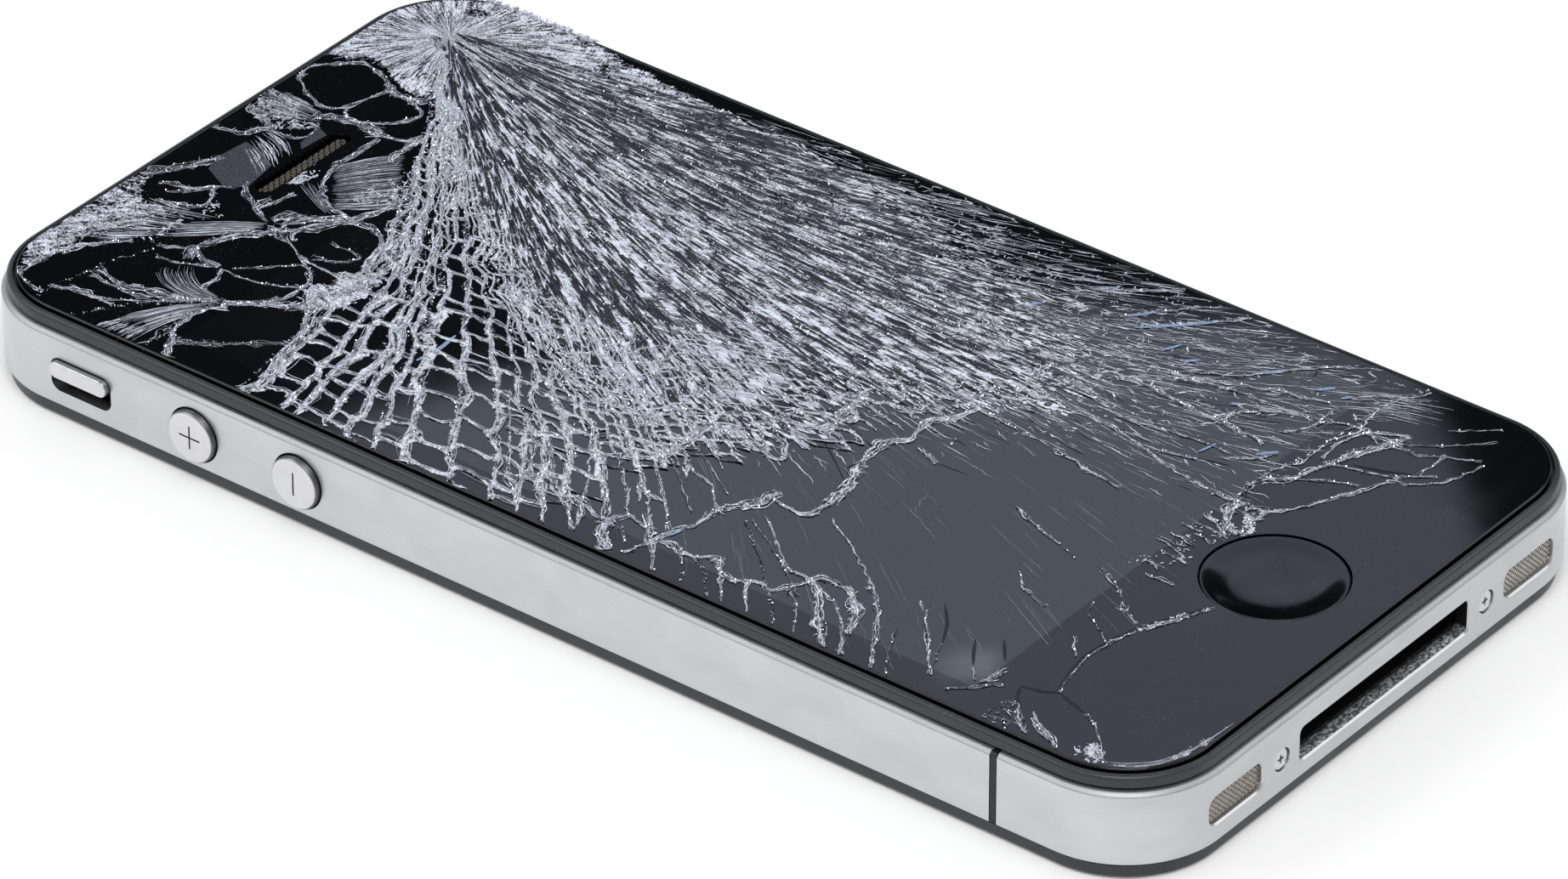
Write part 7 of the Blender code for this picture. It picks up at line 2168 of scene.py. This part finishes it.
# %% Cracks of the bottom and of the left side
LOW_CRACKS = [
    (0.28, 7, 0.75, [(-5.3, -9.6), (-2.8, -8.8), (0.7, -8.2), (3, -8.8)]),
    (0.06, 2, 0.35, [(-17.8, -12), (-20.8, -17), (-23.8, -21)]),
    (0.07, 1, 0.0, [(-18.5, -12), (-21.8, -16), (-24.3, -18.5)]),
    (0.06, 2, 0.25, [(-27.8, -32.4), (-25.1, -30.7), (-22.6, -29.3)]),
    (0.04, 1, 0.25, [(-26, -34.8), (-24, -34.1), (-22.2, -33.3)]),
    (0.10, 3, 0.4, [(-26.6, -37), (-25.2, -38.5), (-23.6, -39.9)]),
    (0.14, 4, 0.8, [(-24.4, -38.4), (-23.2, -38.9), (-22, -38.8)]),
    (0.07, 3, 0.5, [(-23.2, -36.9), (-23.8, -37.4), (-24.5, -38)]),
    (0.12, 3, 0.5, [(-22.8, -47), (-23.7, -48.5), (-25.1, -49.9), (-27.1, -51.7)]),
    (
        0.07, 2, 0.55,
        [(-21.8, -43.8), (-19.6, -43.15), (-17.1, -42.75), (-14.6, -42.95), (-12.1, -43.55)],
    ),
    (0.20, 6, 0.9, [(-11.5, -43.8), (-10.3, -44.3), (-9, -45), (-8.1, -45.3)]),
    (0.08, 2, 0.5, [(-8.1, -45.4), (-6.8, -45.9), (-5.9, -46.3)]),
    (0.16, 4, 0.5, [(-11.4, -43), (-10.9, -42), (-10.1, -40.7)]),
    (0.10, 3, 0.5, [(-10.1, -40.7), (-8.7, -39.6), (-7.9, -38.2), (-7.2, -36.6)]),
    (0.05, 2, 0.45, [(-14.6, -42.7), (-13.2, -40.7), (-12.4, -39.5), (-10.7, -38.8)]),
    (0.08, 3, 0.65, [(-17.4, -42.1), (-16.8, -41.4), (-15.4, -40.4)]),
    (0.09, 3, 0.6, [(-13.7, -36.3), (-12.9, -34.3), (-12.5, -33.5), (-11.1, -32)]),
    (0.10, 3, 0.95, [(-6.4, -32.1), (-5.7, -30.2), (-4.9, -27.9), (-4.2, -26.6)]),
    (0.05, 2, 0.3, [(-7.1, -34.1), (-6.6, -32.8), (-6.4, -32.1)]),
    (0.22, 6, 0.8, [
        (2.8, -42.4), (3.4, -40.3), (5.2, -39.3), (8.4, -38.8), (11.3, -38.8), (13.8, -39.7),
        (17, -39.9), (19.9, -40.6), (22, -40.2), (24.9, -40.6), (27.6, -42),
    ]),
    (
        0.20, 5, 0.75,
        [(9.9, -39), (11.3, -40.6), (14.5, -41.6), (17, -42.4), (19.9, -43.8), (21.4, -44.4)],
    ),
    (0.16, 5, 0.7, [(14.9, -40.9), (17.4, -40.6), (19.9, -41.6), (21.6, -44.5)]),
    (0.16, 4, 0.7, [(15.2, -42), (18.1, -43.1), (19.9, -44.1)]),
    (0.40, 10, 1.0, [(2.9, -42.9), (3.6, -42.4), (5.3, -41.4), (6.3, -40.4), (6.6, -39.8)]),
    (0.24, 7, 0.95, [(6.6, -39.8), (5.2, -39.4), (4.1, -39.9), (3.2, -40.8), (2.5, -41.6)]),
    (0.16, 4, 0.8, [(3.9, -38.5), (3.5, -38.9), (2.8, -40), (2, -41.3)]),
    (0.18, 5, 0.9, [(6.2, -40.4), (6.7, -41.4), (5.3, -41.9)]),
    (0.10, 4, 0.8, [(6.5, -39.7), (6.2, -38.4), (6.2, -37.2)]),
    (
        0.12, 4, 0.8,
        [(6.6, -41.6), (7.4, -42.5), (8.7, -43.5), (11, -44.6), (14.2, -46.2), (16.6, -47)],
    ),
    (0.10, 3, 0.65, [(11.3, -40.6), (12.4, -42.4), (13.8, -45.2)]),
    (0.09, 3, 0.6, [(14.7, -41.3), (15.4, -44.1), (16.4, -46.6), (18.3, -49.1)]),
    (0.10, 3, 0.75, [(15.6, -46.6), (16.6, -48.8), (18.4, -50.2), (21.6, -51.1)]),
    (0.08, 3, 0.8, [(17.7, -47.9), (19.4, -48.1), (20.9, -47.9)]),
    (0.09, 3, 0.6, [(19.9, -44.1), (19.9, -46.3), (20.9, -48.1), (22, -50.6)]),
    (0.06, 2, 0.5, [(20.2, -44.5), (22, -47), (24.9, -50.2)]),
    (0.06, 2, 0.5, [(24.1, -46.3), (25.4, -48), (26.6, -49.5)]),
    (0.12, 4, 0.8, [(2.4, -31.3), (3, -28), (3.6, -24.9), (4, -21)]),
    (0.11, 4, 0.75, [(6.5, -39), (6.6, -34.9), (7.4, -31.3), (8.8, -25.6), (9, -22)]),
    (0.10, 3, 0.6, [(11.3, -34.9), (11.2, -31), (10.6, -28), (10.4, -25)]),
    (0.10, 3, 0.6, [(9.2, -33.5), (8.4, -30.6), (8.2, -29.6)]),
    (0.15, 5, 0.85, [(14.1, -36.3), (14.5, -32), (14.5, -29.1), (15, -25.6), (14.7, -22)]),
    (0.13, 4, 0.75, [(19.1, -37.4), (18.8, -33.4), (18.4, -29.1), (17.7, -25.6), (17, -23.1)]),
    (0.10, 4, 0.8, [(21.6, -37), (20.6, -33.1), (19.1, -29.1), (17.7, -24.9)]),
    (0.11, 3, 0.75, [(27, -35.6), (24.9, -33.1), (22.7, -31.3), (20.2, -28.8), (18.4, -25.6)]),
    (0.14, 4, 0.8, [(27.6, -25.2), (25.6, -23.4), (23.4, -21.3), (21.3, -19)]),
    (0.12, 4, 0.8, [(27.5, -18.8), (25.6, -16.3), (23.4, -13.1)]),
    (0.09, 3, 0.6, [(27.4, -22.4), (24.1, -19.1), (21.6, -17.2)]),
    (0.12, 4, 0.7, [(10.4, -34.6), (11.4, -36.4), (12.6, -37.4), (13.6, -37.8)]),
    (0.18, 5, 0.9, [(14.2, -31.2), (15.4, -31.8), (16.4, -32.2)]),
    (0.10, 4, 0.8, [(16.4, -32.2), (17.4, -33.6), (18.6, -35.2)]),
    (0.12, 4, 0.7, [(16, -36.2), (17.6, -37.6), (19.2, -38), (21, -37.6)]),
    (0.15, 5, 0.75, [(19.2, -38), (20, -39.4), (20.2, -40.8), (19.8, -43), (20, -44.6)]),
]
for number, (half, count, tone, points) in enumerate(LOW_CRACKS):
    rope(points, np.full(len(points), half), count, tone, 400 + number * 2.9)
print(len(LOW_CRACKS), "cracks of the bottom laid as ropes")

# %% Bundles and combs of the bottom
bundle(
    [(20.5, -36.5), (22.5, -40), (24, -45.5)], [(23.5, -36), (26, -40.5), (27.7, -45)], 16,
    (0.015, 0.05), (0.3, 0.9), 501, 0.45,
)
bundle(
    [(20.5, -39), (22, -41.5), (22.5, -44)], [(24.5, -39.4), (26.5, -42), (27.6, -44)], 14,
    (0.015, 0.05), (0.3, 0.9), 502, 0.45,
)
bundle(
    [(-27.5, -44.9), (-27.8, -42.6), (-28.2, -41.2)],
    [(-24.6, -42.2), (-24.9, -41.8), (-24.7, -41.4)], 3, (0.02, 0.05), (0.3, 0.6), 503,
)
for left, right in (
    ((-28.2, -41.3), (-25.4, -41.4)), ((-28.2, -42.4), (-24.8, -41.5)),
    ((-28.2, -43.4), (-24.7, -41.8)), ((-27.6, -44.9), (-24.7, -42.2)),
    ((-27.6, -47.9), (-25.1, -43.8)), ((-27.2, -46.8), (-25.6, -44.2)),
):
    middle = ((left[0] + right[0]) / 2, (left[1] + right[1]) / 2 + 0.15)
    rope([left, middle, right], np.array([0.10, 0.26, 0.05]), 6, 0.65, 520 + left[1], swell=0.0)
# Comb marks and specks above the home button
for x, y, length in (
    (-5.6, -41, 2.6), (-4.2, -39.2, 1.8), (-2.6, -40, 2.4), (-1.6, -39.2, 3.2), (-0.2, -39, 2.6),
    (0.9, -40.2, 1.8), (2.2, -39.4, 1.6), (3.3, -39, 1.2), (1.4, -38.4, 1.2), (-0.9, -38.2, 1.6),
):
    lean = random.uniform(-0.25, 0.05)
    top, end = (x - lean * length * 0.4, y + length / 2), (x + lean * length, y - length / 2)
    rope([end, (x + 0.1, y), top], [0.10, 0.07, 0.03], 3, 0.75, 560 + x)
print("points of threads so far:", threads["count"])

# %% Crumbs of the bottom
crumbs(
    60, [(-5.8, -37.6), (3.4, -38.6), (4, -41), (-2, -41.2), (-5.6, -39.5)], (0.1, 0.5),
    (0.03, 0.09), (0.5, 1.0), 1.0, 0.5,
)
crumbs(
    130, [(6.1, -40.3), (6.7, -41.5), (5.3, -41.9), (3.4, -42.8), (2.8, -42.3), (4.5, -41.2)],
    (0.1, 0.6), (0.03, 0.11), (0.6, 1.0), 1.0, 0.3,
)
crumbs(
    50, [(-12, -43.6), (-8, -45.6), (-8, -44.9), (-11.6, -43.3)], (0.1, 0.5), (0.03, 0.10),
    (0.6, 1.0), 1.0, 0.3,
)
crumbs(
    140, [(-28.3, -48.8), (-26.2, -49), (-25.4, -50), (-27, -53), (-28.2, -52)], (0.1, 0.8),
    (0.03, 0.12), (0.4, 1.0), 1.2, 0.35,
)
crumbs(
    420, [
        (-28, -52.6), (-26.6, -52.8), (-24.8, -55), (-17.6, -56.0), (-17.6, -56.6), (-24, -56.4),
        (-27, -54.6),
    ], (0.1, 0.7), (0.02, 0.08), (0.25, 0.85), 1.2, 0.35,
)
bundle(
    [(-28.0, -49.5), (-27.6, -52.6), (-25.2, -55.2), (-21.8, -56.2), (-17, -56.4)],
    [(-27.2, -49.8), (-26.6, -52), (-24.6, -54.4), (-21.6, -55.6), (-17, -56.0)], 26, (0.015, 0.05),
    (0.15, 0.6), 511, 0.6,
)
print("points of threads so far:", threads["count"])


# %% Slits
def slits(rows, half):
    """Dark gaps: each a row of points, narrow at both ends."""
    for points in rows:
        curve = flowing(points)[0]
        s = np.linspace(0, 1, len(curve))
        width = (half * (0.1 + np.sin(np.pi * s) ** 0.7))[None]
        lay(curve[None], width, np.zeros((1, len(curve))), 0.05, 0.03)


slits([
    [(-22.2, -33.3), (-19.9, -32), (-17.8, -30.2)],
    [(-22.9, -36.7), (-21.5, -35.7), (-20.1, -34.8)],
    [(-21, -38.2), (-20, -37.4), (-18.9, -36.5)], [(15.8, -43.2), (16.5, -45.6), (17.5, -47.5)],
    [(-24.9, -42.7), (-24.3, -41.8), (-22.9, -41.1)],
    [(-22.9, -41.1), (-22.5, -42.7), (-21.9, -43.8)],
    [(-21.9, -43.9), (-22.4, -45.4), (-22.8, -46.8)],
], 0.13)
LONG_GAP = [
    (-21.8, -43.5), (-19.6, -42.85), (-17.1, -42.45), (-14.6, -42.65), (-12.1, -43.25),
    (-9.9, -44.1), (-7.9, -45.1), (-5.8, -46.1),
]
slits([LONG_GAP], 0.09)
slits([[(6, -40.2), (8.1, -38.95), (9.8, -38.6)], [(-10.8, -16), (-7, -11), (-4, -6)]], 0.05)
weld_threads("cracks_of_bottom")

# %% [markdown]
# ## Around the blow
#
# Where the phone was struck the glass is crushed to powder and splinters, and some of it was
# pushed over the frame. The powder could be strewn as crumbs, but tens of thousands would be
# needed. It is a thin sheet instead, with a ragged edge and the ground glass's own splinters,
# which point to the blow.

# %% Around the blow
def patch(name, polygon, centre, tone, spots=()):
    """Ground glass that fills a polygon, with splinters that point to a centre. Its edge is
    ragged, and round places in it are left dark."""
    polygon = np.array(polygon, float)
    (x0, y0), (x1, y1) = polygon.min(0), polygon.max(0)
    x, y = np.meshgrid(np.arange(x0, x1, 0.14), np.arange(y0, y1, 0.14), indexing="ij")
    plan = np.stack([x, y], -1)
    away = plan - centre
    radius = np.linalg.norm(away, axis=-1)
    angle = np.unwrap(np.unwrap(np.arctan2(away[..., 1], away[..., 0]), axis=0), axis=1)
    inside = inside_by(plan.reshape(-1, 2), polygon).reshape(x.shape)
    for px, py, reach in spots:
        inside = np.minimum(inside, np.hypot(x - px, y - py) - reach)
    whole = (
        inside + 0.9 * (lattice(x / 0.8, y / 0.8, 81) - 0.6) > random.uniform(-0.1, 0.25, x.shape)
    )
    whole = whole[:-1, :-1] & kept(plan, 0.1)[:-1, :-1] & kept(plan, 0.1)[1:, 1:]
    lift = (
        0.012 + 0.05 * lattice(angle * 30, radius / 1.2, 82) + 0.02 * random.uniform(0, 1, x.shape)
    )
    number = np.arange(x.size).reshape(x.shape)
    corners_of = [number[:-1, :-1], number[1:, :-1], number[1:, 1:], number[:-1, 1:]]
    faces = np.stack(corners_of, -1)[whole]
    shade = tone + 0.34 * (lattice(angle * 9, radius / 2.6, 83) - 0.5)
    shade = shade + 0.30 * (lattice(x / 1.1, y / 1.1, 84) - 0.5)
    points = np.concatenate([plan, (GLASS_TOP + lift)[..., None]], -1).reshape(-1, 3)
    flat_map = np.stack([angle * 6.0, radius * 1.3], -1).reshape(-1, 2)
    return surface(name, points, faces, GROUND, {"tone": shade.reshape(-1)}, flat_map)


BLOW = (21.5, 49.8)
patch(
    "ground_glass_at_blow",
    [
        (12.6, 57), (13.6, 55.2), (14.9, 53), (14.6, 51), (13.4, 48.6), (13.2, 46.2), (14.6, 44.8),
        (20.5, 47.5), (23.2, 46), (24, 38), (25, 31), (25.4, 24), (26.0, 22), (26.6, 30),
        (27.4, 37), (28.4, 42), (28.4, 57),
    ],
    BLOW, 0.52, [(25.9, 50.4, 0.75), (20.2, 50.0, 0.45), (20.6, 50.9, 0.4)],
)
patch(
    "ground_glass_at_top", [
        (-25, 54.1), (-22.4, 56.3), (-12, 56.6), (-8.6, 56.3), (-9.2, 54.8), (-12, 53.4),
        (-11.6, 51.6), (-14.6, 50.6), (-18, 52.4), (-21, 53.6), (-24, 54),
    ], (-8.0, 44), 0.30,
)
patch(
    "ground_glass_by_ear", [(4.4, 56.3), (7.0, 56.3), (7.0, 54), (6.2, 52.6), (5.2, 52.8)],
    (5.5, 48), 0.26,
)
patch(
    "ground_glass_at_node", [
        (-16, 32.6), (-14.6, 34.8), (-13.2, 34.8), (-12.2, 33.4), (-10.6, 34), (-9.6, 31),
        (-12, 30.2), (-14.6, 31),
    ], (-12, 38), 0.5,
)

# %% Splinters round the blow
# They fan out from it to the corner and down the right side
for first, last, count, seed in (
    ([(14.2, 45.3), (17.4, 47.6), (21, 49.6)], [(13, 56.8), (17, 53.5), (21, 50.4)], 90, 601),
    ([(13, 56.8), (17, 53.8), (21, 50.6)], [(22, 56.6), (21.9, 54), (21.6, 51)], 60, 602),
    ([(22, 56.6), (21.9, 54), (21.7, 51)], [(28, 52), (25.5, 51), (22.4, 50)], 60, 603),
    ([(28, 52), (25.5, 51), (22.4, 50)], [(26.6, 26), (25.4, 36), (23, 47)], 120, 604),
):
    bundle(first, last, count, (0.012, 0.045), (0.3, 0.9), seed, 0.85)
    bundle(first, last, count // 4, (0.02, 0.07), (0.0, 0.15), seed + 20, 0.9)
crumbs(
    1100, [
        (13, 57), (15, 53), (13.4, 46), (21, 49), (24, 40), (26, 26), (26.8, 32), (28.3, 41),
        (28.3, 57),
    ], (0.08, 0.6), (0.015, 0.06), (0.4, 1.0), 1.4,
)
# Glass that was pushed over the frame beside the blow
strewn = np.stack([random.uniform(28.0, 29.0, 420), random.uniform(40.5, 53.5, 420)], -1)
strewn = strewn[inside_by(strewn, outline(0.55, 6)) > 0]
n = len(strewn)
dashes(
    strewn, random.uniform(-0.9, 0.9, n), random.uniform(0.2, 1.0, n),
    random.uniform(0.04, 0.13, n), random.uniform(0.35, 0.85, n),
    random.uniform(-0.20, -0.02, n)[:, None], anywhere=True,
)
crumbs(
    60, [(21, 52.4), (22, 52.6), (22.2, 51), (21.4, 50.6)], (0.2, 0.8), (0.04, 0.12), (0.8, 1.0),
    1.0, 0.2,
)
crumbs(
    520, [(24.6, 49.8), (23.4, 53), (20.4, 53.2), (18.2, 51), (18.4, 48), (21, 46.6), (23.8, 47.4)],
    (0.1, 0.5), (0.03, 0.09), (0.3, 0.9), 0.8, 0.2,
)
weld_threads("splinters_at_blow")

# %% [markdown]
# ## Shards with a painted reflection of something pale
#
# A few shards have sunk at one side. A piece of mirror that leans by only a degree shows another
# part of the room than its neighbours do. Each is laid on the pane as four-sided faces that meet
# at a middle a hair higher, and has a pale grey tone, a painted reflection of something pale.
# Single splinters have short bluish bars painted on them, a painted reflection of a window.

# %% Tilted shards
def plates(polygons, tone):
    """Thin flat shards that lie a little tilted, with a pale tone that is a painted reflection, as
    one piece.
    """
    for polygon in polygons:
        ring = np.array(polygon, float)
        middle = ring.mean(0)
        for k in range(len(ring)):
            a, b = ring[k], ring[(k + 1) % len(ring)]
            corner = (a + b) / 2
            lifts = ((a, 0.01), (corner, 0.02), (b, 0.01), (middle, 0.03))
            points = np.array([[*place, GLASS_TOP + lift] for place, lift in lifts])
            threads["points"].append(points)
            threads["faces"].append(np.array([[0, 1, 2, 3]]) + threads["count"])
            threads["tone"].append(np.full(4, tone))
            threads["cold"].append(np.zeros(4))
            threads["count"] += 4


SHARDS = [
    [
        (-5.3, 52.3), (-3.6, 52.9), (-0.4, 52.6), (-0.9, 50.4), (-1.8, 48.7), (-5.4, 48.1),
        (-6.7, 49.4),
    ],
    [(2.1, 49.1), (4.7, 49.3), (4.3, 48.2), (1.4, 48.4)],
]
# The shards' tone is a painted reflection of something pale
plates(SHARDS, 0.055)
weld_threads("tilted_shards")

# %% Bluish bars: a painted reflection of a window on splinters
for points, half in (
    ([(-21.4, 25.9), (-18.6, 26.1)], 0.12), ([(-16.6, 21.6), (-14.2, 21.3), (-12, 21.5)], 0.16),
    ([(-14.4, 25.6), (-12.6, 25.2)], 0.14), ([(25.4, -23.4), (23.2, -21.2), (21, -18.9)], 0.17),
    ([(23.9, -19), (22.6, -18), (21.6, -17.1)], 0.15), ([(24.8, -14.6), (23.8, -13.2)], 0.10),
    ([(23.4, -31.7), (22.2, -30.8), (21.4, -30)], 0.15), ([(20.4, -25.6), (19.4, -24.6)], 0.13),
    ([(21.2, -23.2), (19.6, -22.4)], 0.12), ([(10, -33), (11.8, -33.4)], 0.10),
    ([(12.4, -36.6), (13.8, -37.8)], 0.14), ([(23.6, -36), (22.4, -35)], 0.14),
    ([(18.6, -10.4), (19.4, -11.2)], 0.12), ([(17.4, -31.6), (16.8, -31)], 0.12),
    ([(23.4, -37.8), (22.6, -37.2)], 0.12), ([(-23.4, -8.6), (-22.2, -8.9)], 0.10),
):
    curve = flowing(points)[0]
    s = np.linspace(0, 1, len(curve))
    spread = half * (0.25 + np.sin(np.pi * s) ** 0.5)
    lay(curve[None], spread[None], np.full((1, len(curve)), 0.75), 0.1, 0.07, 1.0)
weld_threads("bluish_splinters")

# %% [markdown]
# ## Needles
#
# Past its crushed part the fan goes on as single cracks, with fine needles of glass along them
# that grow fewer with the distance. They are scattered by a density over the fan, so that each
# guide can have its own number of them and its own length of fading.

# %% Needles beyond the crushed part
beyond = np.clip((shares_fine - crushed_end(guides_fine) + 0.02) / 0.02, 0, 1)
NEEDLES = [0, 0, 0, 0, 0, 0.1, 0.35, 0.6, 1.0, 1.0, 1.0, 1.0, 1.0, 1.0, 0.8, 0.6]
FADE = [
    0.1, 0.1, 0.1, 0.1, 0.015, 0.02, 0.025, 0.035, 0.05, 0.09, 0.12, 0.20, 0.26, 0.28, 0.25, 0.3,
]
fading = np.exp(-np.clip(shares_fine - crushed_end(guides_fine), 0, 1) / table(FADE, guides_fine))
needle_density = beyond * fading * table(NEEDLES, guides_fine)
streaks(
    1500, needle_density, (0.8, 6.0), (0.010, 0.045), any_tone(0.15, 0.95), points=9, drift=0.06,
    level=0.02,
)
streaks(500, needle_density * fading, (0.3, 1.6), (0.03, 0.10), any_tone(0.3, 1.0), level=0.03)
streaks(160, needle_density, (1.0, 5.0), (0.03, 0.10), any_tone(0.0, 0.06), level=0.015)
spots = sown(900, needle_density * fading)
n = len(spots[0])
dashes(
    fan(*spots), random.uniform(0, np.pi, n), random.uniform(0.08, 0.5, n),
    random.uniform(0.02, 0.06, n), random.uniform(0.5, 1.0, n),
)
# Long faint scratches on the whole grey glass
plain = np.clip((guides_fine - 4.5) / 0.5, 0, 1) * np.clip((9.4 - guides_fine) / 0.4, 0, 1)
plain = plain * (shares_fine > crushed_end(guides_fine) + 0.03)
streaks(
    170, plain, (3.0, 12.0), (0.012, 0.03), any_tone(0.08, 0.30), points=9, drift=0.02, level=0.0,
)
weld_threads("needles")

# %% [markdown]
# ## Facets that catch the lamps
#
# Crushed glass sparkles: here and there a facet inside a crack stands at the angle that throws a
# lamp's light at the eye, and mirrors it whole, while its neighbours stay grey. Such facets are
# modelled as loose little kites, each with its own tilt, with the polish of a fresh break.

# %% Kites
def kites(name, centres, reach, tilt):
    """Flat four-cornered flakes with their own size, turn, tilt and lean. A corner's height is
    tan(tilt) times its distance from the middle, times the cosine of its angle to the lean."""
    n = len(centres)
    angle = random.uniform(0, 2 * np.pi, (n, 1)) + np.arange(4) * np.pi / 2
    angle = angle + random.uniform(-0.5, 0.5, (n, 4))
    size = random.uniform(*reach, (n, 1)) * random.uniform(0.5, 1.2, (n, 4))
    lean = random.uniform(0, 2 * np.pi, (n, 1))
    slope = np.tan(np.radians(random.uniform(*tilt, (n, 1))))
    plan = centres[:, None] + size[..., None] * np.stack([np.cos(angle), np.sin(angle)], -1)
    height = GLASS_TOP + 0.07 + slope * (size * np.cos(angle - lean) + size.max(1, keepdims=True))
    points = np.concatenate([plan, height[..., None]], -1)
    corners_of = np.arange(n * 4).reshape(n, 4)[kept(plan, 0.05).all(1)]
    return surface(name, points.reshape(-1, 3), corners_of, FACET, {})


FACET = start("polished facet of broken glass", "#eef2fd", 0.14, 1.0)[0]
in_fan = fan(*sown(4200, crushed_density * narrowing))
in_web = glints + random.normal(0, 0.1, glints.shape)
in_ropes = np.concatenate(rope_spots)
kites("facets", np.concatenate([in_web, in_ropes, in_fan]), (0.03, 0.075), (22, 46))
